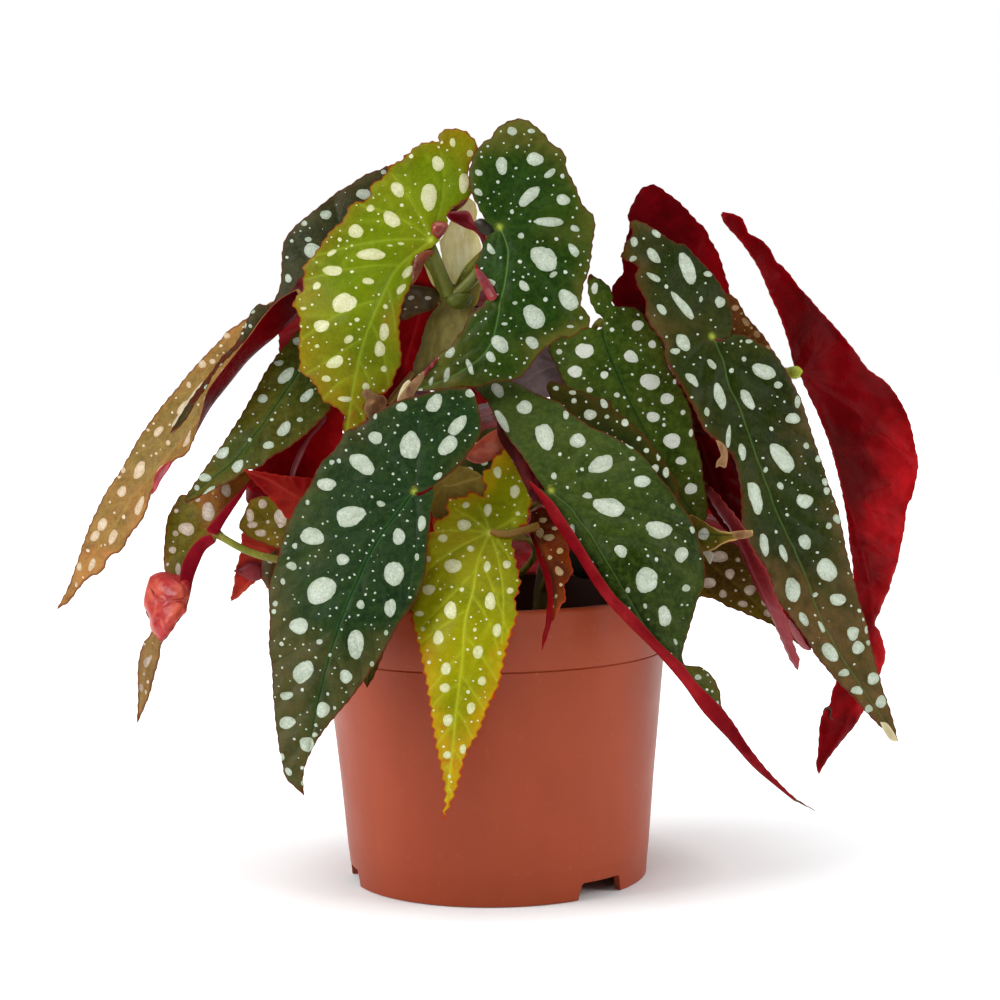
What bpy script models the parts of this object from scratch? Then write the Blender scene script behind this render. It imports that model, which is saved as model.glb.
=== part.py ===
"""Potted polka dot begonia in a plain plastic nursery pot.

Units in this file are millimetres until the meshes are written in metres; +Z
is up, the foot of the pot stands on Z = 0 and the front of the plant looks
along -Y.  Every leaf blade, every cane with its leaf stalks, the papery
stipules, the soil and the pot are separate closed solids.
"""
import math
import random

import bpy
import bmesh
import numpy as np
from mathutils import Vector, Matrix
from mathutils.geometry import delaunay_2d_cdt

# ---------------------------------------------------------------- leaf layout
# Every leaf is drawn as an outline on a front layout board (1000 x 1000 units,
# a to the right, b down) that is sighted from one fixed point in front of the
# plant.  "lay" gives how far back (+) or forward (-) of the pot axis the blade
# lies at a few board positions, in millimetres, and the blade is the smooth
# sheet through them.  "J" is the junction where the stalk joins the blade and
# where the veins start, "rib" is the midrib from J to the tip.
# side = +1: the spotted upper face looks to the front, -1: the red underside.
LEAVES = {
    "leaf_front_left": dict(side=1, J=(414, 491), rib=[(411, 495), (393, 518), (375, 544), (360, 574), (347, 605), (337, 631), (326, 669), (312, 730), (304, 796)],
        out=[(414, 492), (419, 493), (428, 489), (435, 484), (442, 480), (450, 474), (462, 463), (469, 453), (476, 443), (481, 433), (481, 421), (478, 406), (475, 396), (470, 389), (458, 388), (443, 389), (429, 393), (414, 397), (399, 401), (385, 408), (376, 413), (366, 422), (355, 428), (346, 431), (341, 441), (333, 452), (324, 460), (319, 467), (314, 476), (310, 486), (302, 498), (295, 508), (291, 518), (288, 522), (282, 543), (277, 563), (269, 589), (270, 617), (269, 642), (272, 670), (274, 701), (277, 732), (281, 757), (286, 778), (296, 788), (304, 796), (303, 778), (305, 765), (316, 742), (334, 718), (352, 697), (367, 676), (385, 649), (400, 622), (413, 605), (420, 590), (426, 569), (427, 550), (428, 540), (430, 525), (431, 509), (433, 499), (434, 490), (420, 497)],
        lay=[(414, 491, -48), (458, 389, -34), (399, 401, -35), (478, 425, -38), (343, 435, -32), (300, 510, -40), (272, 620, -56), (345, 605, -70), (428, 540, -58), (405, 615, -69), (360, 690, -76), (275, 730, -70), (304, 796, -84)]),
    "leaf_front_right": dict(side=1, J=(551, 490), rib=[(554, 494), (569, 506), (580, 521), (591, 535), (598, 547), (625, 592), (655, 640), (690, 680), (740, 738), (816, 811)],
        out=[(547, 491), (542, 485), (535, 475), (526, 462), (520, 453), (510, 441), (501, 427), (494, 416), (488, 403), (479, 393), (473, 388), (484, 382), (508, 381), (522, 386), (532, 392), (547, 398), (560, 403), (569, 412), (580, 420), (592, 428), (603, 432), (613, 437), (622, 442), (634, 449), (643, 457), (651, 467), (662, 481), (672, 492), (678, 502), (689, 517), (698, 538), (704, 566), (703, 586), (697, 601), (692, 619), (685, 642), (682, 655), (685, 665), (700, 667), (713, 678), (720, 693), (721, 705), (734, 724), (749, 747), (767, 770), (795, 798), (816, 811), (795, 801), (780, 789), (754, 767), (729, 739), (703, 711), (683, 683), (657, 653), (626, 622), (601, 594), (575, 553), (570, 547), (560, 531), (551, 518), (544, 504), (536, 493), (529, 482), (540, 489)],
        lay=[(551, 490, -50), (473, 388, -14), (508, 381, -17), (526, 462, -42), (603, 432, -36), (651, 467, -40), (698, 538, -48), (703, 586, -54), (682, 655, -62), (645, 560, -68), (575, 553, -62), (626, 622, -70), (683, 683, -70), (754, 767, -64), (816, 811, -56)]),
    "leaf_upper_left": dict(side=1, J=(431, 240), rib=[(417, 251), (402, 263), (392, 276), (383, 295), (373, 317), (361, 351), (354, 381), (350, 405), (345, 433)],
        out=[(436, 244), (425, 251), (417, 255), (413, 261), (414, 273), (411, 285), (405, 297), (401, 310), (399, 331), (400, 344), (401, 359), (400, 366), (396, 372), (392, 385), (386, 392), (374, 398), (363, 407), (368, 414), (363, 423), (351, 430), (344, 433), (342, 426), (345, 420), (343, 414), (332, 405), (323, 401), (320, 394), (316, 386), (307, 376), (300, 372), (300, 359), (299, 348), (300, 335), (300, 316), (296, 309), (293, 305), (298, 295), (304, 289), (302, 282), (305, 274), (303, 268), (312, 258), (320, 247), (325, 239), (334, 228), (342, 222), (347, 213), (350, 206), (356, 202), (365, 201), (371, 194), (370, 186), (373, 184), (383, 178), (387, 172), (389, 166), (403, 160), (403, 157), (410, 153), (415, 148), (422, 144), (431, 142), (439, 142), (439, 135), (446, 130), (453, 129), (461, 130), (468, 133), (475, 141), (478, 147), (472, 159), (468, 173), (470, 182), (472, 194), (459, 204), (448, 213), (447, 228), (440, 238)],
        lay=[(431, 240, -6), (461, 130, 4), (474, 190, -1), (403, 157, 6), (350, 206, 1), (299, 300, -5), (300, 365, -8), (353, 320, -20), (411, 285, -8), (399, 345, -13), (345, 433, -16)]),
    "leaf_top_centre": dict(side=1, J=(499.5, 227), rib=[(504.5, 238), (508, 251), (507, 268), (504, 286), (500, 301), (498, 315), (487, 350), (455, 375), (411, 391)],
        out=[(492, 226), (488, 223), (482, 214), (477, 204), (472, 194), (470, 183), (469, 174), (471, 166), (474, 155), (479, 148), (484, 142), (493, 137), (494, 132), (502, 125), (510, 121), (519, 119), (528, 121), (537, 128), (545, 135), (551, 144), (557, 147), (563, 152), (566, 158), (566, 169), (570, 176), (576, 188), (580, 199), (585, 208), (592, 214), (595, 223), (594, 235), (592, 245), (591, 257), (589, 268), (588, 274), (584, 283), (582, 295), (581, 306), (587, 313), (590, 321), (588, 328), (582, 330), (571, 338), (561, 337), (554, 342), (543, 350), (536, 358), (529, 368), (519, 378), (508, 381), (494, 382), (479, 387), (464, 387), (448, 389), (429, 391), (413, 391), (416, 380), (426, 368), (437, 358), (441, 352), (450, 349), (456, 339), (463, 330), (469, 317), (480, 308), (487, 300), (482, 285), (476, 272), (475, 264), (480, 254), (484, 242), (488, 235), (494, 232)],
        lay=[(499.5, 227, -14), (519, 119, 2), (469, 176, -7), (566, 160, -4), (595, 225, -12), (588, 274, -18), (590, 321, -24), (543, 350, -27), (508, 381, -28), (500, 290, -25), (478, 268, -12), (464, 387, -25), (441, 352, -20), (411, 391, -18)]),
    "leaf_front_yellow": dict(side=1, J=(489.5, 533), rib=[(484, 545), (478, 560), (473, 590), (465, 620), (462, 660), (456, 710), (451, 760), (442, 822)],
        out=[(495, 538), (508, 535), (513, 549), (517, 567), (520, 585), (515, 600), (517, 613), (510, 638), (505, 656), (501, 676), (497, 689), (488, 707), (479, 731), (466, 754), (458, 785), (450, 805), (442, 822), (445, 795), (440, 767), (435, 741), (428, 693), (424, 670), (415, 632), (412, 620), (413, 605), (418, 580), (426, 549), (429, 534), (435, 528), (431, 521), (438, 519), (447, 516), (447, 500), (463, 497), (469, 494), (472, 490), (476, 494), (482, 496), (486, 487), (482, 478), (485, 471), (493, 466), (492, 459), (503, 452), (508, 446), (517, 450), (525, 462), (528, 471), (526, 478), (532, 487), (532, 499), (529, 513), (528, 522), (517, 529), (504, 533)],
        lay=[(489.5, 533, -41), (508, 446, -29), (530, 490, -36), (447, 500, -33), (429, 536, -42), (513, 575, -54), (418, 580, -52), (465, 600, -66), (514, 612, -67), (412, 622, -60), (470, 680, -74), (430, 690, -73), (499, 680, -74), (460, 760, -76), (442, 822, -72)]),
    "leaf_right_large": dict(side=1, J=(712, 337), rib=[(715, 342), (722, 359), (729, 383), (739, 408), (750, 438), (760, 466), (780, 520), (805, 573), (820, 617), (850, 670), (898, 741)],
        out=[(712, 340), (719, 339), (726, 337), (731, 333), (733, 320), (731, 308), (727, 296), (720, 286), (712, 274), (703, 264), (693, 254), (684, 245), (676, 244), (668, 239), (660, 233), (649, 226), (638, 221), (631, 221), (629, 225), (632, 230), (631, 237), (625, 243), (623, 252), (620, 257), (622, 259), (630, 263), (638, 267), (635, 276), (638, 287), (643, 295), (646, 303), (645, 314), (650, 325), (657, 334), (665, 344), (665, 358), (671, 369), (678, 380), (682, 388), (687, 398), (694, 409), (698, 419), (704, 430), (713, 437), (723, 446), (731, 453), (734, 459), (740, 484), (741, 510), (742, 528), (751, 547), (757, 558), (764, 566), (769, 580), (776, 598), (787, 613), (803, 635), (818, 658), (836, 679), (856, 701), (876, 723), (898, 741), (891, 714), (882, 688), (875, 663), (866, 624), (856, 589), (848, 558), (842, 528), (838, 510), (828, 482), (818, 451), (810, 428), (801, 400), (795, 388), (788, 375), (781, 364), (773, 353), (763, 346), (751, 339), (740, 335), (731, 335), (722, 341)],
        lay=[(712, 337, -6), (634, 222, 4), (684, 245, 10), (733, 310, 6), (622, 258, -2), (640, 290, -8), (660, 340, -14), (694, 409, -24), (735, 460, -30), (741, 520, -32), (787, 613, -38), (836, 679, -38), (750, 420, -14), (790, 540, -20), (763, 346, -1), (801, 400, -3), (838, 510, -8), (866, 624, -18), (885, 700, -28), (898, 741, -32)]),
    "leaf_mid_right": dict(side=1, J=(602, 324), rib=[(603, 337), (610, 357), (619, 378), (628, 398), (640, 422), (660, 462), (682, 498), (704, 526)],
        out=[(604, 320), (596, 312), (590, 300), (588, 286), (589, 274), (595, 277), (601, 280), (609, 287), (613, 296), (612, 306), (622, 307), (632, 307), (640, 311), (644, 316), (651, 327), (662, 340), (665, 349), (666, 360), (669, 369), (676, 380), (682, 390), (687, 400), (690, 407), (692, 419), (694, 432), (698, 448), (702, 462), (703, 475), (706, 492), (708, 510), (704, 526), (690, 517), (665, 497), (640, 475), (612, 447), (590, 425), (572, 402), (568, 390), (563, 381), (560, 374), (555, 363), (549, 352), (552, 338), (570, 328), (590, 328), (600, 330)],
        lay=[(602, 324, 4), (590, 280, 10), (640, 311, 6), (549, 352, 10), (568, 390, 4), (669, 369, 0), (694, 432, -8), (706, 492, -16), (620, 380, -2), (600, 430, -2), (650, 480, -10), (704, 526, -20)]),
    "leaf_mid_right_lower": dict(side=1, J=(598, 470), rib=[(600, 474), (615, 492), (632, 512), (650, 548)],
        out=[(547, 384), (554, 382), (563, 385), (569, 388), (583, 392), (596, 398), (608, 400), (613, 409), (625, 418), (635, 428), (643, 434), (650, 442), (657, 453), (665, 463), (672, 475), (677, 484), (679, 500), (672, 525), (650, 548), (625, 535), (605, 510), (595, 480), (588, 458), (572, 430), (555, 408)],
        lay=[(547, 384, -12), (608, 400, -15), (650, 442, -24), (677, 484, -30), (590, 450, -22), (650, 548, -38)]),
    "leaf_far_right": dict(side=-1, J=(801, 375), rib=[(806, 392), (825, 440), (848, 510), (862, 560), (870, 620), (868, 670), (845, 720), (819, 773)],
        out=[(721, 214), (726, 224), (737, 236), (744, 245), (750, 254), (759, 268), (766, 283), (772, 298), (778, 312), (784, 328), (789, 344), (794, 364), (800, 377), (804, 388), (817, 412), (830, 445), (840, 482), (846, 515), (851, 550), (853, 580), (846, 620), (840, 655), (837, 679), (832, 693), (830, 704), (826, 708), (822, 716), (819, 729), (818, 752), (816, 765), (819, 774), (822, 768), (828, 758), (843, 739), (855, 724), (864, 709), (879, 676), (885, 655), (883, 643), (879, 631), (874, 624), (879, 612), (889, 586), (898, 558), (905, 528), (908, 506), (913, 497), (917, 475), (917, 454), (911, 425), (901, 402), (886, 382), (868, 369), (855, 351), (843, 335), (830, 321), (819, 310), (811, 300), (800, 288), (791, 275), (782, 265), (776, 261), (773, 254), (768, 246), (759, 238), (749, 233), (745, 223), (741, 217), (734, 214), (723, 212)],
        lay=[(801, 375, 14), (722, 213, 34), (770, 260, 30), (830, 321, 26), (800, 340, 18), (886, 382, 28), (917, 460, 30), (860, 450, 18), (840, 482, 10), (853, 570, 6), (908, 506, 26), (895, 565, 18), (874, 624, 8), (840, 660, -4), (864, 709, 4), (819, 774, -8)]),
    "leaf_right_back": dict(side=-1, J=(690, 318), rib=[(694, 324), (699, 336), (704, 352)],
        out=[(649, 185), (641, 189), (636, 197), (632, 205), (629, 211), (628, 218), (630, 225), (626, 240), (622, 262), (624, 270), (621, 276), (616, 281), (612, 289), (613, 304), (626, 309), (645, 315), (665, 330), (686, 344), (704, 352), (720, 336), (728, 318), (729, 287), (726, 277), (722, 264), (718, 252), (710, 239), (706, 229), (696, 220), (687, 210), (678, 201), (666, 192), (656, 185)],
        lay=[(650, 187, 30), (690, 318, 20), (629, 220, 24), (612, 295, 20), (726, 280, 24), (704, 352, 16), (665, 330, 17)]),
    "leaf_right_shoulder": dict(side=1, J=(735, 352), rib=[(740, 350), (752, 350), (775, 356)],
        out=[(722, 296), (729, 294), (737, 300), (745, 314), (756, 327), (764, 336), (770, 346), (776, 355), (768, 366), (750, 372), (735, 366), (726, 345), (722, 320)],
        lay=[(729, 294, 14), (775, 354, 8), (735, 352, 10), (750, 372, 6), (755, 330, 12)]),
    "leaf_upper_left_far": dict(side=1, J=(330, 292), rib=[(318, 286), (300, 296), (270, 325), (235, 362), (205, 395), (170, 433)],
        out=[(392, 172), (389, 166), (380, 170), (370, 173), (359, 179), (349, 186), (336, 193), (330, 198), (320, 206), (314, 211), (304, 219), (296, 226), (286, 238), (283, 248), (282, 264), (281, 282), (277, 295), (270, 305), (258, 305), (249, 317), (246, 324), (235, 345), (222, 357), (210, 374), (196, 392), (178, 419), (170, 433), (182, 424), (194, 404), (206, 388), (215, 372), (232, 354), (255, 331), (270, 313), (283, 302), (292, 291), (304, 276), (320, 292), (345, 290), (372, 250), (395, 205)],
        lay=[(389, 166, 16), (304, 219, 16), (282, 264, 15), (304, 276, 5), (345, 285, 4), (380, 230, 8), (258, 306, 10), (246, 340, 4), (210, 374, 2), (170, 433, -4)]),
    "leaf_left_tan": dict(side=1, J=(300, 306), rib=[(294, 316), (262, 345), (225, 385), (190, 430), (150, 475), (110, 530), (57, 609)],
        out=[(246, 319), (235, 327), (228, 331), (219, 342), (199, 363), (179, 386), (158, 411), (140, 437), (122, 468), (102, 500), (89, 528), (79, 558), (69, 586), (57, 609), (70, 601), (77, 591), (89, 578), (103, 571), (109, 557), (122, 550), (129, 537), (138, 525), (143, 518), (148, 506), (151, 494), (158, 482), (165, 470), (173, 461), (186, 454), (191, 445), (196, 433), (204, 418), (212, 405), (230, 382), (247, 361), (262, 347), (273, 338), (290, 322), (304, 306), (300, 290), (275, 300)],
        lay=[(246, 319, 24), (304, 300, 16), (290, 322, 8), (179, 386, 18), (230, 382, 4), (196, 433, -2), (102, 500, 8), (140, 437, 14), (150, 496, -4), (109, 557, -2), (57, 609, 0)],
        fold=[dict(F=[(304, 306), (290, 322), (273, 338), (262, 347), (247, 361), (230, 382), (212, 405), (204, 418), (196, 433)], E=[(296, 290), (280, 299), (262, 318), (250, 335), (236, 353), (221, 372), (207, 392), (202, 410), (196, 432)], rise=9.0, roll=1.5)]),
    "leaf_left_mid": dict(side=1, J=(318, 352), rib=[(306, 362), (285, 392), (262, 425), (232, 462), (187, 498)],
        out=[(300, 330), (288, 342), (281, 350), (268, 368), (255, 391), (242, 414), (224, 442), (204, 470), (187, 495), (184, 503), (189, 502), (214, 489), (235, 479), (245, 471), (260, 467), (270, 458), (289, 447), (304, 436), (319, 422), (329, 411), (333, 402), (340, 380), (335, 350), (318, 335)],
        lay=[(300, 332, 6), (335, 350, 2), (255, 391, 2), (204, 470, -8), (184, 502, -16), (245, 471, -17), (304, 436, -15), (336, 385, -4), (270, 425, -10)]),
    "leaf_left_small": dict(side=1, J=(217, 534), tie=(221, 536.5, -16.5), rib=[(206, 528), (196, 540), (186, 556), (178, 577), (160, 610), (148, 650), (137, 723)],
        out=[(250, 481), (248, 472), (235, 473), (223, 480), (214, 486), (205, 491), (189, 496), (182, 494), (175, 504), (168, 518), (165, 538), (164, 566), (166, 574), (156, 579), (150, 584), (147, 592), (145, 601), (147, 614), (152, 625), (151, 634), (145, 641), (141, 650), (138, 668), (138, 693), (137, 723), (145, 706), (151, 690), (156, 670), (160, 655), (161, 645), (168, 636), (173, 630), (180, 619), (186, 612), (187, 605), (190, 593), (193, 578), (199, 562), (205, 550), (215, 542), (218, 534), (223, 524), (232, 510), (242, 495)],
        lay=[(250, 481, -10), (182, 495, -2), (165, 538, -2), (218, 534, -16), (190, 540, -7), (166, 574, -6), (192, 590, -14), (147, 605, -8), (170, 610, -16), (138, 690, -16), (137, 723, -18), (158, 660, -18)]),
    "leaf_left_red": dict(side=-1, J=(322, 405), rib=[(316, 432), (304, 448), (295, 466), (290, 490)],
        out=[(344, 414), (343, 426), (342, 435), (338, 448), (331, 470), (322, 492), (305, 512), (290, 516), (278, 510), (262, 492), (250, 490), (246, 482), (250, 474), (262, 456), (285, 436), (305, 416), (322, 398), (338, 400)],
        lay=[(322, 400, 2), (344, 414, -3), (250, 476, -2), (322, 492, -14), (285, 436, 0), (290, 512, -10)]),
    "leaf_left_curled": dict(side=1, J=(300, 530), rib=[(290, 526), (272, 522), (245, 522)],
        out=[(250, 500), (247, 508), (242, 518), (239, 525), (242, 531), (252, 539), (263, 543), (278, 548), (300, 546), (308, 520), (300, 505), (286, 500), (270, 496)],
        lay=[(250, 502, -14), (240, 525, -14), (278, 546, -19), (305, 520, -24), (285, 500, -18)]),
    "leaf_left_flap": dict(side=-1, J=(303, 500), rib=[(290, 492), (270, 480), (243, 470)],
        out=[(243, 469), (262, 472), (285, 476), (312, 479), (318, 485), (310, 500), (300, 512), (289, 519), (280, 509), (268, 496), (256, 484)],
        lay=[(243, 469, -22), (312, 480, -28), (300, 512, -28), (289, 519, -25), (268, 490, -24)]),
    "leaf_low_left": dict(side=-1, J=(290, 560), rib=[(280, 562), (262, 570), (236, 598)],
        out=[(243, 532), (241, 551), (236, 570), (234, 585), (231, 601), (238, 598), (246, 590), (254, 583), (260, 577), (266, 586), (270, 590), (280, 582), (296, 570), (300, 556), (290, 545), (276, 541), (262, 537), (252, 533)],
        lay=[(243, 536, -6), (231, 601, -8), (268, 590, -10), (298, 560, -12), (276, 547, -9)]),
    "leaf_inner_red": dict(side=-1, J=(424, 300), rib=[(420, 312), (412, 340), (402, 372), (392, 400)],
        out=[(410, 262), (420, 262), (430, 268), (436, 285), (437, 305), (434, 325), (428, 350), (420, 372), (408, 392), (394, 408), (380, 402), (372, 380), (376, 340), (384, 310), (394, 282)],
        lay=[(424, 266, 4), (384, 310, 2), (436, 300, 6), (394, 408, -6), (410, 340, 3)]),
    "leaf_centre_small": dict(side=1, J=(533, 528), rib=[(540, 536), (546, 556), (553, 584), (554, 604), (547, 628), (543, 648)],
        out=[(530, 534), (534, 545), (538, 559), (543, 572), (546, 585), (548, 596), (547, 612), (546, 625), (543, 636), (542, 650), (547, 638), (551, 624), (556, 616), (560, 607), (566, 599), (564, 586), (570, 577), (573, 570), (570, 560), (568, 545), (565, 532), (556, 516), (543, 508), (533, 512), (530, 524)],
        lay=[(533, 528, -34), (543, 508, -30), (568, 540, -40), (572, 572, -50), (545, 585, -56), (556, 612, -67), (542, 650, -70)]),
    "leaf_right_folded": dict(side=-1, J=(704, 485), tie=(702.5, 484.5, -8.0), rib=[(716, 503), (735, 531), (752, 566), (770, 604), (784, 640), (798, 669)],
        out=[(704, 483), (706, 492), (711, 500), (720, 515), (730, 528), (738, 543), (742, 556), (748, 570), (757, 590), (766, 606), (776, 627), (786, 651), (792, 663), (798, 670), (799, 661), (795, 649), (791, 633), (787, 620), (783, 610), (776, 598), (771, 583), (766, 570), (758, 559), (750, 545), (743, 527), (735, 515), (722, 500), (712, 489)],
        lay=[(704, 484, -7), (742, 540, -36), (776, 610, -46), (798, 669, -46), (720, 510, -26)]),
    "leaf_right_dark": dict(side=-1, J=(702, 440), tie=(686, 436, 5.0), rib=[(706, 452), (716, 480), (728, 512)],
        out=[(692, 428), (702, 432), (715, 441), (728, 452), (735, 465), (740, 484), (742, 505), (742, 526), (734, 536), (720, 524), (708, 508), (698, 490), (694, 466), (690, 446)],
        lay=[(692, 430, 2), (728, 452, -8), (742, 505, -13), (734, 534, -17), (698, 490, 0)]),
    "leaf_right_curl": dict(side=1, J=(686, 534), rib=[(702, 534), (724, 535), (752, 532)],
        out=[(688, 515), (698, 518), (706, 523), (716, 529), (726, 532), (740, 531), (752, 530), (752, 534), (745, 537), (735, 540), (724, 543), (714, 549), (706, 553), (698, 556), (688, 552), (684, 534)],
        lay=[(686, 534, -26), (716, 530, -36), (716, 547, -38), (738, 534, -46), (752, 532, -50)]),
    "leaf_right_brown": dict(side=1, J=(700, 556), rib=[(712, 566), (730, 580), (750, 598), (778, 626)],
        out=[(688, 556), (700, 548), (715, 548), (728, 542), (740, 548), (748, 562), (756, 580), (764, 594), (778, 606), (792, 622), (804, 635), (811, 650), (797, 643), (785, 634), (777, 628), (772, 625), (764, 621), (750, 616), (740, 611), (728, 607), (716, 600), (703, 597), (694, 597), (686, 580)],
        lay=[(690, 570, -18), (740, 548, -20), (777, 628, -30), (808, 648, -30), (716, 600, -24)]),
    "leaf_centre_dark": dict(side=1, J=(478, 450), rib=[(480, 456), (482, 468), (478, 482)],
        out=[(452, 470), (462, 452), (472, 440), (486, 430), (500, 428), (506, 440), (502, 456), (494, 470), (484, 480), (470, 486), (456, 482)],
        lay=[(478, 450, -18), (500, 430, -12), (456, 480, -22), (490, 478, -24)]),
    "leaf_centre_olive": dict(side=-1, J=(445, 486), rib=[(452, 486), (466, 482), (480, 478)],
        out=[(436, 482), (448, 472), (458, 466), (468, 468), (480, 474), (488, 482), (488, 492), (480, 500), (468, 508), (456, 516), (444, 522), (434, 518), (430, 502)],
        lay=[(436, 490, -26), (480, 480, -29), (458, 500, -29)]),
    "leaf_purple": dict(side=-1, J=(556, 366), rib=[(545, 370), (530, 378), (516, 388)],
        out=[(508, 388), (514, 374), (524, 362), (536, 350), (548, 340), (562, 338), (572, 350), (574, 368), (570, 384), (560, 392), (544, 398), (526, 398), (514, 396)],
        lay=[(508, 388, 6), (548, 342, 18), (572, 366, 14), (540, 396, 6)]),
    "leaf_behind_front_left": dict(side=1, J=(372, 560), rib=[(374, 580), (374, 620), (368, 688)],
        out=[(358, 560), (346, 572), (338, 592), (337, 612), (344, 636), (352, 656), (361, 674), (367, 688), (374, 676), (383, 655), (392, 630), (398, 606), (396, 584), (386, 568), (374, 562)],
        lay=[(358, 562, -44), (338, 600, -50), (398, 604, -54), (367, 688, -60), (370, 620, -58)]),
    "stipule_cream": dict(side=1, J=(458, 283), rib=[(459, 276), (462, 250), (468, 198)],
        out=[(452, 284), (449, 282), (446, 273), (443, 262), (441, 250), (440, 241), (446, 232), (450, 222), (455, 212), (462, 204), (468, 197), (475, 203), (477, 214), (475, 226), (478, 237), (481, 246), (480, 252), (476, 261), (473, 270), (469, 277), (460, 284)],
        lay=[(458, 284, 6), (468, 198, 12), (441, 250, 9), (480, 250, 9), (461, 250, 5)]),
    "stipule_tan": dict(side=1, J=(456, 300), rib=[(452, 306), (440, 330), (416, 376)],
        out=[(448, 300), (437, 306), (428, 320), (424, 332), (421, 345), (417, 356), (413, 368), (414, 378), (427, 368), (438, 359), (444, 353), (451, 348), (457, 338), (463, 330), (469, 322), (474, 312), (470, 303), (460, 300)],
        lay=[(456, 301, 0), (416, 376, -3), (424, 332, 1), (472, 312, -4), (445, 330, -4)]),
    "stipule_sliver": dict(side=1, J=(441, 292), rib=[(438, 286), (433, 272), (430, 258)],
        out=[(443, 293), (436, 288), (430, 276), (424, 265), (431, 256), (434, 266), (437, 277), (441, 286)],
        lay=[(442, 291, 8), (424, 265, 6), (431, 256, 7)]),
}

# ------------------------------------------------------------------ geometry
EYE_D, EYE_H, EYE_F = 781.8, 186.2, 2300.0      # sighting point in front of the pot axis, mm
PITCH, ROLL, YAW = 0.074, -0.018, 0.0033


def sight(a, b, y):
    """Place board positions (a, b) in space, y millimetres behind the pot axis."""
    a, b, y = np.broadcast_arrays(np.asarray(a, float), np.asarray(b, float), np.asarray(y, float))
    cr, sr, cp, sp = math.cos(ROLL), math.sin(ROLL), math.cos(PITCH), math.sin(PITCH)
    cy, sy = math.cos(YAW), math.sin(YAW)
    u0, v0 = a - 500.0, b - 500.0
    u = u0 * cr + v0 * sr
    v = -u0 * sr + v0 * cr
    fy = EYE_F * cp - v * sp
    dz = -EYE_F * sp - v * cp
    dx = u * cy + fy * sy
    dy = -u * sy + fy * cy
    t = (y + EYE_D) / dy
    return np.stack([dx * t, y, EYE_H + dz * t], axis=-1)


def sheet(lay, soft=0.03):
    """Smooth depth field through the (a, b, depth) points of one leaf."""
    p = np.array([(a, b) for a, b, _ in lay], float) / 100.0
    v = np.array([d for _, _, d in lay], float)
    n = len(p)
    r2 = ((p[:, None] - p[None]) ** 2).sum(-1)
    m = np.zeros((n + 3, n + 3))
    m[:n, :n] = 0.5 * r2 * np.log(r2 + 1e-9) + soft * np.eye(n)
    m[:n, n] = 1.0
    m[:n, n + 1:] = p
    m[n, :n] = 1.0
    m[n + 1:, :n] = p.T
    w = np.linalg.lstsq(m, np.concatenate([v, np.zeros(3)]), rcond=None)[0]

    def depth(a, b):
        q = np.stack([np.asarray(a, float), np.asarray(b, float)], -1) / 100.0
        s = ((q[..., None, :] - p) ** 2).sum(-1)
        return (0.5 * s * np.log(s + 1e-9)) @ w[:n] + w[n] + q @ w[n + 1:]
    return depth


def curve_through(points, ends_sharp=True, per=8):
    """Centripetal Catmull-Rom curve through 2-D or 3-D points."""
    p = np.array(points, float)
    if len(p) == 2:
        k = np.linspace(0, 1, per + 1)[:, None]
        return p[0] * (1 - k) + p[1] * k
    ext = np.vstack([2 * p[0] - p[1], p, 2 * p[-1] - p[-2]])
    out = []
    for i in range(1, len(ext) - 2):
        p0, p1, p2, p3 = ext[i - 1:i + 3]
        d1 = max(np.linalg.norm(p1 - p0), 1e-6) ** 0.5
        d2 = max(np.linalg.norm(p2 - p1), 1e-6) ** 0.5
        d3 = max(np.linalg.norm(p3 - p2), 1e-6) ** 0.5
        m1 = d2 * ((p1 - p0) / d1 - (p2 - p0) / (d1 + d2) + (p2 - p1) / d2)
        m2 = d2 * ((p2 - p1) / d2 - (p3 - p1) / (d2 + d3) + (p3 - p2) / d3)
        for k in range(per):
            t = k / per
            h = t * t * (3 - 2 * t)
            out.append((1 - h) * p1 + h * p2 + (t - 2 * t * t + t ** 3) * m1 + (t ** 3 - t * t) * m2)
    out.append(p[-1])
    return np.array(out)


def even(points, step=None, count=None):
    """Points at even distances along a polyline."""
    p = np.array(points, float)
    d = np.concatenate([[0], np.cumsum(np.linalg.norm(np.diff(p, axis=0), axis=1))])
    n = count if count else max(1, int(round(d[-1] / step)))
    s = np.linspace(0, d[-1], n + 1)
    return np.stack([np.interp(s, d, p[:, k]) for k in range(p.shape[1])], -1)


def ring(out, step, pins, smooth):
    """Closed outline with even steps; the pin points stay exactly in place."""
    pts = [tuple(map(float, q)) for q in out]
    if pts[0] == pts[-1]:
        pts = pts[:-1]
    arr = np.array(pts)
    idx = sorted({int(np.argmin(((arr - np.array(q, float)) ** 2).sum(1))) for q in pins})
    if not idx:
        idx = [0]
    n = len(pts)
    ringpts, where = [], {}
    for k, i in enumerate(idx):
        j = idx[(k + 1) % len(idx)]
        if j <= i:
            j += n
        chain = [pts[m % n] for m in range(i, j + 1)]
        if smooth and len(chain) > 2:
            chain = curve_through(chain, per=6)
        seg = even(chain, step=step)
        where[pts[i]] = len(ringpts)
        ringpts.extend(seg[:-1].tolist())
    return np.array(ringpts), where, arr


def inside(poly, q):
    """Which of the points q lie in the closed polygon."""
    x, y = q[:, 0][:, None], q[:, 1][:, None]
    x1, y1 = poly[:, 0][None], poly[:, 1][None]
    x2, y2 = np.roll(poly[:, 0], -1)[None], np.roll(poly[:, 1], -1)[None]
    cross = ((y1 > y) != (y2 > y)) & (x < (x2 - x1) * (y - y1) / (y2 - y1 + 1e-12) + x1)
    return cross.sum(1) % 2 == 1


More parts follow.
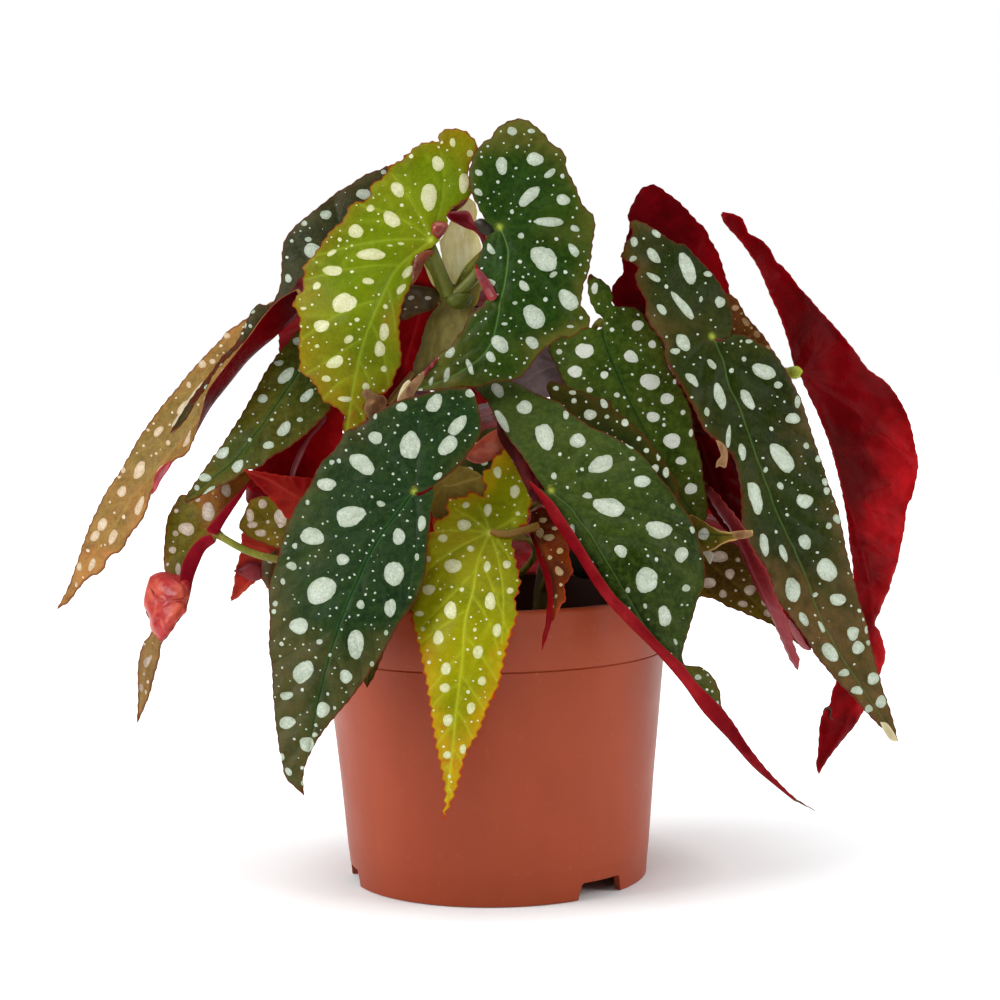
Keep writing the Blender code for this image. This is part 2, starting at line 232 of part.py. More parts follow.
def edge_distance(line, q, closed=True):
    """Distance of each point q to a polyline."""
    a = line if closed else line[:-1]
    b = np.roll(line, -1, axis=0) if closed else line[1:]
    out = np.full(len(q), 1e9)
    for k in range(0, len(q), 4000):
        c = q[k:k + 4000, None]
        ab = (b - a)[None]
        t = np.clip(((c - a[None]) * ab).sum(-1) / ((ab ** 2).sum(-1) + 1e-12), 0, 1)
        out[k:k + 4000] = np.sqrt((((a[None] + ab * t[..., None]) - c) ** 2).sum(-1)).min(1)
    return out


def lattice(poly, step, clear):
    """Triangular lattice points inside the outline."""
    lo, hi = poly.min(0), poly.max(0)
    rows = []
    for r in range(int((hi[1] - lo[1]) / (step * 0.866)) + 2):
        y = lo[1] + r * step * 0.866
        x = np.arange(lo[0] + (r % 2) * step / 2, hi[0], step)
        rows.append(np.stack([x, np.full_like(x, y)], -1))
    q = np.vstack(rows)
    q = q[inside(poly, q)]
    if len(q):
        q = q[edge_distance(poly, q) > clear]
    return q


def thicken(verts, faces, thick):
    """Give a middle surface its thickness: upper sheet, lower sheet and rim."""
    v = np.array(verts, float)
    nrm = np.zeros_like(v)
    for f in faces:
        p = v[list(f)]
        c = np.cross(p[1] - p[0], p[2] - p[0])
        if len(f) == 4:
            c = c + np.cross(p[2] - p[0], p[3] - p[0])
        for i in f:
            nrm[i] += c
    nrm /= np.linalg.norm(nrm, axis=1)[:, None] + 1e-12
    t = np.asarray(thick, float)
    t = t[:, None] if t.ndim else t
    n = len(v)
    allv = np.vstack([v + nrm * t / 2, v - nrm * t / 2])
    edges = {}
    for f in faces:
        for i in range(len(f)):
            edges[(f[i], f[(i + 1) % len(f)])] = True
    rim = [(b, a, a + n, b + n) for (a, b) in edges if (b, a) not in edges]
    low = [tuple(i + n for i in reversed(f)) for f in faces]
    return allv, [tuple(f) for f in faces], low, rim, nrm


def fold_strip(verts2, verts3, faces, chain, fold, depth, rows):
    """Carry the blade round its fold line and back towards its free margin."""
    directed = {(f[i], f[(i + 1) % len(f)]) for f in faces for i in range(len(f))}
    c2 = verts2[chain]
    e2 = even(curve_through(fold["E"], per=6), count=len(chain) - 1)
    if np.linalg.norm(e2[0] - c2[0]) + np.linalg.norm(e2[-1] - c2[-1]) > np.linalg.norm(e2[-1] - c2[0]) + np.linalg.norm(e2[0] - c2[-1]):
        e2 = e2[::-1]
    base = depth(c2[:, 0], c2[:, 1])
    width = np.linalg.norm(e2 - c2, axis=1)
    full = np.clip(width / 8.0, 0, 1)
    prev = list(chain)
    v2, v3 = [*map(tuple, verts2)], [*map(tuple, verts3)]
    new, marks = [], []
    for r in range(1, rows + 1):
        u = r / rows
        h = fold.get("roll", 2.0) * math.sqrt(max(0.0, 1 - (1 - u) ** 2)) + fold.get("rise", 0.0) * u
        p2 = c2 * (1 - u) + e2 * u
        p3 = sight(p2[:, 0], p2[:, 1], base - h * full)
        cur = []
        for i in range(len(chain)):
            if width[i] < 0.8:
                cur.append(chain[i])
            else:
                v2.append(tuple(p2[i]))
                v3.append(tuple(p3[i]))
                cur.append(len(v3) - 1)
        for i in range(len(chain) - 1):
            a, b, c, d = prev[i], prev[i + 1], cur[i + 1], cur[i]
            f = (b, a, d, c) if (chain[i], chain[i + 1]) in directed else (a, b, c, d)
            g = []
            for k in f:
                if k not in g:
                    g.append(k)
            if len(g) > 2:
                new.append(tuple(g))
        prev = cur
    return np.array(v2), np.array(v3), new


def tube_rings(points, radii, sides):
    """Closed tube along a 3-D polyline: vertices and faces."""
    p = np.array(points, float)
    r = np.broadcast_to(np.asarray(radii, float), (len(p),))
    tan = np.gradient(p, axis=0)
    tan /= np.linalg.norm(tan, axis=1)[:, None]
    up = np.array([0.0, 0.0, 1.0]) if abs(tan[0][2]) < 0.9 else np.array([1.0, 0.0, 0.0])
    n = np.cross(tan[0], up)
    n /= np.linalg.norm(n)
    verts, faces = [], []
    for i in range(len(p)):
        n = n - tan[i] * (n @ tan[i])
        n /= np.linalg.norm(n)
        m = np.cross(tan[i], n)
        for k in range(sides):
            an = 2 * math.pi * k / sides
            verts.append(p[i] + r[i] * (math.cos(an) * n + math.sin(an) * m))
    for i in range(len(p) - 1):
        for k in range(sides):
            a, b = i * sides + k, i * sides + (k + 1) % sides
            faces.append((a, b, b + sides, a + sides))
    faces.append(tuple(range(sides))[::-1])
    faces.append(tuple((len(p) - 1) * sides + k for k in range(sides)))
    return np.array(verts), faces


def drape(st, spec):
    """Lay a flat leaf (s along the midrib, t across, mm) as an arching blade."""
    s, t = st[:, 0], st[:, 1]
    L, p0, bend = spec["length"], spec["pitch"], spec["bend"]
    k = bend / L
    sp = np.maximum(s, 0)
    ph = p0 - k * sp
    x = (math.sin(p0) - np.sin(ph)) / k + np.minimum(s, 0) * math.cos(p0)
    z = (np.cos(ph) - math.cos(p0)) / k + np.minimum(s, 0) * math.sin(p0)
    h = np.array([math.cos(spec["heading"]), math.sin(spec["heading"]), 0.0])
    side = np.array([-h[1], h[0], 0.0])
    upv = np.array([0.0, 0.0, 1.0])
    nor = -np.sin(ph)[:, None] * h + np.cos(ph)[:, None] * upv
    c, q = math.cos(spec.get("roll", 0.0)), math.sin(spec.get("roll", 0.0))
    sid = side[None] * c + nor * q
    nn = nor * c - side[None] * q
    cup = spec.get("cup", 0.25) * np.abs(t) + spec.get("wave", 0.0) * np.sin(s / 11.0 + np.sign(t)) * (np.abs(t) / 30.0) ** 2
    return np.array(spec["base"]) + h * x[:, None] + upv * z[:, None] + sid * (t * 0.97)[:, None] + nn * cup[:, None]


WING = [(-6, 3), (-14, 8), (-22, 16), (-26, 26), (-23, 36), (-14, 43), (0, 46), (15, 44), (30, 40), (46, 35),
        (62, 29), (78, 22), (94, 15), (108, 8), (120, 3), (132, 0), (120, -3), (106, -8), (90, -13), (74, -18), (58, -23),
        (42, -27), (26, -30), (12, -31), (0, -29), (-9, -24), (-13, -17), (-11, -9), (-5, -3), (0, 0)]
# Leaves round the back of the pot: an angel-wing blade laid out along its own
# midrib, arching out from its junction and hanging down.
BACK = {
    "leaf_back_left_high": dict(base=(-26, 46, 194), heading=2.15, pitch=0.1, bend=1.35, length=130, size=0.9, flip=1, roll=0.15, cup=0.22, wave=1.5),
    "leaf_back_centre_high": dict(base=(-3, 42, 204), heading=1.6, pitch=0.1, bend=1.45, length=130, size=0.92, flip=-1, roll=-0.1, cup=0.25, wave=1.5),
    "leaf_back_right_high": dict(base=(56, 44, 178), heading=0.95, pitch=0.0, bend=1.3, length=130, size=0.85, flip=1, roll=-0.1, cup=0.22, wave=1.5),
    "leaf_back_left_mid": dict(base=(-46, 36, 144), heading=2.02, pitch=-0.3, bend=1.2, length=130, size=0.8, flip=-1, roll=0.1, cup=0.25, wave=1.2),
    "leaf_back_centre_mid": dict(base=(-12, 54, 158), heading=1.8, pitch=-0.1, bend=1.35, length=130, size=0.92, flip=1, roll=0.1, cup=0.22, wave=1.5),
    "leaf_back_right_mid": dict(base=(40, 52, 146), heading=1.1, pitch=-0.15, bend=1.25, length=130, size=0.88, flip=-1, roll=0.0, cup=0.25, wave=1.5),
    "leaf_back_left_low": dict(base=(-38, 42, 118), heading=2.25, pitch=-0.4, bend=1.0, length=130, size=0.68, flip=1, roll=0.1, cup=0.25, wave=1.0),
    "leaf_back_centre_low": dict(base=(6, 60, 118), heading=1.6, pitch=-0.35, bend=1.15, length=130, size=0.74, flip=-1, roll=0.0, cup=0.25, wave=1.0),
    "leaf_back_right_low": dict(base=(56, 32, 120), heading=0.45, pitch=-0.35, bend=1.0, length=130, size=0.66, flip=1, roll=0.0, cup=0.25, wave=1.0),
}


def leaf_surface(name, step, grid, smooth, rows):
    """Middle surface of one leaf: 2-D layout points, 3-D points, faces."""
    if name in LEAVES:
        d = LEAVES[name]
        depth = sheet(d["lay"])
        folds = d.get("fold", [])
        pins = [d["rib"][-1], d["J"]] + [f["F"][0] for f in folds] + [f["F"][-1] for f in folds] + d.get("pins", [])
        poly, where, arr = ring(d["out"], step, pins, smooth)
        inner = lattice(poly, grid, grid * 0.45)
    else:
        d = BACK[name]
        sz = d["size"]
        folds = []
        poly, where, arr = ring([(s * sz, t * sz * d["flip"]) for s, t in WING], step / 2.94, [(132 * sz, 0), (0, 0)], smooth)
        inner = lattice(poly, grid / 2.94, grid / 2.94 * 0.45)
    pts = np.vstack([poly, inner]) if len(inner) else poly
    n = len(poly)
    flipy = -1.0 if name in LEAVES else 1.0
    vin = [Vector((p[0], p[1] * flipy)) for p in pts]
    res = delaunay_2d_cdt(vin, [(i, (i + 1) % n) for i in range(n)], [], 1, 1e-4)
    v2 = np.array([(p.x, p.y * flipy) for p in res[0]])
    back = {}
    for i, src in enumerate(res[3]):
        for k in src:
            back[k] = i
    faces = [tuple(f) for f in res[2]]
    cen = np.array([v2[list(f)].mean(0) for f in faces])
    keep = inside(poly, cen)
    faces = [f for f, k in zip(faces, keep) if k]
    if name in LEAVES:
        v3 = sight(v2[:, 0], v2[:, 1], depth(v2[:, 0], v2[:, 1]))
        for fo in folds:
            i0 = where[tuple(map(float, arr[int(np.argmin(((arr - np.array(fo["F"][0])) ** 2).sum(1)))]))]
            i1 = where[tuple(map(float, arr[int(np.argmin(((arr - np.array(fo["F"][-1])) ** 2).sum(1)))]))]
            up = [(i0 + k) % n for k in range((i1 - i0) % n + 1)]
            dn = [(i1 + k) % n for k in range((i0 - i1) % n + 1)]
            mid = np.array(fo["F"][len(fo["F"]) // 2], float)
            chain = up if edge_distance(poly[up], mid[None], False)[0] < edge_distance(poly[dn], mid[None], False)[0] else dn
            v2, v3, new = fold_strip(v2, v3, faces, [back[k] for k in chain], fo, depth, rows)
            faces = faces + new
        if d["side"] < 0:
            faces = [tuple(reversed(f)) for f in faces]
    else:
        v3 = drape(v2, d)
        # the flat layout seen from above has its upper face up
        p = v3[list(faces[0])]
        if np.cross(p[1] - p[0], p[2] - p[0])[2] < 0:
            faces = [tuple(reversed(f)) for f in faces]
    used = sorted({i for f in faces for i in f})
    remap = {o: i for i, o in enumerate(used)}
    faces = [tuple(remap[i] for i in f) for f in faces]
    return v2[used], v3[used], faces, poly

# -------------------------------------------------------------------- canes
# Each cane rises from the soil and carries the stalks of its leaves.
CANES = {
    "cane_centre": dict(path=[(-3, 4, 70), (-5, 7, 110), (-9, 7, 150), (-13, 5, 184), (-13, 4, 199)], r=(3.4, 2.4)),
    "cane_right": dict(path=[(13, 12, 70), (20, 16, 110), (30, 17, 145), (36, 17, 168)], r=(3.2, 2.3)),
    "cane_left": dict(path=[(-16, 12, 70), (-25, 16, 105), (-32, 16, 140), (-35, 15, 160)], r=(3.2, 2.3)),
}
# leaf: (cane, place along the cane 0..1, via points in mm)
STALKS = {
    "leaf_front_left": ("cane_left", 0.34, [(-27, -12, 124), (-27, -34, 132)]),
    "leaf_front_right": ("cane_centre", 0.30, [(8, -14, 124), (16, -36, 131)]),
    "leaf_upper_left": ("cane_centre", 0.93, [(-18, 2, 206), (-21, -1, 212)]),
    "leaf_top_centre": ("cane_centre", 0.95, [(-7, 1, 206), (1, -5, 214)]),
    "leaf_front_yellow": ("cane_centre", 0.20, [(9, -8, 104), (14, -24, 113), (11, -34, 118), (5, -38, 119)]),
    "leaf_right_large": ("cane_right", 0.97, [(50, 12, 173), (64, 7, 179)]),
    "leaf_mid_right": ("cane_right", 0.93, [(36, 14, 180), (36, 10, 186)]),
    "leaf_mid_right_lower": ("cane_right", 0.45, [(30, 0, 134), (33, -14, 138)]),
    "leaf_far_right": ("cane_right", 0.85, [(50, 22, 160), (76, 22, 166), (96, 18, 170)]),
    "leaf_right_back": ("cane_right", 0.99, [(44, 24, 178), (58, 27, 186)]),
    "leaf_right_shoulder": ("cane_right", 0.92, [(54, 14, 166), (72, 11, 172)]),
    "leaf_upper_left_far": ("cane_left", 0.99, [(-40, 14, 176), (-48, 9, 190)]),
    "leaf_left_tan": ("cane_left", 0.92, [(-44, 20, 168), (-58, 20, 184)]),
    "leaf_left_mid": ("cane_left", 0.82, [(-42, 14, 158), (-52, 8, 172)]),
    "leaf_left_small": ("cane_left", 0.22, [(-40, -10, 104), (-62, -21, 109.5), (-80, -20, 113.5)]),
    "leaf_left_red": ("cane_left", 0.72, [(-42, 14, 150), (-54, 9, 158)]),
    "leaf_left_curled": ("cane_left", 0.40, [(-40, 4, 114), (-56, -10, 120)]),
    "leaf_left_flap": ("cane_left", 0.52, [(-44, 2, 124), (-56, -14, 130)]),
    "leaf_low_left": ("cane_left", 0.30, [(-38, 8, 106), (-56, -2, 110)]),
    "leaf_inner_red": ("cane_centre", 0.88, [(-17, 8, 194)]),
    "leaf_centre_small": ("cane_right", 0.25, [(19, -8, 108), (18, -24, 118)]),
    "leaf_right_folded": ("cane_right", 0.62, [(46, 6, 133), (63, -5, 132)]),
    "leaf_right_dark": ("cane_right", 0.80, [(48, 12, 152), (59, 6, 150)]),
    "leaf_right_curl": ("cane_right", 0.36, [(36, 2, 115), (52, -14, 117)]),
    "leaf_right_brown": ("cane_right", 0.28, [(36, 6, 107), (54, -5, 111)]),
    "leaf_centre_dark": ("cane_centre", 0.52, [(-5, -6, 143)]),
    "leaf_centre_olive": ("cane_centre", 0.42, [(-14, -8, 130)]),
    "leaf_purple": ("cane_right", 0.97, [(30, 19, 171)]),
    "leaf_behind_front_left": ("cane_left", 0.24, [(-28, -8, 104), (-36, -28, 110)]),
    "leaf_back_left_high": ("cane_left", 0.95, [(-33, 26, 172), (-28, 38, 188)]),
    "leaf_back_centre_high": ("cane_centre", 0.90, [(-7, 16, 198), (1, 30, 203)]),
    "leaf_back_right_high": ("cane_right", 0.95, [(44, 26, 170), (52, 36, 176)]),
    "leaf_back_left_mid": ("cane_left", 0.70, [(-38, 26, 144)]),
    "leaf_back_centre_mid": ("cane_centre", 0.50, [(-9, 24, 146), (-11, 42, 156)]),
    "leaf_back_right_mid": ("cane_right", 0.60, [(32, 30, 140), (36, 44, 145)]),
    "leaf_back_left_low": ("cane_left", 0.30, [(-30, 30, 112)]),
    "leaf_back_centre_low": ("cane_centre", 0.25, [(0, 26, 112), (5, 46, 118)]),
    "leaf_back_right_low": ("cane_right", 0.32, [(32, 24, 114), (46, 29, 120)]),
}
LEAF_T = 0.9            # modelled blade thickness, mm
STALK_R = 1.5           # stalk radius, mm
MM = 0.001

# ---------------------------------------------------------------- pot and soil
POT_H = 97.3
RIM_R = 60.0
SEAM_Z = 77.7
BODY_R_TOP = 57.9
BODY_R_BOTTOM = 50.6
WALL = 1.6
FLOOR_Z = 6.5
NOTCH_W = 20.0
NOTCH_H = 5.6
NOTCH_ANGLES = (-48.5, -168.5, 71.5)
SOIL_Z = 82.0
ORIGIN = (-0.5, -26.2)


def clean_scene():
    for ob in list(bpy.data.objects):
        bpy.data.objects.remove(ob, do_unlink=True)


def material(name, rgb, rough):
    m = bpy.data.materials.new(name)
    m.use_nodes = True
    b = m.node_tree.nodes.get("Principled BSDF")
    b.inputs["Base Color"].default_value = (*rgb, 1.0)
    b.inputs["Roughness"].default_value = rough
    b.inputs["Metallic"].default_value = 0.0
    return m


def to_object(name, verts_mm, faces, mat, smooth=True):
    me = bpy.data.meshes.new(name)
    off = np.array([ORIGIN[0], ORIGIN[1], 0.0])
    me.from_pydata(((np.array(verts_mm) + off) * MM).tolist(), [], [list(map(int, f)) for f in faces])
    me.validate()
    ob = bpy.data.objects.new(name, me)
    bpy.context.collection.objects.link(ob)
    me.materials.append(mat)
    if smooth:
        me.shade_smooth()
        me.set_sharp_from_angle(angle=math.radians(40))
    return ob


def boolean(ob, cutter, op, hide=True):
    m = ob.modifiers.new(op.lower(), "BOOLEAN")
    m.operation = op
    m.solver = "EXACT"
    m.object = cutter
    if hide:
        cutter.hide_render = True
        cutter.display_type = "WIRE"
    return m


def bake(ob):
    """Turn an object's modifiers into its mesh."""
    dg = bpy.context.evaluated_depsgraph_get()
    me = bpy.data.meshes.new_from_object(ob.evaluated_get(dg))
    ob.modifiers.clear()
    old = ob.data
    ob.data = me
    bpy.data.meshes.remove(old)


def turned(name, profile, segs, mat):
    """Solid of revolution about the pot axis from a closed (r, z) profile."""
    verts, faces = [], []
    n = len(profile)
    rows = []
    for r, z in profile:
        if r < 1e-6:
            rows.append([len(verts)] * segs)
            verts.append((0.0, 0.0, z))
        else:
            rows.append(list(range(len(verts), len(verts) + segs)))
            verts.extend((r * math.cos(2 * math.pi * k / segs), r * math.sin(2 * math.pi * k / segs), z) for k in range(segs))
    for i in range(n):
        a, b = rows[i], rows[(i + 1) % n]
        if profile[i][0] < 1e-6 and profile[(i + 1) % n][0] < 1e-6:
            continue
        for k in range(segs):
            f = []
            for q in (a[k], a[(k + 1) % segs], b[(k + 1) % segs], b[k]):
                if q not in f:
                    f.append(q)
            if len(f) > 2:
                faces.append(tuple(f))
    return to_object(name, verts, faces, mat)


def make_pot(mat):
    """Injection-moulded nursery pot: tapered wall, collar, raised floor."""
    inner = lambda z: BODY_R_BOTTOM - WALL + (z / POT_H) * (RIM_R - 0.3 - BODY_R_BOTTOM) - 0.1
    prof = [(BODY_R_BOTTOM, 0.0), (BODY_R_BOTTOM + 0.95, 10.0), (BODY_R_TOP, SEAM_Z), (BODY_R_TOP + 0.45, SEAM_Z + 0.4),
            (RIM_R - 0.4, POT_H - 0.8), (RIM_R - 0.9, POT_H), (RIM_R - 2.0, POT_H), (RIM_R - 2.4, POT_H - 0.8),
            (BODY_R_TOP - WALL - 0.2, SEAM_Z), (BODY_R_BOTTOM - WALL + 0.7, FLOOR_Z + 2.4), (BODY_R_BOTTOM - WALL - 1.4, FLOOR_Z + 1.6),
            (0.0, FLOOR_Z + 1.6), (0.0, FLOOR_Z), (BODY_R_BOTTOM - WALL - 0.6, FLOOR_Z), (BODY_R_BOTTOM - 2.6, 0.0)]
    pot = turned("pot", prof, 48, mat)
    cutters = []
    for i, an in enumerate(NOTCH_ANGLES):
        a = math.radians(an)
        r = BODY_R_BOTTOM
        pts = []
        for rr in (r - 5.0, r + 5.0):
            for (w, z) in ((NOTCH_W / 2, -1.0), (NOTCH_W / 2 - 1.8, NOTCH_H), (-NOTCH_W / 2 + 1.8, NOTCH_H), (-NOTCH_W / 2, -1.0)):
                pts.append((rr * math.cos(a) - w * math.sin(a), rr * math.sin(a) + w * math.cos(a), z))
        cutters.append((pts, [(0, 1, 2, 3), (7, 6, 5, 4), (0, 4, 5, 1), (1, 5, 6, 2), (2, 6, 7, 3), (3, 7, 4, 0)]))
    for k in range(6):
        a = math.radians(60 * k + 20)
        pts = [(30 * math.cos(a) + 3.5 * math.cos(q), 30 * math.sin(a) + 3.5 * math.sin(q), z) for z in (FLOOR_Z - 1.5, FLOOR_Z + 4) for q in [2 * math.pi * j / 10 for j in range(10)]]
        fs = [tuple(range(10))[::-1], tuple(range(10, 20))] + [(j, (j + 1) % 10, 10 + (j + 1) % 10, 10 + j) for j in range(10)]
        cutters.append((pts, fs))
    cm = material("pot_cutter", (0.5, 0.5, 0.5), 0.5)
    for i, (pts, fs) in enumerate(cutters):
        c = to_object("cut_%d" % i, pts, fs, cm, smooth=False)
        bm = bmesh.new()
        bm.from_mesh(c.data)
        bmesh.ops.recalc_face_normals(bm, faces=bm.faces)
        bm.to_mesh(c.data)
        bm.free()
        boolean(pot, c, "DIFFERENCE")
        bake(pot)
        bpy.data.objects.remove(c, do_unlink=True)
    return pot


def make_soil(mat):
    """Peat block filling the pot to about 15 mm below the rim, with sockets for the canes."""
    prof = [(0.0, SOIL_Z + 1.6), (20.0, SOIL_Z + 1.2), (40.0, SOIL_Z + 0.2), (53.5, SOIL_Z - 0.8), (56.2, SOIL_Z - 1.4), (55.6, SEAM_Z - 2.0),
            (BODY_R_BOTTOM - WALL - 0.2, FLOOR_Z + 5.0), (BODY_R_BOTTOM - WALL - 4.0, FLOOR_Z + 2.2), (0.0, FLOOR_Z + 2.0)]
    soil = turned("soil", prof[::-1], 32, mat)
    for nm, c in CANES.items():
        p = np.array(c["path"][0], float)
        q = np.array(c["path"][1], float)
        d = (q - p) / np.linalg.norm(q - p)
        v, f = tube_rings([p - d * 1.0, p + d * 30.0], c["r"][0] + 0.45, 10)
        cut = to_object("socket", v, f, mat, smooth=False)
        boolean(soil, cut, "DIFFERENCE")
        bake(soil)
        bpy.data.objects.remove(cut, do_unlink=True)
    return soil


def stalk_end(name):
    """Where a stalk stops, just behind the junction of its blade."""
    if name in LEAVES:
        d = LEAVES[name]
        if "tie" in d:
            return sight(*d["tie"])
        depth = sheet(d["lay"])
        j = np.array(d["J"], float)
        m = np.array(d["rib"][min(3, len(d["rib"]) - 1)], float)
        pj = sight(j[0], j[1], depth(j[0], j[1]))
        pm = sight(m[0], m[1], depth(m[0], m[1]))
        away = (pj - pm) / np.linalg.norm(pj - pm)
        under = np.array([0.0, 1.0, 0.0])
        return pj + away * 1.0 + under * 2.2
    d = BACK[name]
    h = np.array([math.cos(d["heading"]), math.sin(d["heading"]), 0.0])
    return np.array(d["base"]) - h * 2.4 + np.array([0, 0, -1.6])


def make_cane(name, mat):
    c = CANES[name]
    path = even(curve_through(c["path"], per=6), count=8)
    k = np.linspace(0, 1, len(path))
    rad = c["r"][0] * (1 - k) + c["r"][1] * k
    v, f = tube_rings(path, rad, 8)
    cane = to_object(name, v, f, mat)
    for leaf, (where, at, via) in STALKS.items():
        if where != name:
            continue
        start = np.array([np.interp(at, k, path[:, i]) for i in range(3)])
        pts = even(curve_through([start] + list(via) + [stalk_end(leaf)], per=6), count=5)
        v, f = tube_rings(pts, STALK_R, 6)
        s = to_object("stalk", v, f, mat)
        boolean(cane, s, "UNION")
        bake(cane)
        bpy.data.objects.remove(s, do_unlink=True)
    cane.name = name
    return cane


def make_leaf(name, mat):
    step, grid = (17.0, 36.0) if name in LEAVES else (22.0, 44.0)
    v2, v3, faces, poly = leaf_surface(name, step, grid, False, 2)
    allv, top, low, rim, nrm = thicken(v3, faces, LEAF_T)
    return to_object(name, allv, top + low + rim, mat)


def build():
    clean_scene()
    green = (0.02, 0.06, 0.025)
    reds = (0.25, 0.01, 0.02)
    tint = {"leaf_upper_left": (0.2, 0.24, 0.015), "leaf_front_yellow": (0.35, 0.3, 0.02), "leaf_left_tan": (0.3, 0.16, 0.05),
            "leaf_right_brown": (0.08, 0.05, 0.02), "leaf_left_curled": (0.08, 0.05, 0.02), "leaf_centre_small": (0.3, 0.08, 0.03)}
    for name in list(LEAVES) + list(BACK):
        side = LEAVES[name]["side"] if name in LEAVES else 1
        if name.startswith("stipule"):
            tint[name] = (0.5, 0.4, 0.2) if name != "stipule_tan" else (0.2, 0.17, 0.06)
        make_leaf(name, material("mat_" + name, tint.get(name, green if side > 0 else reds), 0.45))
    for name in CANES:
        make_cane(name, material("mat_" + name, (0.12, 0.14, 0.04), 0.5))
    make_pot(material("mat_pot", (0.44, 0.11, 0.045), 0.42))
    make_soil(material("mat_soil", (0.012, 0.008, 0.006), 0.95))


build()
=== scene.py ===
"""Potted spotted-leaf begonia: the finished look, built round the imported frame."""
import math
import bmesh
import bpy
import numpy as np
from mathutils import Matrix, Vector
from mathutils.geometry import delaunay_2d_cdt


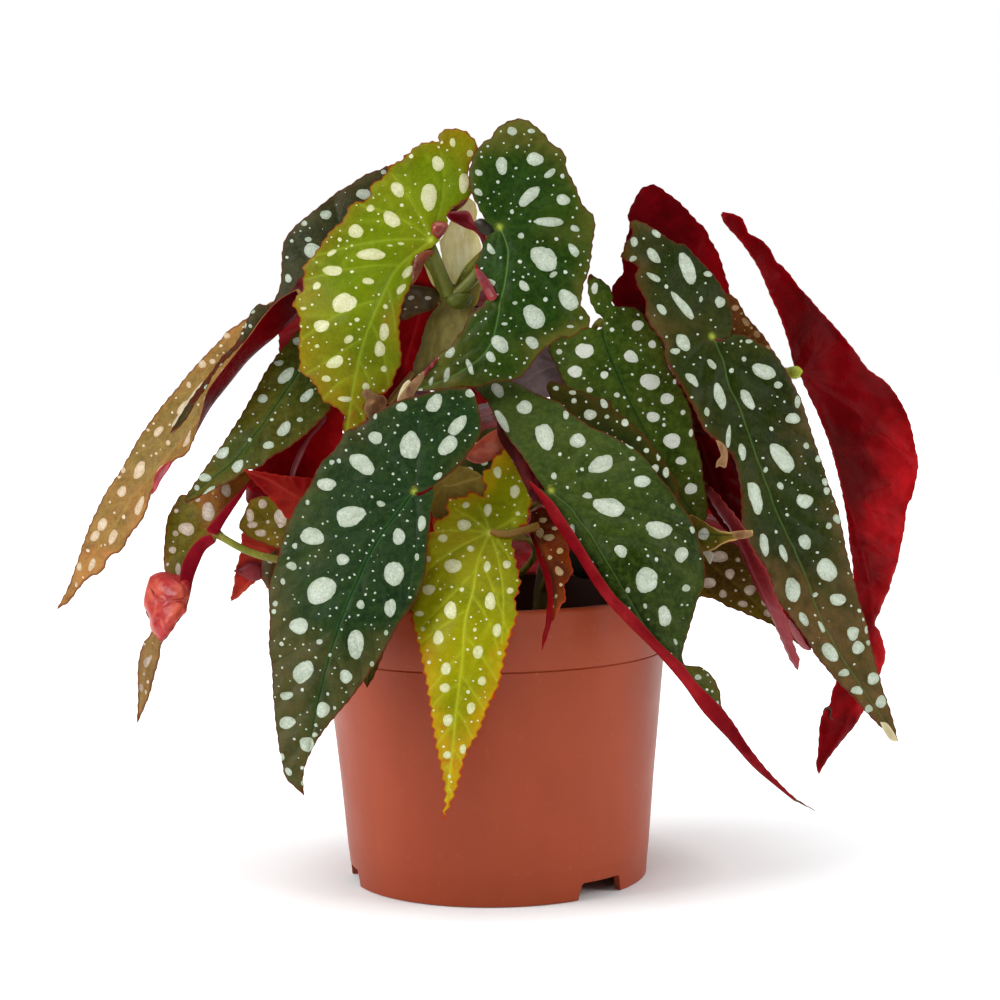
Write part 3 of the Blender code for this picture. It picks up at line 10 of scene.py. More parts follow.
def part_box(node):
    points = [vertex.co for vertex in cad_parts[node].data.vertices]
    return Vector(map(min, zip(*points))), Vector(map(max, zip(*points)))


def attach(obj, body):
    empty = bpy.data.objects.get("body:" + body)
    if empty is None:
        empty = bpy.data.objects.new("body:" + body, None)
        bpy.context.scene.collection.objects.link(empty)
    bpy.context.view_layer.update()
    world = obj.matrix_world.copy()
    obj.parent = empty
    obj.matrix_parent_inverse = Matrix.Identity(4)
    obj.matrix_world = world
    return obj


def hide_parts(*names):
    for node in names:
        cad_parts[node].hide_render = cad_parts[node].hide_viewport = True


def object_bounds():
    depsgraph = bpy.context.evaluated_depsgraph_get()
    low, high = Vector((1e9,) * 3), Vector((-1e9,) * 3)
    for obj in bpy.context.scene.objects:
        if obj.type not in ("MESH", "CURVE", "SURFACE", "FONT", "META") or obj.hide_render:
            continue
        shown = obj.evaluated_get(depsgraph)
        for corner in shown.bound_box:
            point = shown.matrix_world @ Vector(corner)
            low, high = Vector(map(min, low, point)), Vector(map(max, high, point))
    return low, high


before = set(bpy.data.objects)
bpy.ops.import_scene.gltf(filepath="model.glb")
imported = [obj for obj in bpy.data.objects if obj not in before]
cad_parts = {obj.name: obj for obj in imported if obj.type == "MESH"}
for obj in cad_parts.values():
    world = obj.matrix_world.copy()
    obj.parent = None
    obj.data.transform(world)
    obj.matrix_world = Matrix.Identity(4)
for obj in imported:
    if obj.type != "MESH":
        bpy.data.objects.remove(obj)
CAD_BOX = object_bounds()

# ---------------------------------------------------------------- leaf layout
# Every leaf is drawn as an outline on a front layout board (1000 x 1000 units,
# a to the right, b down) that is sighted from one fixed point in front of the
# plant.  "lay" gives how far back (+) or forward (-) of the pot axis the blade
# lies at a few board positions, in millimetres, and the blade is the smooth
# sheet through them.  "J" is the junction where the stalk joins the blade and
# where the veins start, "rib" is the midrib from J to the tip.
# side = +1: the spotted upper face looks to the front, -1: the red underside.
LEAVES = {
    "leaf_front_left": dict(side=1, J=(414, 491), rib=[(411, 495), (393, 518), (375, 544), (360, 574), (347, 605), (337, 631), (326, 669), (312, 730), (304, 796)],
        out=[(414, 492), (419, 493), (428, 489), (435, 484), (442, 480), (450, 474), (462, 463), (469, 453), (476, 443), (481, 433), (481, 421), (478, 406), (475, 396), (470, 389), (458, 388), (443, 389), (429, 393), (414, 397), (399, 401), (385, 408), (376, 413), (366, 422), (355, 428), (346, 431), (341, 441), (333, 452), (324, 460), (319, 467), (314, 476), (310, 486), (302, 498), (295, 508), (291, 518), (288, 522), (282, 543), (277, 563), (269, 589), (270, 617), (269, 642), (272, 670), (274, 701), (277, 732), (281, 757), (286, 778), (296, 788), (304, 796), (303, 778), (305, 765), (316, 742), (334, 718), (352, 697), (367, 676), (385, 649), (400, 622), (413, 605), (420, 590), (426, 569), (427, 550), (428, 540), (430, 525), (431, 509), (433, 499), (434, 490), (420, 497)],
        lay=[(414, 491, -48), (458, 389, -34), (399, 401, -35), (478, 425, -38), (343, 435, -32), (300, 510, -40), (272, 620, -56), (345, 605, -70), (428, 540, -58), (405, 615, -69), (360, 690, -76), (275, 730, -70), (304, 796, -84)]),
    "leaf_front_right": dict(side=1, J=(551, 490), rib=[(554, 494), (569, 506), (580, 521), (591, 535), (598, 547), (625, 592), (655, 640), (690, 680), (740, 738), (816, 811)],
        out=[(547, 491), (542, 485), (535, 475), (526, 462), (520, 453), (510, 441), (501, 427), (494, 416), (488, 403), (479, 393), (473, 388), (484, 382), (508, 381), (522, 386), (532, 392), (547, 398), (560, 403), (569, 412), (580, 420), (592, 428), (603, 432), (613, 437), (622, 442), (634, 449), (643, 457), (651, 467), (662, 481), (672, 492), (678, 502), (689, 517), (698, 538), (704, 566), (703, 586), (697, 601), (692, 619), (685, 642), (682, 655), (685, 665), (700, 667), (713, 678), (720, 693), (721, 705), (734, 724), (749, 747), (767, 770), (795, 798), (816, 811), (795, 801), (780, 789), (754, 767), (729, 739), (703, 711), (683, 683), (657, 653), (626, 622), (601, 594), (575, 553), (570, 547), (560, 531), (551, 518), (544, 504), (536, 493), (529, 482), (540, 489)],
        lay=[(551, 490, -50), (473, 388, -14), (508, 381, -17), (526, 462, -42), (603, 432, -36), (651, 467, -40), (698, 538, -48), (703, 586, -54), (682, 655, -62), (645, 560, -68), (575, 553, -62), (626, 622, -70), (683, 683, -70), (754, 767, -64), (816, 811, -56)]),
    "leaf_upper_left": dict(side=1, J=(431, 240), rib=[(417, 251), (402, 263), (392, 276), (383, 295), (373, 317), (361, 351), (354, 381), (350, 405), (345, 433)],
        out=[(436, 244), (425, 251), (417, 255), (413, 261), (414, 273), (411, 285), (405, 297), (401, 310), (399, 331), (400, 344), (401, 359), (400, 366), (396, 372), (392, 385), (386, 392), (374, 398), (363, 407), (368, 414), (363, 423), (351, 430), (344, 433), (342, 426), (345, 420), (343, 414), (332, 405), (323, 401), (320, 394), (316, 386), (307, 376), (300, 372), (300, 359), (299, 348), (300, 335), (300, 316), (296, 309), (293, 305), (298, 295), (304, 289), (302, 282), (305, 274), (303, 268), (312, 258), (320, 247), (325, 239), (334, 228), (342, 222), (347, 213), (350, 206), (356, 202), (365, 201), (371, 194), (370, 186), (373, 184), (383, 178), (387, 172), (389, 166), (403, 160), (403, 157), (410, 153), (415, 148), (422, 144), (431, 142), (439, 142), (439, 135), (446, 130), (453, 129), (461, 130), (468, 133), (475, 141), (478, 147), (472, 159), (468, 173), (470, 182), (472, 194), (459, 204), (448, 213), (447, 228), (440, 238)],
        lay=[(431, 240, -6), (461, 130, 4), (474, 190, -1), (403, 157, 6), (350, 206, 1), (299, 300, -5), (300, 365, -8), (353, 320, -20), (411, 285, -8), (399, 345, -13), (345, 433, -16)]),
    "leaf_top_centre": dict(side=1, J=(499.5, 227), rib=[(504.5, 238), (508, 251), (507, 268), (504, 286), (500, 301), (498, 315), (487, 350), (455, 375), (411, 391)],
        out=[(492, 226), (488, 223), (482, 214), (477, 204), (472, 194), (470, 183), (469, 174), (471, 166), (474, 155), (479, 148), (484, 142), (493, 137), (494, 132), (502, 125), (510, 121), (519, 119), (528, 121), (537, 128), (545, 135), (551, 144), (557, 147), (563, 152), (566, 158), (566, 169), (570, 176), (576, 188), (580, 199), (585, 208), (592, 214), (595, 223), (594, 235), (592, 245), (591, 257), (589, 268), (588, 274), (584, 283), (582, 295), (581, 306), (587, 313), (590, 321), (588, 328), (582, 330), (571, 338), (561, 337), (554, 342), (543, 350), (536, 358), (529, 368), (519, 378), (508, 381), (494, 382), (479, 387), (464, 387), (448, 389), (429, 391), (413, 391), (416, 380), (426, 368), (437, 358), (441, 352), (450, 349), (456, 339), (463, 330), (469, 317), (480, 308), (487, 300), (482, 285), (476, 272), (475, 264), (480, 254), (484, 242), (488, 235), (494, 232)],
        lay=[(499.5, 227, -14), (519, 119, 2), (469, 176, -7), (566, 160, -4), (595, 225, -12), (588, 274, -18), (590, 321, -24), (543, 350, -27), (508, 381, -28), (500, 290, -25), (478, 268, -12), (464, 387, -25), (441, 352, -20), (411, 391, -18)]),
    "leaf_front_yellow": dict(side=1, J=(489.5, 533), rib=[(484, 545), (478, 560), (473, 590), (465, 620), (462, 660), (456, 710), (451, 760), (442, 822)],
        out=[(495, 538), (508, 535), (513, 549), (517, 567), (520, 585), (515, 600), (517, 613), (510, 638), (505, 656), (501, 676), (497, 689), (488, 707), (479, 731), (466, 754), (458, 785), (450, 805), (442, 822), (445, 795), (440, 767), (435, 741), (428, 693), (424, 670), (415, 632), (412, 620), (413, 605), (418, 580), (426, 549), (429, 534), (435, 528), (431, 521), (438, 519), (447, 516), (447, 500), (463, 497), (469, 494), (472, 490), (476, 494), (482, 496), (486, 487), (482, 478), (485, 471), (493, 466), (492, 459), (503, 452), (508, 446), (517, 450), (525, 462), (528, 471), (526, 478), (532, 487), (532, 499), (529, 513), (528, 522), (517, 529), (504, 533)],
        lay=[(489.5, 533, -41), (508, 446, -29), (530, 490, -36), (447, 500, -33), (429, 536, -42), (513, 575, -54), (418, 580, -52), (465, 600, -66), (514, 612, -67), (412, 622, -60), (470, 680, -74), (430, 690, -73), (499, 680, -74), (460, 760, -76), (442, 822, -72)]),
    "leaf_right_large": dict(side=1, J=(712, 337), rib=[(715, 342), (722, 359), (729, 383), (739, 408), (750, 438), (760, 466), (780, 520), (805, 573), (820, 617), (850, 670), (898, 741)],
        out=[(712, 340), (719, 339), (726, 337), (731, 333), (733, 320), (731, 308), (727, 296), (720, 286), (712, 274), (703, 264), (693, 254), (684, 245), (676, 244), (668, 239), (660, 233), (649, 226), (638, 221), (631, 221), (629, 225), (632, 230), (631, 237), (625, 243), (623, 252), (620, 257), (622, 259), (630, 263), (638, 267), (635, 276), (638, 287), (643, 295), (646, 303), (645, 314), (650, 325), (657, 334), (665, 344), (665, 358), (671, 369), (678, 380), (682, 388), (687, 398), (694, 409), (698, 419), (704, 430), (713, 437), (723, 446), (731, 453), (734, 459), (740, 484), (741, 510), (742, 528), (751, 547), (757, 558), (764, 566), (769, 580), (776, 598), (787, 613), (803, 635), (818, 658), (836, 679), (856, 701), (876, 723), (898, 741), (891, 714), (882, 688), (875, 663), (866, 624), (856, 589), (848, 558), (842, 528), (838, 510), (828, 482), (818, 451), (810, 428), (801, 400), (795, 388), (788, 375), (781, 364), (773, 353), (763, 346), (751, 339), (740, 335), (731, 335), (722, 341)],
        lay=[(712, 337, -6), (634, 222, 4), (684, 245, 10), (733, 310, 6), (622, 258, -2), (640, 290, -8), (660, 340, -14), (694, 409, -24), (735, 460, -30), (741, 520, -32), (787, 613, -38), (836, 679, -38), (750, 420, -14), (790, 540, -20), (763, 346, -1), (801, 400, -3), (838, 510, -8), (866, 624, -18), (885, 700, -28), (898, 741, -32)]),
    "leaf_mid_right": dict(side=1, J=(602, 324), rib=[(603, 337), (610, 357), (619, 378), (628, 398), (640, 422), (660, 462), (682, 498), (704, 526)],
        out=[(604, 320), (596, 312), (590, 300), (588, 286), (589, 274), (595, 277), (601, 280), (609, 287), (613, 296), (612, 306), (622, 307), (632, 307), (640, 311), (644, 316), (651, 327), (662, 340), (665, 349), (666, 360), (669, 369), (676, 380), (682, 390), (687, 400), (690, 407), (692, 419), (694, 432), (698, 448), (702, 462), (703, 475), (706, 492), (708, 510), (704, 526), (690, 517), (665, 497), (640, 475), (612, 447), (590, 425), (572, 402), (568, 390), (563, 381), (560, 374), (555, 363), (549, 352), (552, 338), (570, 328), (590, 328), (600, 330)],
        lay=[(602, 324, 4), (590, 280, 10), (640, 311, 6), (549, 352, 10), (568, 390, 4), (669, 369, 0), (694, 432, -8), (706, 492, -16), (620, 380, -2), (600, 430, -2), (650, 480, -10), (704, 526, -20)]),
    "leaf_mid_right_lower": dict(side=1, J=(598, 470), rib=[(600, 474), (615, 492), (632, 512), (650, 548)],
        out=[(547, 384), (554, 382), (563, 385), (569, 388), (583, 392), (596, 398), (608, 400), (613, 409), (625, 418), (635, 428), (643, 434), (650, 442), (657, 453), (665, 463), (672, 475), (677, 484), (679, 500), (672, 525), (650, 548), (625, 535), (605, 510), (595, 480), (588, 458), (572, 430), (555, 408)],
        lay=[(547, 384, -12), (608, 400, -15), (650, 442, -24), (677, 484, -30), (590, 450, -22), (650, 548, -38)]),
    "leaf_far_right": dict(side=-1, J=(801, 375), rib=[(806, 392), (825, 440), (848, 510), (862, 560), (870, 620), (868, 670), (845, 720), (819, 773)],
        out=[(721, 214), (726, 224), (737, 236), (744, 245), (750, 254), (759, 268), (766, 283), (772, 298), (778, 312), (784, 328), (789, 344), (794, 364), (800, 377), (804, 388), (817, 412), (830, 445), (840, 482), (846, 515), (851, 550), (853, 580), (846, 620), (840, 655), (837, 679), (832, 693), (830, 704), (826, 708), (822, 716), (819, 729), (818, 752), (816, 765), (819, 774), (822, 768), (828, 758), (843, 739), (855, 724), (864, 709), (879, 676), (885, 655), (883, 643), (879, 631), (874, 624), (879, 612), (889, 586), (898, 558), (905, 528), (908, 506), (913, 497), (917, 475), (917, 454), (911, 425), (901, 402), (886, 382), (868, 369), (855, 351), (843, 335), (830, 321), (819, 310), (811, 300), (800, 288), (791, 275), (782, 265), (776, 261), (773, 254), (768, 246), (759, 238), (749, 233), (745, 223), (741, 217), (734, 214), (723, 212)],
        lay=[(801, 375, 14), (722, 213, 34), (770, 260, 30), (830, 321, 26), (800, 340, 18), (886, 382, 28), (917, 460, 30), (860, 450, 18), (840, 482, 10), (853, 570, 6), (908, 506, 26), (895, 565, 18), (874, 624, 8), (840, 660, -4), (864, 709, 4), (819, 774, -8)]),
    "leaf_right_back": dict(side=-1, J=(690, 318), rib=[(694, 324), (699, 336), (704, 352)],
        out=[(649, 185), (641, 189), (636, 197), (632, 205), (629, 211), (628, 218), (630, 225), (626, 240), (622, 262), (624, 270), (621, 276), (616, 281), (612, 289), (613, 304), (626, 309), (645, 315), (665, 330), (686, 344), (704, 352), (720, 336), (728, 318), (729, 287), (726, 277), (722, 264), (718, 252), (710, 239), (706, 229), (696, 220), (687, 210), (678, 201), (666, 192), (656, 185)],
        lay=[(650, 187, 30), (690, 318, 20), (629, 220, 24), (612, 295, 20), (726, 280, 24), (704, 352, 16), (665, 330, 17)]),
    "leaf_right_shoulder": dict(side=1, J=(735, 352), rib=[(740, 350), (752, 350), (775, 356)],
        out=[(722, 296), (729, 294), (737, 300), (745, 314), (756, 327), (764, 336), (770, 346), (776, 355), (768, 366), (750, 372), (735, 366), (726, 345), (722, 320)],
        lay=[(729, 294, 14), (775, 354, 8), (735, 352, 10), (750, 372, 6), (755, 330, 12)]),
    "leaf_upper_left_far": dict(side=1, J=(330, 292), rib=[(318, 286), (300, 296), (270, 325), (235, 362), (205, 395), (170, 433)],
        out=[(392, 172), (389, 166), (380, 170), (370, 173), (359, 179), (349, 186), (336, 193), (330, 198), (320, 206), (314, 211), (304, 219), (296, 226), (286, 238), (283, 248), (282, 264), (281, 282), (277, 295), (270, 305), (258, 305), (249, 317), (246, 324), (235, 345), (222, 357), (210, 374), (196, 392), (178, 419), (170, 433), (182, 424), (194, 404), (206, 388), (215, 372), (232, 354), (255, 331), (270, 313), (283, 302), (292, 291), (304, 276), (320, 292), (345, 290), (372, 250), (395, 205)],
        lay=[(389, 166, 16), (304, 219, 16), (282, 264, 15), (304, 276, 5), (345, 285, 4), (380, 230, 8), (258, 306, 10), (246, 340, 4), (210, 374, 2), (170, 433, -4)]),
    "leaf_left_tan": dict(side=1, J=(300, 306), rib=[(294, 316), (262, 345), (225, 385), (190, 430), (150, 475), (110, 530), (57, 609)],
        out=[(246, 319), (235, 327), (228, 331), (219, 342), (199, 363), (179, 386), (158, 411), (140, 437), (122, 468), (102, 500), (89, 528), (79, 558), (69, 586), (57, 609), (70, 601), (77, 591), (89, 578), (103, 571), (109, 557), (122, 550), (129, 537), (138, 525), (143, 518), (148, 506), (151, 494), (158, 482), (165, 470), (173, 461), (186, 454), (191, 445), (196, 433), (204, 418), (212, 405), (230, 382), (247, 361), (262, 347), (273, 338), (290, 322), (304, 306), (300, 290), (275, 300)],
        lay=[(246, 319, 24), (304, 300, 16), (290, 322, 8), (179, 386, 18), (230, 382, 4), (196, 433, -2), (102, 500, 8), (140, 437, 14), (150, 496, -4), (109, 557, -2), (57, 609, 0)],
        fold=[dict(F=[(304, 306), (290, 322), (273, 338), (262, 347), (247, 361), (230, 382), (212, 405), (204, 418), (196, 433)], E=[(296, 290), (280, 299), (262, 318), (250, 335), (236, 353), (221, 372), (207, 392), (202, 410), (196, 432)], rise=9.0, roll=1.5)]),
    "leaf_left_mid": dict(side=1, J=(318, 352), rib=[(306, 362), (285, 392), (262, 425), (232, 462), (187, 498)],
        out=[(300, 330), (288, 342), (281, 350), (268, 368), (255, 391), (242, 414), (224, 442), (204, 470), (187, 495), (184, 503), (189, 502), (214, 489), (235, 479), (245, 471), (260, 467), (270, 458), (289, 447), (304, 436), (319, 422), (329, 411), (333, 402), (340, 380), (335, 350), (318, 335)],
        lay=[(300, 332, 6), (335, 350, 2), (255, 391, 2), (204, 470, -8), (184, 502, -16), (245, 471, -17), (304, 436, -15), (336, 385, -4), (270, 425, -10)]),
    "leaf_left_small": dict(side=1, J=(217, 534), tie=(221, 536.5, -16.5), rib=[(206, 528), (196, 540), (186, 556), (178, 577), (160, 610), (148, 650), (137, 723)],
        out=[(250, 481), (248, 472), (235, 473), (223, 480), (214, 486), (205, 491), (189, 496), (182, 494), (175, 504), (168, 518), (165, 538), (164, 566), (166, 574), (156, 579), (150, 584), (147, 592), (145, 601), (147, 614), (152, 625), (151, 634), (145, 641), (141, 650), (138, 668), (138, 693), (137, 723), (145, 706), (151, 690), (156, 670), (160, 655), (161, 645), (168, 636), (173, 630), (180, 619), (186, 612), (187, 605), (190, 593), (193, 578), (199, 562), (205, 550), (215, 542), (218, 534), (223, 524), (232, 510), (242, 495)],
        lay=[(250, 481, -10), (182, 495, -2), (165, 538, -2), (218, 534, -16), (190, 540, -7), (166, 574, -6), (192, 590, -14), (147, 605, -8), (170, 610, -16), (138, 690, -16), (137, 723, -18), (158, 660, -18)]),
    "leaf_left_red": dict(side=-1, J=(322, 405), rib=[(316, 432), (304, 448), (295, 466), (290, 490)],
        out=[(344, 414), (343, 426), (342, 435), (338, 448), (331, 470), (322, 492), (305, 512), (290, 516), (278, 510), (262, 492), (250, 490), (246, 482), (250, 474), (262, 456), (285, 436), (305, 416), (322, 398), (338, 400)],
        lay=[(322, 400, 2), (344, 414, -3), (250, 476, -2), (322, 492, -14), (285, 436, 0), (290, 512, -10)]),
    "leaf_left_curled": dict(side=1, J=(300, 530), rib=[(290, 526), (272, 522), (245, 522)],
        out=[(250, 500), (247, 508), (242, 518), (239, 525), (242, 531), (252, 539), (263, 543), (278, 548), (300, 546), (308, 520), (300, 505), (286, 500), (270, 496)],
        lay=[(250, 502, -14), (240, 525, -14), (278, 546, -19), (305, 520, -24), (285, 500, -18)]),
    "leaf_left_flap": dict(side=-1, J=(303, 500), rib=[(290, 492), (270, 480), (243, 470)],
        out=[(243, 469), (262, 472), (285, 476), (312, 479), (318, 485), (310, 500), (300, 512), (289, 519), (280, 509), (268, 496), (256, 484)],
        lay=[(243, 469, -22), (312, 480, -28), (300, 512, -28), (289, 519, -25), (268, 490, -24)]),
    "leaf_low_left": dict(side=-1, J=(290, 560), rib=[(280, 562), (262, 570), (236, 598)],
        out=[(243, 532), (241, 551), (236, 570), (234, 585), (231, 601), (238, 598), (246, 590), (254, 583), (260, 577), (266, 586), (270, 590), (280, 582), (296, 570), (300, 556), (290, 545), (276, 541), (262, 537), (252, 533)],
        lay=[(243, 536, -6), (231, 601, -8), (268, 590, -10), (298, 560, -12), (276, 547, -9)]),
    "leaf_inner_red": dict(side=-1, J=(424, 300), rib=[(420, 312), (412, 340), (402, 372), (392, 400)],
        out=[(410, 262), (420, 262), (430, 268), (436, 285), (437, 305), (434, 325), (428, 350), (420, 372), (408, 392), (394, 408), (380, 402), (372, 380), (376, 340), (384, 310), (394, 282)],
        lay=[(424, 266, 4), (384, 310, 2), (436, 300, 6), (394, 408, -6), (410, 340, 3)]),
    "leaf_centre_small": dict(side=1, J=(533, 528), rib=[(540, 536), (546, 556), (553, 584), (554, 604), (547, 628), (543, 648)],
        out=[(530, 534), (534, 545), (538, 559), (543, 572), (546, 585), (548, 596), (547, 612), (546, 625), (543, 636), (542, 650), (547, 638), (551, 624), (556, 616), (560, 607), (566, 599), (564, 586), (570, 577), (573, 570), (570, 560), (568, 545), (565, 532), (556, 516), (543, 508), (533, 512), (530, 524)],
        lay=[(533, 528, -34), (543, 508, -30), (568, 540, -40), (572, 572, -50), (545, 585, -56), (556, 612, -67), (542, 650, -70)]),
    "leaf_right_folded": dict(side=-1, J=(704, 485), tie=(702.5, 484.5, -8.0), rib=[(716, 503), (735, 531), (752, 566), (770, 604), (784, 640), (798, 669)],
        out=[(704, 483), (706, 492), (711, 500), (720, 515), (730, 528), (738, 543), (742, 556), (748, 570), (757, 590), (766, 606), (776, 627), (786, 651), (792, 663), (798, 670), (799, 661), (795, 649), (791, 633), (787, 620), (783, 610), (776, 598), (771, 583), (766, 570), (758, 559), (750, 545), (743, 527), (735, 515), (722, 500), (712, 489)],
        lay=[(704, 484, -7), (742, 540, -36), (776, 610, -46), (798, 669, -46), (720, 510, -26)]),
    "leaf_right_dark": dict(side=-1, J=(702, 440), tie=(686, 436, 5.0), rib=[(706, 452), (716, 480), (728, 512)],
        out=[(692, 428), (702, 432), (715, 441), (728, 452), (735, 465), (740, 484), (742, 505), (742, 526), (734, 536), (720, 524), (708, 508), (698, 490), (694, 466), (690, 446)],
        lay=[(692, 430, 2), (728, 452, -8), (742, 505, -13), (734, 534, -17), (698, 490, 0)]),
    "leaf_right_curl": dict(side=1, J=(686, 534), rib=[(702, 534), (724, 535), (752, 532)],
        out=[(688, 515), (698, 518), (706, 523), (716, 529), (726, 532), (740, 531), (752, 530), (752, 534), (745, 537), (735, 540), (724, 543), (714, 549), (706, 553), (698, 556), (688, 552), (684, 534)],
        lay=[(686, 534, -26), (716, 530, -36), (716, 547, -38), (738, 534, -46), (752, 532, -50)]),
    "leaf_right_brown": dict(side=1, J=(700, 556), rib=[(712, 566), (730, 580), (750, 598), (778, 626)],
        out=[(688, 556), (700, 548), (715, 548), (728, 542), (740, 548), (748, 562), (756, 580), (764, 594), (778, 606), (792, 622), (804, 635), (811, 650), (797, 643), (785, 634), (777, 628), (772, 625), (764, 621), (750, 616), (740, 611), (728, 607), (716, 600), (703, 597), (694, 597), (686, 580)],
        lay=[(690, 570, -18), (740, 548, -20), (777, 628, -30), (808, 648, -30), (716, 600, -24)]),
    "leaf_centre_dark": dict(side=1, J=(478, 450), rib=[(480, 456), (482, 468), (478, 482)],
        out=[(452, 470), (462, 452), (472, 440), (486, 430), (500, 428), (506, 440), (502, 456), (494, 470), (484, 480), (470, 486), (456, 482)],
        lay=[(478, 450, -18), (500, 430, -12), (456, 480, -22), (490, 478, -24)]),
    "leaf_centre_olive": dict(side=-1, J=(445, 486), rib=[(452, 486), (466, 482), (480, 478)],
        out=[(436, 482), (448, 472), (458, 466), (468, 468), (480, 474), (488, 482), (488, 492), (480, 500), (468, 508), (456, 516), (444, 522), (434, 518), (430, 502)],
        lay=[(436, 490, -26), (480, 480, -29), (458, 500, -29)]),
    "leaf_purple": dict(side=-1, J=(556, 366), rib=[(545, 370), (530, 378), (516, 388)],
        out=[(508, 388), (514, 374), (524, 362), (536, 350), (548, 340), (562, 338), (572, 350), (574, 368), (570, 384), (560, 392), (544, 398), (526, 398), (514, 396)],
        lay=[(508, 388, 6), (548, 342, 18), (572, 366, 14), (540, 396, 6)]),
    "leaf_behind_front_left": dict(side=1, J=(372, 560), rib=[(374, 580), (374, 620), (368, 688)],
        out=[(358, 560), (346, 572), (338, 592), (337, 612), (344, 636), (352, 656), (361, 674), (367, 688), (374, 676), (383, 655), (392, 630), (398, 606), (396, 584), (386, 568), (374, 562)],
        lay=[(358, 562, -44), (338, 600, -50), (398, 604, -54), (367, 688, -60), (370, 620, -58)]),
    "stipule_cream": dict(side=1, J=(458, 283), rib=[(459, 276), (462, 250), (468, 198)],
        out=[(452, 284), (449, 282), (446, 273), (443, 262), (441, 250), (440, 241), (446, 232), (450, 222), (455, 212), (462, 204), (468, 197), (475, 203), (477, 214), (475, 226), (478, 237), (481, 246), (480, 252), (476, 261), (473, 270), (469, 277), (460, 284)],
        lay=[(458, 284, 6), (468, 198, 12), (441, 250, 9), (480, 250, 9), (461, 250, 5)]),
    "stipule_tan": dict(side=1, J=(456, 300), rib=[(452, 306), (440, 330), (416, 376)],
        out=[(448, 300), (437, 306), (428, 320), (424, 332), (421, 345), (417, 356), (413, 368), (414, 378), (427, 368), (438, 359), (444, 353), (451, 348), (457, 338), (463, 330), (469, 322), (474, 312), (470, 303), (460, 300)],
        lay=[(456, 301, 0), (416, 376, -3), (424, 332, 1), (472, 312, -4), (445, 330, -4)]),
    "stipule_sliver": dict(side=1, J=(441, 292), rib=[(438, 286), (433, 272), (430, 258)],
        out=[(443, 293), (436, 288), (430, 276), (424, 265), (431, 256), (434, 266), (437, 277), (441, 286)],
        lay=[(442, 291, 8), (424, 265, 6), (431, 256, 7)]),
}

# ------------------------------------------------------------------ geometry
EYE_D, EYE_H, EYE_F = 781.8, 186.2, 2300.0      # sighting point in front of the pot axis, mm
PITCH, ROLL, YAW = 0.074, -0.018, 0.0033


def sight(a, b, y):
    """Place board positions (a, b) in space, y millimetres behind the pot axis."""
    a, b, y = np.broadcast_arrays(np.asarray(a, float), np.asarray(b, float), np.asarray(y, float))
    cr, sr, cp, sp = math.cos(ROLL), math.sin(ROLL), math.cos(PITCH), math.sin(PITCH)
    cy, sy = math.cos(YAW), math.sin(YAW)
    u0, v0 = a - 500.0, b - 500.0
    u = u0 * cr + v0 * sr
    v = -u0 * sr + v0 * cr
    fy = EYE_F * cp - v * sp
    dz = -EYE_F * sp - v * cp
    dx = u * cy + fy * sy
    dy = -u * sy + fy * cy
    t = (y + EYE_D) / dy
    return np.stack([dx * t, y, EYE_H + dz * t], axis=-1)


def sheet(lay, soft=0.03):
    """Smooth depth field through the (a, b, depth) points of one leaf."""
    p = np.array([(a, b) for a, b, _ in lay], float) / 100.0
    v = np.array([d for _, _, d in lay], float)
    n = len(p)
    r2 = ((p[:, None] - p[None]) ** 2).sum(-1)
    m = np.zeros((n + 3, n + 3))
    m[:n, :n] = 0.5 * r2 * np.log(r2 + 1e-9) + soft * np.eye(n)
    m[:n, n] = 1.0
    m[:n, n + 1:] = p
    m[n, :n] = 1.0
    m[n + 1:, :n] = p.T
    w = np.linalg.lstsq(m, np.concatenate([v, np.zeros(3)]), rcond=None)[0]

    def depth(a, b):
        q = np.stack([np.asarray(a, float), np.asarray(b, float)], -1) / 100.0
        s = ((q[..., None, :] - p) ** 2).sum(-1)
        return (0.5 * s * np.log(s + 1e-9)) @ w[:n] + w[n] + q @ w[n + 1:]
    return depth


def curve_through(points, ends_sharp=True, per=8):
    """Centripetal Catmull-Rom curve through 2-D or 3-D points."""
    p = np.array(points, float)
    if len(p) == 2:
        k = np.linspace(0, 1, per + 1)[:, None]
        return p[0] * (1 - k) + p[1] * k
    ext = np.vstack([2 * p[0] - p[1], p, 2 * p[-1] - p[-2]])
    out = []
    for i in range(1, len(ext) - 2):
        p0, p1, p2, p3 = ext[i - 1:i + 3]
        d1 = max(np.linalg.norm(p1 - p0), 1e-6) ** 0.5
        d2 = max(np.linalg.norm(p2 - p1), 1e-6) ** 0.5
        d3 = max(np.linalg.norm(p3 - p2), 1e-6) ** 0.5
        m1 = d2 * ((p1 - p0) / d1 - (p2 - p0) / (d1 + d2) + (p2 - p1) / d2)
        m2 = d2 * ((p2 - p1) / d2 - (p3 - p1) / (d2 + d3) + (p3 - p2) / d3)
        for k in range(per):
            t = k / per
            h = t * t * (3 - 2 * t)
            out.append((1 - h) * p1 + h * p2 + (t - 2 * t * t + t ** 3) * m1 + (t ** 3 - t * t) * m2)
    out.append(p[-1])
    return np.array(out)


def even(points, step=None, count=None):
    """Points at even distances along a polyline."""
    p = np.array(points, float)
    d = np.concatenate([[0], np.cumsum(np.linalg.norm(np.diff(p, axis=0), axis=1))])
    n = count if count else max(1, int(round(d[-1] / step)))
    s = np.linspace(0, d[-1], n + 1)
    return np.stack([np.interp(s, d, p[:, k]) for k in range(p.shape[1])], -1)


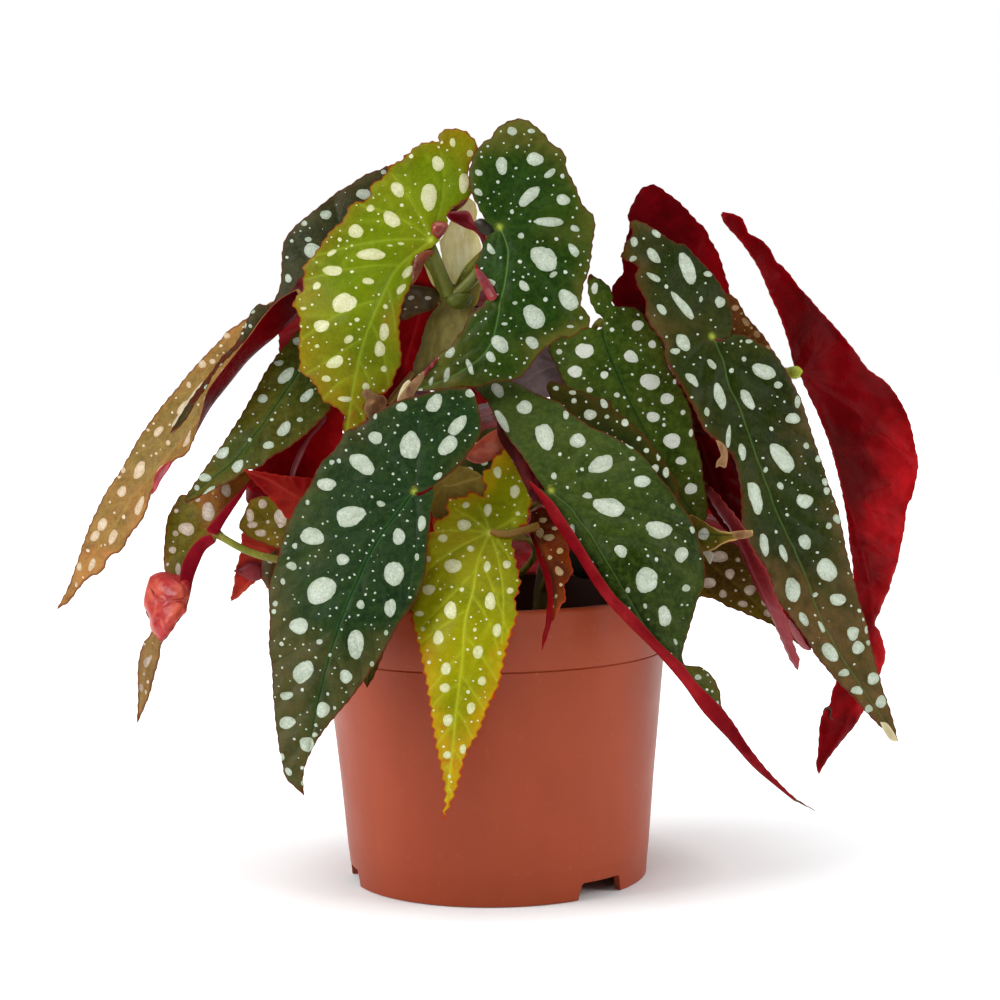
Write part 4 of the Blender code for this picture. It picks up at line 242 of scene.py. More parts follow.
def ring(out, step, pins, smooth):
    """Closed outline with even steps; the pin points stay exactly in place."""
    pts = [tuple(map(float, q)) for q in out]
    if pts[0] == pts[-1]:
        pts = pts[:-1]
    arr = np.array(pts)
    idx = sorted({int(np.argmin(((arr - np.array(q, float)) ** 2).sum(1))) for q in pins})
    if not idx:
        idx = [0]
    n = len(pts)
    ringpts, where = [], {}
    for k, i in enumerate(idx):
        j = idx[(k + 1) % len(idx)]
        if j <= i:
            j += n
        chain = [pts[m % n] for m in range(i, j + 1)]
        if smooth and len(chain) > 2:
            chain = curve_through(chain, per=6)
        seg = even(chain, step=step)
        where[pts[i]] = len(ringpts)
        ringpts.extend(seg[:-1].tolist())
    return np.array(ringpts), where, arr


def inside(poly, q):
    """Which of the points q lie in the closed polygon."""
    x, y = q[:, 0][:, None], q[:, 1][:, None]
    x1, y1 = poly[:, 0][None], poly[:, 1][None]
    x2, y2 = np.roll(poly[:, 0], -1)[None], np.roll(poly[:, 1], -1)[None]
    cross = ((y1 > y) != (y2 > y)) & (x < (x2 - x1) * (y - y1) / (y2 - y1 + 1e-12) + x1)
    return cross.sum(1) % 2 == 1


def edge_distance(line, q, closed=True):
    """Distance of each point q to a polyline."""
    a = line if closed else line[:-1]
    b = np.roll(line, -1, axis=0) if closed else line[1:]
    out = np.full(len(q), 1e9)
    for k in range(0, len(q), 4000):
        c = q[k:k + 4000, None]
        ab = (b - a)[None]
        t = np.clip(((c - a[None]) * ab).sum(-1) / ((ab ** 2).sum(-1) + 1e-12), 0, 1)
        out[k:k + 4000] = np.sqrt((((a[None] + ab * t[..., None]) - c) ** 2).sum(-1)).min(1)
    return out


def lattice(poly, step, clear):
    """Triangular lattice points inside the outline."""
    lo, hi = poly.min(0), poly.max(0)
    rows = []
    for r in range(int((hi[1] - lo[1]) / (step * 0.866)) + 2):
        y = lo[1] + r * step * 0.866
        x = np.arange(lo[0] + (r % 2) * step / 2, hi[0], step)
        rows.append(np.stack([x, np.full_like(x, y)], -1))
    q = np.vstack(rows)
    q = q[inside(poly, q)]
    if len(q):
        q = q[edge_distance(poly, q) > clear]
    return q


def thicken(verts, faces, thick):
    """Give a middle surface its thickness: upper sheet, lower sheet and rim."""
    v = np.array(verts, float)
    nrm = np.zeros_like(v)
    for f in faces:
        p = v[list(f)]
        c = np.cross(p[1] - p[0], p[2] - p[0])
        if len(f) == 4:
            c = c + np.cross(p[2] - p[0], p[3] - p[0])
        for i in f:
            nrm[i] += c
    nrm /= np.linalg.norm(nrm, axis=1)[:, None] + 1e-12
    t = np.asarray(thick, float)
    t = t[:, None] if t.ndim else t
    n = len(v)
    allv = np.vstack([v + nrm * t / 2, v - nrm * t / 2])
    edges = {}
    for f in faces:
        for i in range(len(f)):
            edges[(f[i], f[(i + 1) % len(f)])] = True
    rim = [(b, a, a + n, b + n) for (a, b) in edges if (b, a) not in edges]
    low = [tuple(i + n for i in reversed(f)) for f in faces]
    return allv, [tuple(f) for f in faces], low, rim, nrm


def fold_strip(verts2, verts3, faces, chain, fold, depth, rows):
    """Carry the blade round its fold line and back towards its free margin."""
    directed = {(f[i], f[(i + 1) % len(f)]) for f in faces for i in range(len(f))}
    c2 = verts2[chain]
    e2 = even(curve_through(fold["E"], per=6), count=len(chain) - 1)
    if np.linalg.norm(e2[0] - c2[0]) + np.linalg.norm(e2[-1] - c2[-1]) > np.linalg.norm(e2[-1] - c2[0]) + np.linalg.norm(e2[0] - c2[-1]):
        e2 = e2[::-1]
    base = depth(c2[:, 0], c2[:, 1])
    width = np.linalg.norm(e2 - c2, axis=1)
    full = np.clip(width / 8.0, 0, 1)
    prev = list(chain)
    v2, v3 = [*map(tuple, verts2)], [*map(tuple, verts3)]
    new, marks = [], []
    for r in range(1, rows + 1):
        u = r / rows
        h = fold.get("roll", 2.0) * math.sqrt(max(0.0, 1 - (1 - u) ** 2)) + fold.get("rise", 0.0) * u
        p2 = c2 * (1 - u) + e2 * u
        p3 = sight(p2[:, 0], p2[:, 1], base - h * full)
        cur = []
        for i in range(len(chain)):
            if width[i] < 0.8:
                cur.append(chain[i])
            else:
                v2.append(tuple(p2[i]))
                v3.append(tuple(p3[i]))
                cur.append(len(v3) - 1)
        for i in range(len(chain) - 1):
            a, b, c, d = prev[i], prev[i + 1], cur[i + 1], cur[i]
            f = (b, a, d, c) if (chain[i], chain[i + 1]) in directed else (a, b, c, d)
            g = []
            for k in f:
                if k not in g:
                    g.append(k)
            if len(g) > 2:
                new.append(tuple(g))
        prev = cur
    return np.array(v2), np.array(v3), new


def tube_rings(points, radii, sides):
    """Closed tube along a 3-D polyline: vertices and faces."""
    p = np.array(points, float)
    r = np.broadcast_to(np.asarray(radii, float), (len(p),))
    tan = np.gradient(p, axis=0)
    tan /= np.linalg.norm(tan, axis=1)[:, None]
    up = np.array([0.0, 0.0, 1.0]) if abs(tan[0][2]) < 0.9 else np.array([1.0, 0.0, 0.0])
    n = np.cross(tan[0], up)
    n /= np.linalg.norm(n)
    verts, faces = [], []
    for i in range(len(p)):
        n = n - tan[i] * (n @ tan[i])
        n /= np.linalg.norm(n)
        m = np.cross(tan[i], n)
        for k in range(sides):
            an = 2 * math.pi * k / sides
            verts.append(p[i] + r[i] * (math.cos(an) * n + math.sin(an) * m))
    for i in range(len(p) - 1):
        for k in range(sides):
            a, b = i * sides + k, i * sides + (k + 1) % sides
            faces.append((a, b, b + sides, a + sides))
    faces.append(tuple(range(sides))[::-1])
    faces.append(tuple((len(p) - 1) * sides + k for k in range(sides)))
    return np.array(verts), faces


def drape(st, spec):
    """Lay a flat leaf (s along the midrib, t across, mm) as an arching blade."""
    s, t = st[:, 0], st[:, 1]
    L, p0, bend = spec["length"], spec["pitch"], spec["bend"]
    k = bend / L
    sp = np.maximum(s, 0)
    ph = p0 - k * sp
    x = (math.sin(p0) - np.sin(ph)) / k + np.minimum(s, 0) * math.cos(p0)
    z = (np.cos(ph) - math.cos(p0)) / k + np.minimum(s, 0) * math.sin(p0)
    h = np.array([math.cos(spec["heading"]), math.sin(spec["heading"]), 0.0])
    side = np.array([-h[1], h[0], 0.0])
    upv = np.array([0.0, 0.0, 1.0])
    nor = -np.sin(ph)[:, None] * h + np.cos(ph)[:, None] * upv
    c, q = math.cos(spec.get("roll", 0.0)), math.sin(spec.get("roll", 0.0))
    sid = side[None] * c + nor * q
    nn = nor * c - side[None] * q
    cup = spec.get("cup", 0.25) * np.abs(t) + spec.get("wave", 0.0) * np.sin(s / 11.0 + np.sign(t)) * (np.abs(t) / 30.0) ** 2
    return np.array(spec["base"]) + h * x[:, None] + upv * z[:, None] + sid * (t * 0.97)[:, None] + nn * cup[:, None]


WING = [(-6, 3), (-14, 8), (-22, 16), (-26, 26), (-23, 36), (-14, 43), (0, 46), (15, 44), (30, 40), (46, 35),
        (62, 29), (78, 22), (94, 15), (108, 8), (120, 3), (132, 0), (120, -3), (106, -8), (90, -13), (74, -18), (58, -23),
        (42, -27), (26, -30), (12, -31), (0, -29), (-9, -24), (-13, -17), (-11, -9), (-5, -3), (0, 0)]
# Leaves round the back of the pot: an angel-wing blade laid out along its own
# midrib, arching out from its junction and hanging down.
BACK = {
    "leaf_back_left_high": dict(base=(-26, 46, 194), heading=2.15, pitch=0.1, bend=1.35, length=130, size=0.9, flip=1, roll=0.15, cup=0.22, wave=1.5),
    "leaf_back_centre_high": dict(base=(-3, 42, 204), heading=1.6, pitch=0.1, bend=1.45, length=130, size=0.92, flip=-1, roll=-0.1, cup=0.25, wave=1.5),
    "leaf_back_right_high": dict(base=(56, 44, 178), heading=0.95, pitch=0.0, bend=1.3, length=130, size=0.85, flip=1, roll=-0.1, cup=0.22, wave=1.5),
    "leaf_back_left_mid": dict(base=(-46, 36, 144), heading=2.02, pitch=-0.3, bend=1.2, length=130, size=0.8, flip=-1, roll=0.1, cup=0.25, wave=1.2),
    "leaf_back_centre_mid": dict(base=(-12, 54, 158), heading=1.8, pitch=-0.1, bend=1.35, length=130, size=0.92, flip=1, roll=0.1, cup=0.22, wave=1.5),
    "leaf_back_right_mid": dict(base=(40, 52, 146), heading=1.1, pitch=-0.15, bend=1.25, length=130, size=0.88, flip=-1, roll=0.0, cup=0.25, wave=1.5),
    "leaf_back_left_low": dict(base=(-38, 42, 118), heading=2.25, pitch=-0.4, bend=1.0, length=130, size=0.68, flip=1, roll=0.1, cup=0.25, wave=1.0),
    "leaf_back_centre_low": dict(base=(6, 60, 118), heading=1.6, pitch=-0.35, bend=1.15, length=130, size=0.74, flip=-1, roll=0.0, cup=0.25, wave=1.0),
    "leaf_back_right_low": dict(base=(56, 32, 120), heading=0.45, pitch=-0.35, bend=1.0, length=130, size=0.66, flip=1, roll=0.0, cup=0.25, wave=1.0),
}


def leaf_surface(name, step, grid, smooth, rows):
    """Middle surface of one leaf: 2-D layout points, 3-D points, faces."""
    if name in LEAVES:
        d = LEAVES[name]
        depth = sheet(d["lay"])
        folds = d.get("fold", [])
        pins = [d["rib"][-1], d["J"]] + [f["F"][0] for f in folds] + [f["F"][-1] for f in folds] + d.get("pins", [])
        poly, where, arr = ring(d["out"], step, pins, smooth)
        inner = lattice(poly, grid, grid * 0.45)
    else:
        d = BACK[name]
        sz = d["size"]
        folds = []
        poly, where, arr = ring([(s * sz, t * sz * d["flip"]) for s, t in WING], step / 2.94, [(132 * sz, 0), (0, 0)], smooth)
        inner = lattice(poly, grid / 2.94, grid / 2.94 * 0.45)
    pts = np.vstack([poly, inner]) if len(inner) else poly
    n = len(poly)
    flipy = -1.0 if name in LEAVES else 1.0
    vin = [Vector((p[0], p[1] * flipy)) for p in pts]
    res = delaunay_2d_cdt(vin, [(i, (i + 1) % n) for i in range(n)], [], 1, 1e-4)
    v2 = np.array([(p.x, p.y * flipy) for p in res[0]])
    back = {}
    for i, src in enumerate(res[3]):
        for k in src:
            back[k] = i
    faces = [tuple(f) for f in res[2]]
    cen = np.array([v2[list(f)].mean(0) for f in faces])
    keep = inside(poly, cen)
    faces = [f for f, k in zip(faces, keep) if k]
    if name in LEAVES:
        v3 = sight(v2[:, 0], v2[:, 1], depth(v2[:, 0], v2[:, 1]))
        for fo in folds:
            i0 = where[tuple(map(float, arr[int(np.argmin(((arr - np.array(fo["F"][0])) ** 2).sum(1)))]))]
            i1 = where[tuple(map(float, arr[int(np.argmin(((arr - np.array(fo["F"][-1])) ** 2).sum(1)))]))]
            up = [(i0 + k) % n for k in range((i1 - i0) % n + 1)]
            dn = [(i1 + k) % n for k in range((i0 - i1) % n + 1)]
            mid = np.array(fo["F"][len(fo["F"]) // 2], float)
            chain = up if edge_distance(poly[up], mid[None], False)[0] < edge_distance(poly[dn], mid[None], False)[0] else dn
            v2, v3, new = fold_strip(v2, v3, faces, [back[k] for k in chain], fo, depth, rows)
            faces = faces + new
        if d["side"] < 0:
            faces = [tuple(reversed(f)) for f in faces]
    else:
        v3 = drape(v2, d)
        # the flat layout seen from above has its upper face up
        p = v3[list(faces[0])]
        if np.cross(p[1] - p[0], p[2] - p[0])[2] < 0:
            faces = [tuple(reversed(f)) for f in faces]
    used = sorted({i for f in faces for i in f})
    remap = {o: i for i, o in enumerate(used)}
    faces = [tuple(remap[i] for i in f) for f in faces]
    return v2[used], v3[used], faces, poly

CANES = {
    "cane_centre": dict(path=[(-3, 4, 70), (-5, 7, 110), (-9, 7, 150), (-13, 5, 184), (-13, 4, 199)], r=(3.4, 2.4)),
    "cane_right": dict(path=[(13, 12, 70), (20, 16, 110), (30, 17, 145), (36, 17, 168)], r=(3.2, 2.3)),
    "cane_left": dict(path=[(-16, 12, 70), (-25, 16, 105), (-32, 16, 140), (-35, 15, 160)], r=(3.2, 2.3)),
}
# leaf: (cane, place along the cane 0..1, via points in mm)
STALKS = {
    "leaf_front_left": ("cane_left", 0.34, [(-27, -12, 124), (-27, -34, 132)]),
    "leaf_front_right": ("cane_centre", 0.30, [(8, -14, 124), (16, -36, 131)]),
    "leaf_upper_left": ("cane_centre", 0.93, [(-18, 2, 206), (-21, -1, 212)]),
    "leaf_top_centre": ("cane_centre", 0.95, [(-7, 1, 206), (1, -5, 214)]),
    "leaf_front_yellow": ("cane_centre", 0.20, [(9, -8, 104), (14, -24, 113), (11, -34, 118), (5, -38, 119)]),
    "leaf_right_large": ("cane_right", 0.97, [(50, 12, 173), (64, 7, 179)]),
    "leaf_mid_right": ("cane_right", 0.93, [(36, 14, 180), (36, 10, 186)]),
    "leaf_mid_right_lower": ("cane_right", 0.45, [(30, 0, 134), (33, -14, 138)]),
    "leaf_far_right": ("cane_right", 0.85, [(50, 22, 160), (76, 22, 166), (96, 18, 170)]),
    "leaf_right_back": ("cane_right", 0.99, [(44, 24, 178), (58, 27, 186)]),
    "leaf_right_shoulder": ("cane_right", 0.92, [(54, 14, 166), (72, 11, 172)]),
    "leaf_upper_left_far": ("cane_left", 0.99, [(-40, 14, 176), (-48, 9, 190)]),
    "leaf_left_tan": ("cane_left", 0.92, [(-44, 20, 168), (-58, 20, 184)]),
    "leaf_left_mid": ("cane_left", 0.82, [(-42, 14, 158), (-52, 8, 172)]),
    "leaf_left_small": ("cane_left", 0.22, [(-40, -10, 104), (-62, -21, 109.5), (-80, -20, 113.5)]),
    "leaf_left_red": ("cane_left", 0.72, [(-42, 14, 150), (-54, 9, 158)]),
    "leaf_left_curled": ("cane_left", 0.40, [(-40, 4, 114), (-56, -10, 120)]),
    "leaf_left_flap": ("cane_left", 0.52, [(-44, 2, 124), (-56, -14, 130)]),
    "leaf_low_left": ("cane_left", 0.30, [(-38, 8, 106), (-56, -2, 110)]),
    "leaf_inner_red": ("cane_centre", 0.88, [(-17, 8, 194)]),
    "leaf_centre_small": ("cane_right", 0.25, [(19, -8, 108), (18, -24, 118)]),
    "leaf_right_folded": ("cane_right", 0.62, [(46, 6, 133), (63, -5, 132)]),
    "leaf_right_dark": ("cane_right", 0.80, [(48, 12, 152), (59, 6, 150)]),
    "leaf_right_curl": ("cane_right", 0.36, [(36, 2, 115), (52, -14, 117)]),
    "leaf_right_brown": ("cane_right", 0.28, [(36, 6, 107), (54, -5, 111)]),
    "leaf_centre_dark": ("cane_centre", 0.52, [(-5, -6, 143)]),
    "leaf_centre_olive": ("cane_centre", 0.42, [(-14, -8, 130)]),
    "leaf_purple": ("cane_right", 0.97, [(30, 19, 171)]),
    "leaf_behind_front_left": ("cane_left", 0.24, [(-28, -8, 104), (-36, -28, 110)]),
    "leaf_back_left_high": ("cane_left", 0.95, [(-33, 26, 172), (-28, 38, 188)]),
    "leaf_back_centre_high": ("cane_centre", 0.90, [(-7, 16, 198), (1, 30, 203)]),
    "leaf_back_right_high": ("cane_right", 0.95, [(44, 26, 170), (52, 36, 176)]),
    "leaf_back_left_mid": ("cane_left", 0.70, [(-38, 26, 144)]),
    "leaf_back_centre_mid": ("cane_centre", 0.50, [(-9, 24, 146), (-11, 42, 156)]),
    "leaf_back_right_mid": ("cane_right", 0.60, [(32, 30, 140), (36, 44, 145)]),
    "leaf_back_left_low": ("cane_left", 0.30, [(-30, 30, 112)]),
    "leaf_back_centre_low": ("cane_centre", 0.25, [(0, 26, 112), (5, 46, 118)]),
    "leaf_back_right_low": ("cane_right", 0.32, [(32, 24, 114), (46, 29, 120)]),
}
LEAF_T = 0.9            # modelled blade thickness, mm
STALK_R = 1.5           # stalk radius, mm
MM = 0.001

# ---------------------------------------------------------------- pot and soil
POT_H = 97.3
RIM_R = 60.0
SEAM_Z = 77.7
BODY_R_TOP = 57.9
BODY_R_BOTTOM = 50.6
WALL = 1.6
FLOOR_Z = 6.5
NOTCH_W = 20.0
NOTCH_H = 5.6
NOTCH_ANGLES = (-48.5, -168.5, 71.5)
SOIL_Z = 82.0
ORIGIN = (-0.5, -26.2)

def stalk_end(name):
    """Where a stalk stops, just behind the junction of its blade."""
    if name in LEAVES:
        d = LEAVES[name]
        if "tie" in d:
            return sight(*d["tie"])
        depth = sheet(d["lay"])
        j = np.array(d["J"], float)
        m = np.array(d["rib"][min(3, len(d["rib"]) - 1)], float)
        pj = sight(j[0], j[1], depth(j[0], j[1]))
        pm = sight(m[0], m[1], depth(m[0], m[1]))
        away = (pj - pm) / np.linalg.norm(pj - pm)
        under = np.array([0.0, 1.0, 0.0])
        return pj + away * 1.0 + under * 2.2
    d = BACK[name]
    h = np.array([math.cos(d["heading"]), math.sin(d["heading"]), 0.0])
    return np.array(d["base"]) - h * 2.4 + np.array([0, 0, -1.6])

# ---------------------------------------------------------------- spots
# Spots of each blade on the layout board: (a, b, half width, half height, tilt).
# With a tilt (degrees, counter-clockwise) the longer half size lies along it.
SPOTS = {
    "leaf_front_left": [
        (410.5, 446, 9.8, 14.2, 0), (457.5, 426.5, 12.4, 6, 52), (448, 446.5, 12, 7, 48), (434.5, 404, 9.8, 7, 50), (376, 438, 6.9, 6.3, 0),
        (363, 465, 13, 8.5, -35), (327, 485, 9.8, 6.8, -15), (402, 407.5, 5.4, 4.7, 0), (470, 394, 4.5, 4.5, 0), (438, 477, 5.3, 2.7, 30),
        (351, 517, 15, 10, 10), (381, 504, 4.3, 2.8, 0), (312.5, 537, 11.5, 8.7, 0), (322, 591, 16, 11, 42), (394, 574, 9.5, 12.5, 0),
        (399, 537, 6, 8.6, 0), (422, 524, 3.8, 8, 0), (390, 608, 6, 9, 0), (356, 644, 8.4, 14, 0), (300, 626, 9.7, 8.2, 0),
        (303.6, 672, 8.5, 12.5, 60), (346, 676.5, 6.7, 6.7, 0), (343, 560, 6.2, 5.3, 0), (360.5, 605, 3.8, 4.6, 0), (287, 696, 6.6, 4.4, 0),
        (323, 710, 6.5, 8.3, 0), (288, 723, 8, 6.3, 0), (307, 744, 7.5, 7, 0), (293, 567, 4.7, 4, 0), (376, 417, 2.2, 3, 0),
        (333, 463.5, 2.8, 2.8, 0), (340, 462, 2.4, 2.4, 0), (320, 642, 3.4, 2.8, 0), (417, 557, 2.4, 4, 0), (386, 633, 2.2, 2.8, 0),
        (295, 546, 3, 3, 0), (315, 735, 3, 2.5, 0), (289, 772, 3, 5, -45), (303, 783, 2, 3, 0), (302, 768, 2, 2, 0), (282, 757, 2.5, 4, 0),
        (316, 725, 2, 2, 0), (335, 708, 2, 2, 0), (328, 694, 2, 2, 0), (303, 690, 2, 2, 0), (282, 644, 2.3, 2.3, 0), (276, 604, 3, 3, 0),
        (275, 612, 2.5, 2.5, 0), (284, 582, 2.4, 3, 0), (372, 664, 2.2, 3, 0), (330, 655, 2, 2, 0), (309, 504, 2.2, 3, 0)],
    "leaf_front_right": [
        (525, 408.5, 7.8, 6.6, 0), (545, 437, 9, 13, -65), (498.6, 392, 5.3, 8, -60), (502.7, 422, 4, 12.5, -60), (577.5, 441, 7.7, 6.8, 0),
        (601, 465, 13, 8, 20), (609, 507, 15.5, 9.3, -15), (587.5, 496, 5, 3.2, 0), (554, 476, 2.8, 3.4, 0), (566, 416, 3, 4.5, 0),
        (641, 483, 7.8, 7, 0), (632, 459, 3.2, 2.8, 0), (658, 530, 12.8, 9, 0), (646, 580, 10.8, 12.8, 0), (681, 555, 6.6, 7.6, 0),
        (621, 552, 7, 5, -40), (664, 616, 6.8, 10, 0), (685, 588, 3.6, 3.6, 0), (572, 530, 3.5, 6, 0), (675, 642, 2, 3.6, 0),
        (672, 507, 2.8, 2.8, 0), (629.5, 445.5, 5.5, 3, -40), (697.5, 677.5, 3.5, 2.5, 0), (703, 670, 1, 1, 0), (707, 675.5, 1.2, 1.2, 0),
        (711, 692, 1.3, 1.3, 0), (717, 703, 1.5, 2.5, 0), (692, 530, 3, 4, 0), (655, 560, 2.2, 2.2, 0), (628, 590, 2.4, 3, 0),
        (645, 606, 2.2, 2.6, 0), (582, 470, 2.2, 1.8, 0), (560, 455, 2, 1.8, 0)],
    "leaf_upper_left": [
        (438, 164, 5.8, 7.6, 0), (429, 197.5, 8, 13, 0), (397.6, 190, 6, 8.3, -55), (391.7, 219.5, 10.5, 6.5, -45), (356, 232, 7.7, 6.2, 0),
        (370.5, 208.5, 4, 4, 0), (371, 255, 13.6, 6, 0), (333, 271, 10.3, 5, 0), (331.6, 253, 5.3, 3.1, 35), (317, 286, 4.8, 4, 0),
        (368, 282, 6, 3.4, 0), (344.5, 303.6, 12.5, 8.5, 20), (407.6, 272, 7.5, 4, 45), (401, 289, 6.5, 3.2, 45), (464, 184, 5, 10, 0),
        (470, 153.5, 3.4, 3.4, 0), (453, 143, 2.8, 4.6, 0), (412, 157.5, 2.4, 2.4, 0), (385, 307, 2.5, 2.5, 0), (305, 309, 3.3, 1.7, 0),
        (322, 326, 7.6, 6.2, 0), (349, 339, 5.2, 3.6, 35), (335.5, 362, 9, 5.8, 30), (384, 332, 5, 8.5, 0), (379.5, 349, 5.8, 7.5, 0),
        (383.6, 369, 3.3, 3.3, 0), (327, 378.5, 4.4, 3.2, 0), (345, 399, 6.6, 2.9, 0), (366, 386.5, 3.7, 4, 0), (401, 244, 3.3, 1.8, 0),
        (390, 246, 3, 1.2, 0), (340, 240, 2.2, 2.2, 0), (352, 272, 2.2, 1.8, 0), (357, 320, 2.4, 2, 0), (318, 346, 2.4, 2, 0), (402, 206, 2, 2, 0)],
    "leaf_top_centre": [
        (501.7, 167, 5.8, 8.7, 0), (535, 160, 8.3, 6.6, 0), (512, 132, 5, 4.4, 0), (531, 132, 3.8, 2.6, 0), (529, 197, 12.5, 5.8, 45),
        (549.6, 174.5, 6.5, 3.2, 35), (562, 177, 2.3, 2.3, 0), (563, 200.5, 6.7, 5.5, 0), (549, 222, 15, 4.2, 0), (575, 228.5, 4.8, 3.2, -30),
        (521, 236, 3.5, 2.8, 0), (544, 259, 14.7, 11, -35), (573, 251, 7.5, 4, -50), (553, 275, 4.3, 2.4, 30), (565, 272.5, 2.3, 2.3, 0),
        (524, 287, 6.3, 3.8, -45), (568, 300, 11.5, 8.3, -50), (534, 317, 12.5, 9.5, -45), (515, 303, 2.9, 1.8, 0), (505, 324, 3.4, 1.6, 0),
        (490.6, 249, 6.5, 3, -55), (479, 174, 4, 2.9, -35), (479, 193, 4.8, 3, -45), (498, 183, 1.8, 1.8, 0), (581, 318, 1.9, 1.9, 0),
        (570, 327, 3.7, 1.7, 0), (490, 283, 6, 3.5, 0), (500, 344, 10.5, 6.8, -50), (491, 357, 5.9, 4.3, -50), (532, 342.5, 7, 5.6, -40),
        (470, 367, 8, 2.8, -70), (447, 375, 7.3, 2.9, 75), (451, 353, 6.5, 3.5, 50), (431, 381, 5, 2, 70), (420.5, 390, 2.4, 2, 0),
        (517, 148, 2, 2, 0), (556, 240, 2.2, 2, 0), (520, 262, 2.2, 2.4, 0), (545, 300, 2.4, 2.4, 0), (512, 212, 2, 2.4, 0)],
    "leaf_front_yellow": [
        (515, 460, 3.3, 3.3, 0), (498, 473, 4, 6, 0), (515, 492, 5, 6.6, 0), (466, 505, 4, 3, 0), (488, 510, 4, 6.5, 0), (464, 525, 7.2, 5, 0),
        (443, 539.5, 5, 4.2, 0), (470.5, 549.5, 3.5, 3.5, 0), (453, 567, 8.7, 7, 0), (487, 567, 3.5, 5, 0), (507, 565, 4.5, 4, 0),
        (430, 591, 7, 5, 0), (462, 590, 2.6, 2.6, 0), (490, 602, 5.5, 8.3, 0), (451, 610.5, 6.3, 8.3, 0), (510, 591, 3.5, 3, 0),
        (497, 630, 4.5, 6.6, 0), (420, 614, 5, 2.6, 0), (439, 638, 5.5, 7, 0), (428.5, 560, 3, 3, 0), (518, 514, 2.5, 2.5, 0),
        (478, 652, 5.3, 6.6, 0), (446, 669, 5, 6.4, 0), (482, 681, 4.2, 4.2, 0), (445, 688, 4.8, 4.8, 0), (471, 708, 4, 6, 0),
        (448, 720, 4.6, 6.2, 0), (463, 749, 3.3, 5, 0), (447, 755, 4, 4, 0), (499.5, 653, 2.4, 2.4, 0), (423, 629, 2.5, 2.5, 0),
        (475, 630, 2, 2, 0), (430, 663, 2, 2, 0), (468, 692, 2, 2, 0), (449, 777, 2, 2, 0)],
    "leaf_right_large": [
        (686, 270, 17, 6.8, -65), (653, 256.5, 9.5, 4.2, -50), (653, 278, 8, 3, -40), (682, 307, 17, 4.5, -50), (656, 234, 5.5, 3.3, -35),
        (707, 275, 4.4, 3.3, 0), (720, 302, 5.2, 5.7, 0), (661, 310, 6.5, 3.4, -50), (683, 343, 9.5, 5.6, -50), (675.5, 351, 5, 3.4, 0),
        (711, 365, 6.5, 2.6, -60), (691, 381, 8.3, 4.2, -50), (763, 372, 12.5, 6.3, -25), (748, 343, 3.6, 2, 0), (743, 360, 2.6, 2.6, 0),
        (731, 371, 2.5, 2.5, 0), (778, 385, 4.2, 3.6, 0), (633, 243, 4, 5, 0), (632, 260, 3.5, 2.5, 0), (719, 396, 5, 14, -80),
        (747, 400, 11, 5, -55), (728, 437, 2.5, 11, 0), (706, 413, 3, 5, 0), (781, 458, 16, 9.5, -60), (754, 498, 17.5, 6.5, -72),
        (741, 453, 8, 3.7, -80), (804, 501, 8.7, 7.5, 0), (804.5, 542, 8, 5.6, -60), (763, 546, 11.3, 4.5, -80), (782, 554, 9, 3.6, -75),
        (826, 570, 12.3, 9.3, -60), (792.5, 590, 13, 6.4, -75), (837, 600, 8.5, 6, 0), (803, 619, 7.7, 3.7, -70), (821, 627, 6.2, 3, -60),
        (830, 653, 10.5, 6.5, -60), (844, 673, 4.8, 3.7, 0), (779.5, 486, 3.7, 3.7, 0), (828, 526, 3.2, 3.2, 0), (806, 446, 3.4, 3.4, 0),
        (852, 634, 6, 7, 0), (857, 648, 5.5, 6.5, 0), (872, 679, 5.7, 5.7, 0), (856, 691, 6, 4.6, 0), (880, 702, 5, 6, 0), (868, 709, 3.6, 4, 0),
        (792, 419, 7, 5.5, 0), (797, 402, 3, 6, 0), (818, 459, 3.5, 3.5, 0), (825, 482, 3, 4, 0), (826, 491, 3.8, 3.8, 0), (837, 519, 3.5, 5, -60),
        (787, 515, 2, 2, 0), (775, 532, 2, 2, 0), (859, 611, 2.3, 2.3, 0), (862, 620, 2, 2, 0), (866, 630, 2.5, 4, 0), (868, 643, 2.2, 3, 0),
        (770, 430, 2.4, 2.4, 0), (765, 470, 2, 3, 0), (815, 595, 2, 2.6, 0), (700, 300, 2, 3, 0), (665, 288, 2, 2.4, 0)],
    "leaf_mid_right": [
        (585, 351, 8.6, 7.8, 0), (576, 372, 7.3, 5.7, 0), (604.5, 375, 4, 4, 0), (631, 357, 7.3, 6, -30), (637.5, 326, 6.3, 5, 25),
        (650, 382, 9.9, 8, 0), (652, 345, 4, 4, 0), (667, 399, 6.5, 5.6, 0), (653, 417, 6.7, 5, 0), (672, 441, 8.2, 7.8, 0), (681, 461, 5.2, 4.4, 0),
        (691, 489, 6.3, 5.8, 0), (683, 412.5, 2.6, 2.6, 0), (674.6, 382, 1.8, 3, 0), (691, 433, 2.2, 4, 0), (595, 289, 3.2, 6, 0),
        (612, 330, 2.4, 2.4, 0), (617, 395, 3, 2.6, 0), (560, 352, 3, 3, 0), (640, 400, 2.2, 2.2, 0), (664, 425, 2, 2, 0), (590, 390, 3, 3, 0)],
    "leaf_mid_right_lower": [
        (590, 415, 6.6, 5, 0), (574, 401.5, 2.9, 2.9, 0), (607, 417, 2.5, 2.5, 0), (572.6, 393, 3.6, 2.5, 0), (625, 423, 3.9, 3.9, 0),
        (639, 439, 2.6, 2.6, 0), (646.5, 451, 2.7, 2.7, 0), (655, 468.5, 4.2, 4.2, 0), (604, 404, 3.5, 5, -60), (658.5, 457, 2.2, 4, 0),
        (666, 473, 3, 5.6, 0), (556, 389, 3, 2.4, 0), (640, 500, 5, 4, 0), (660, 500, 3, 4, 0)],
    "leaf_upper_left_far": [
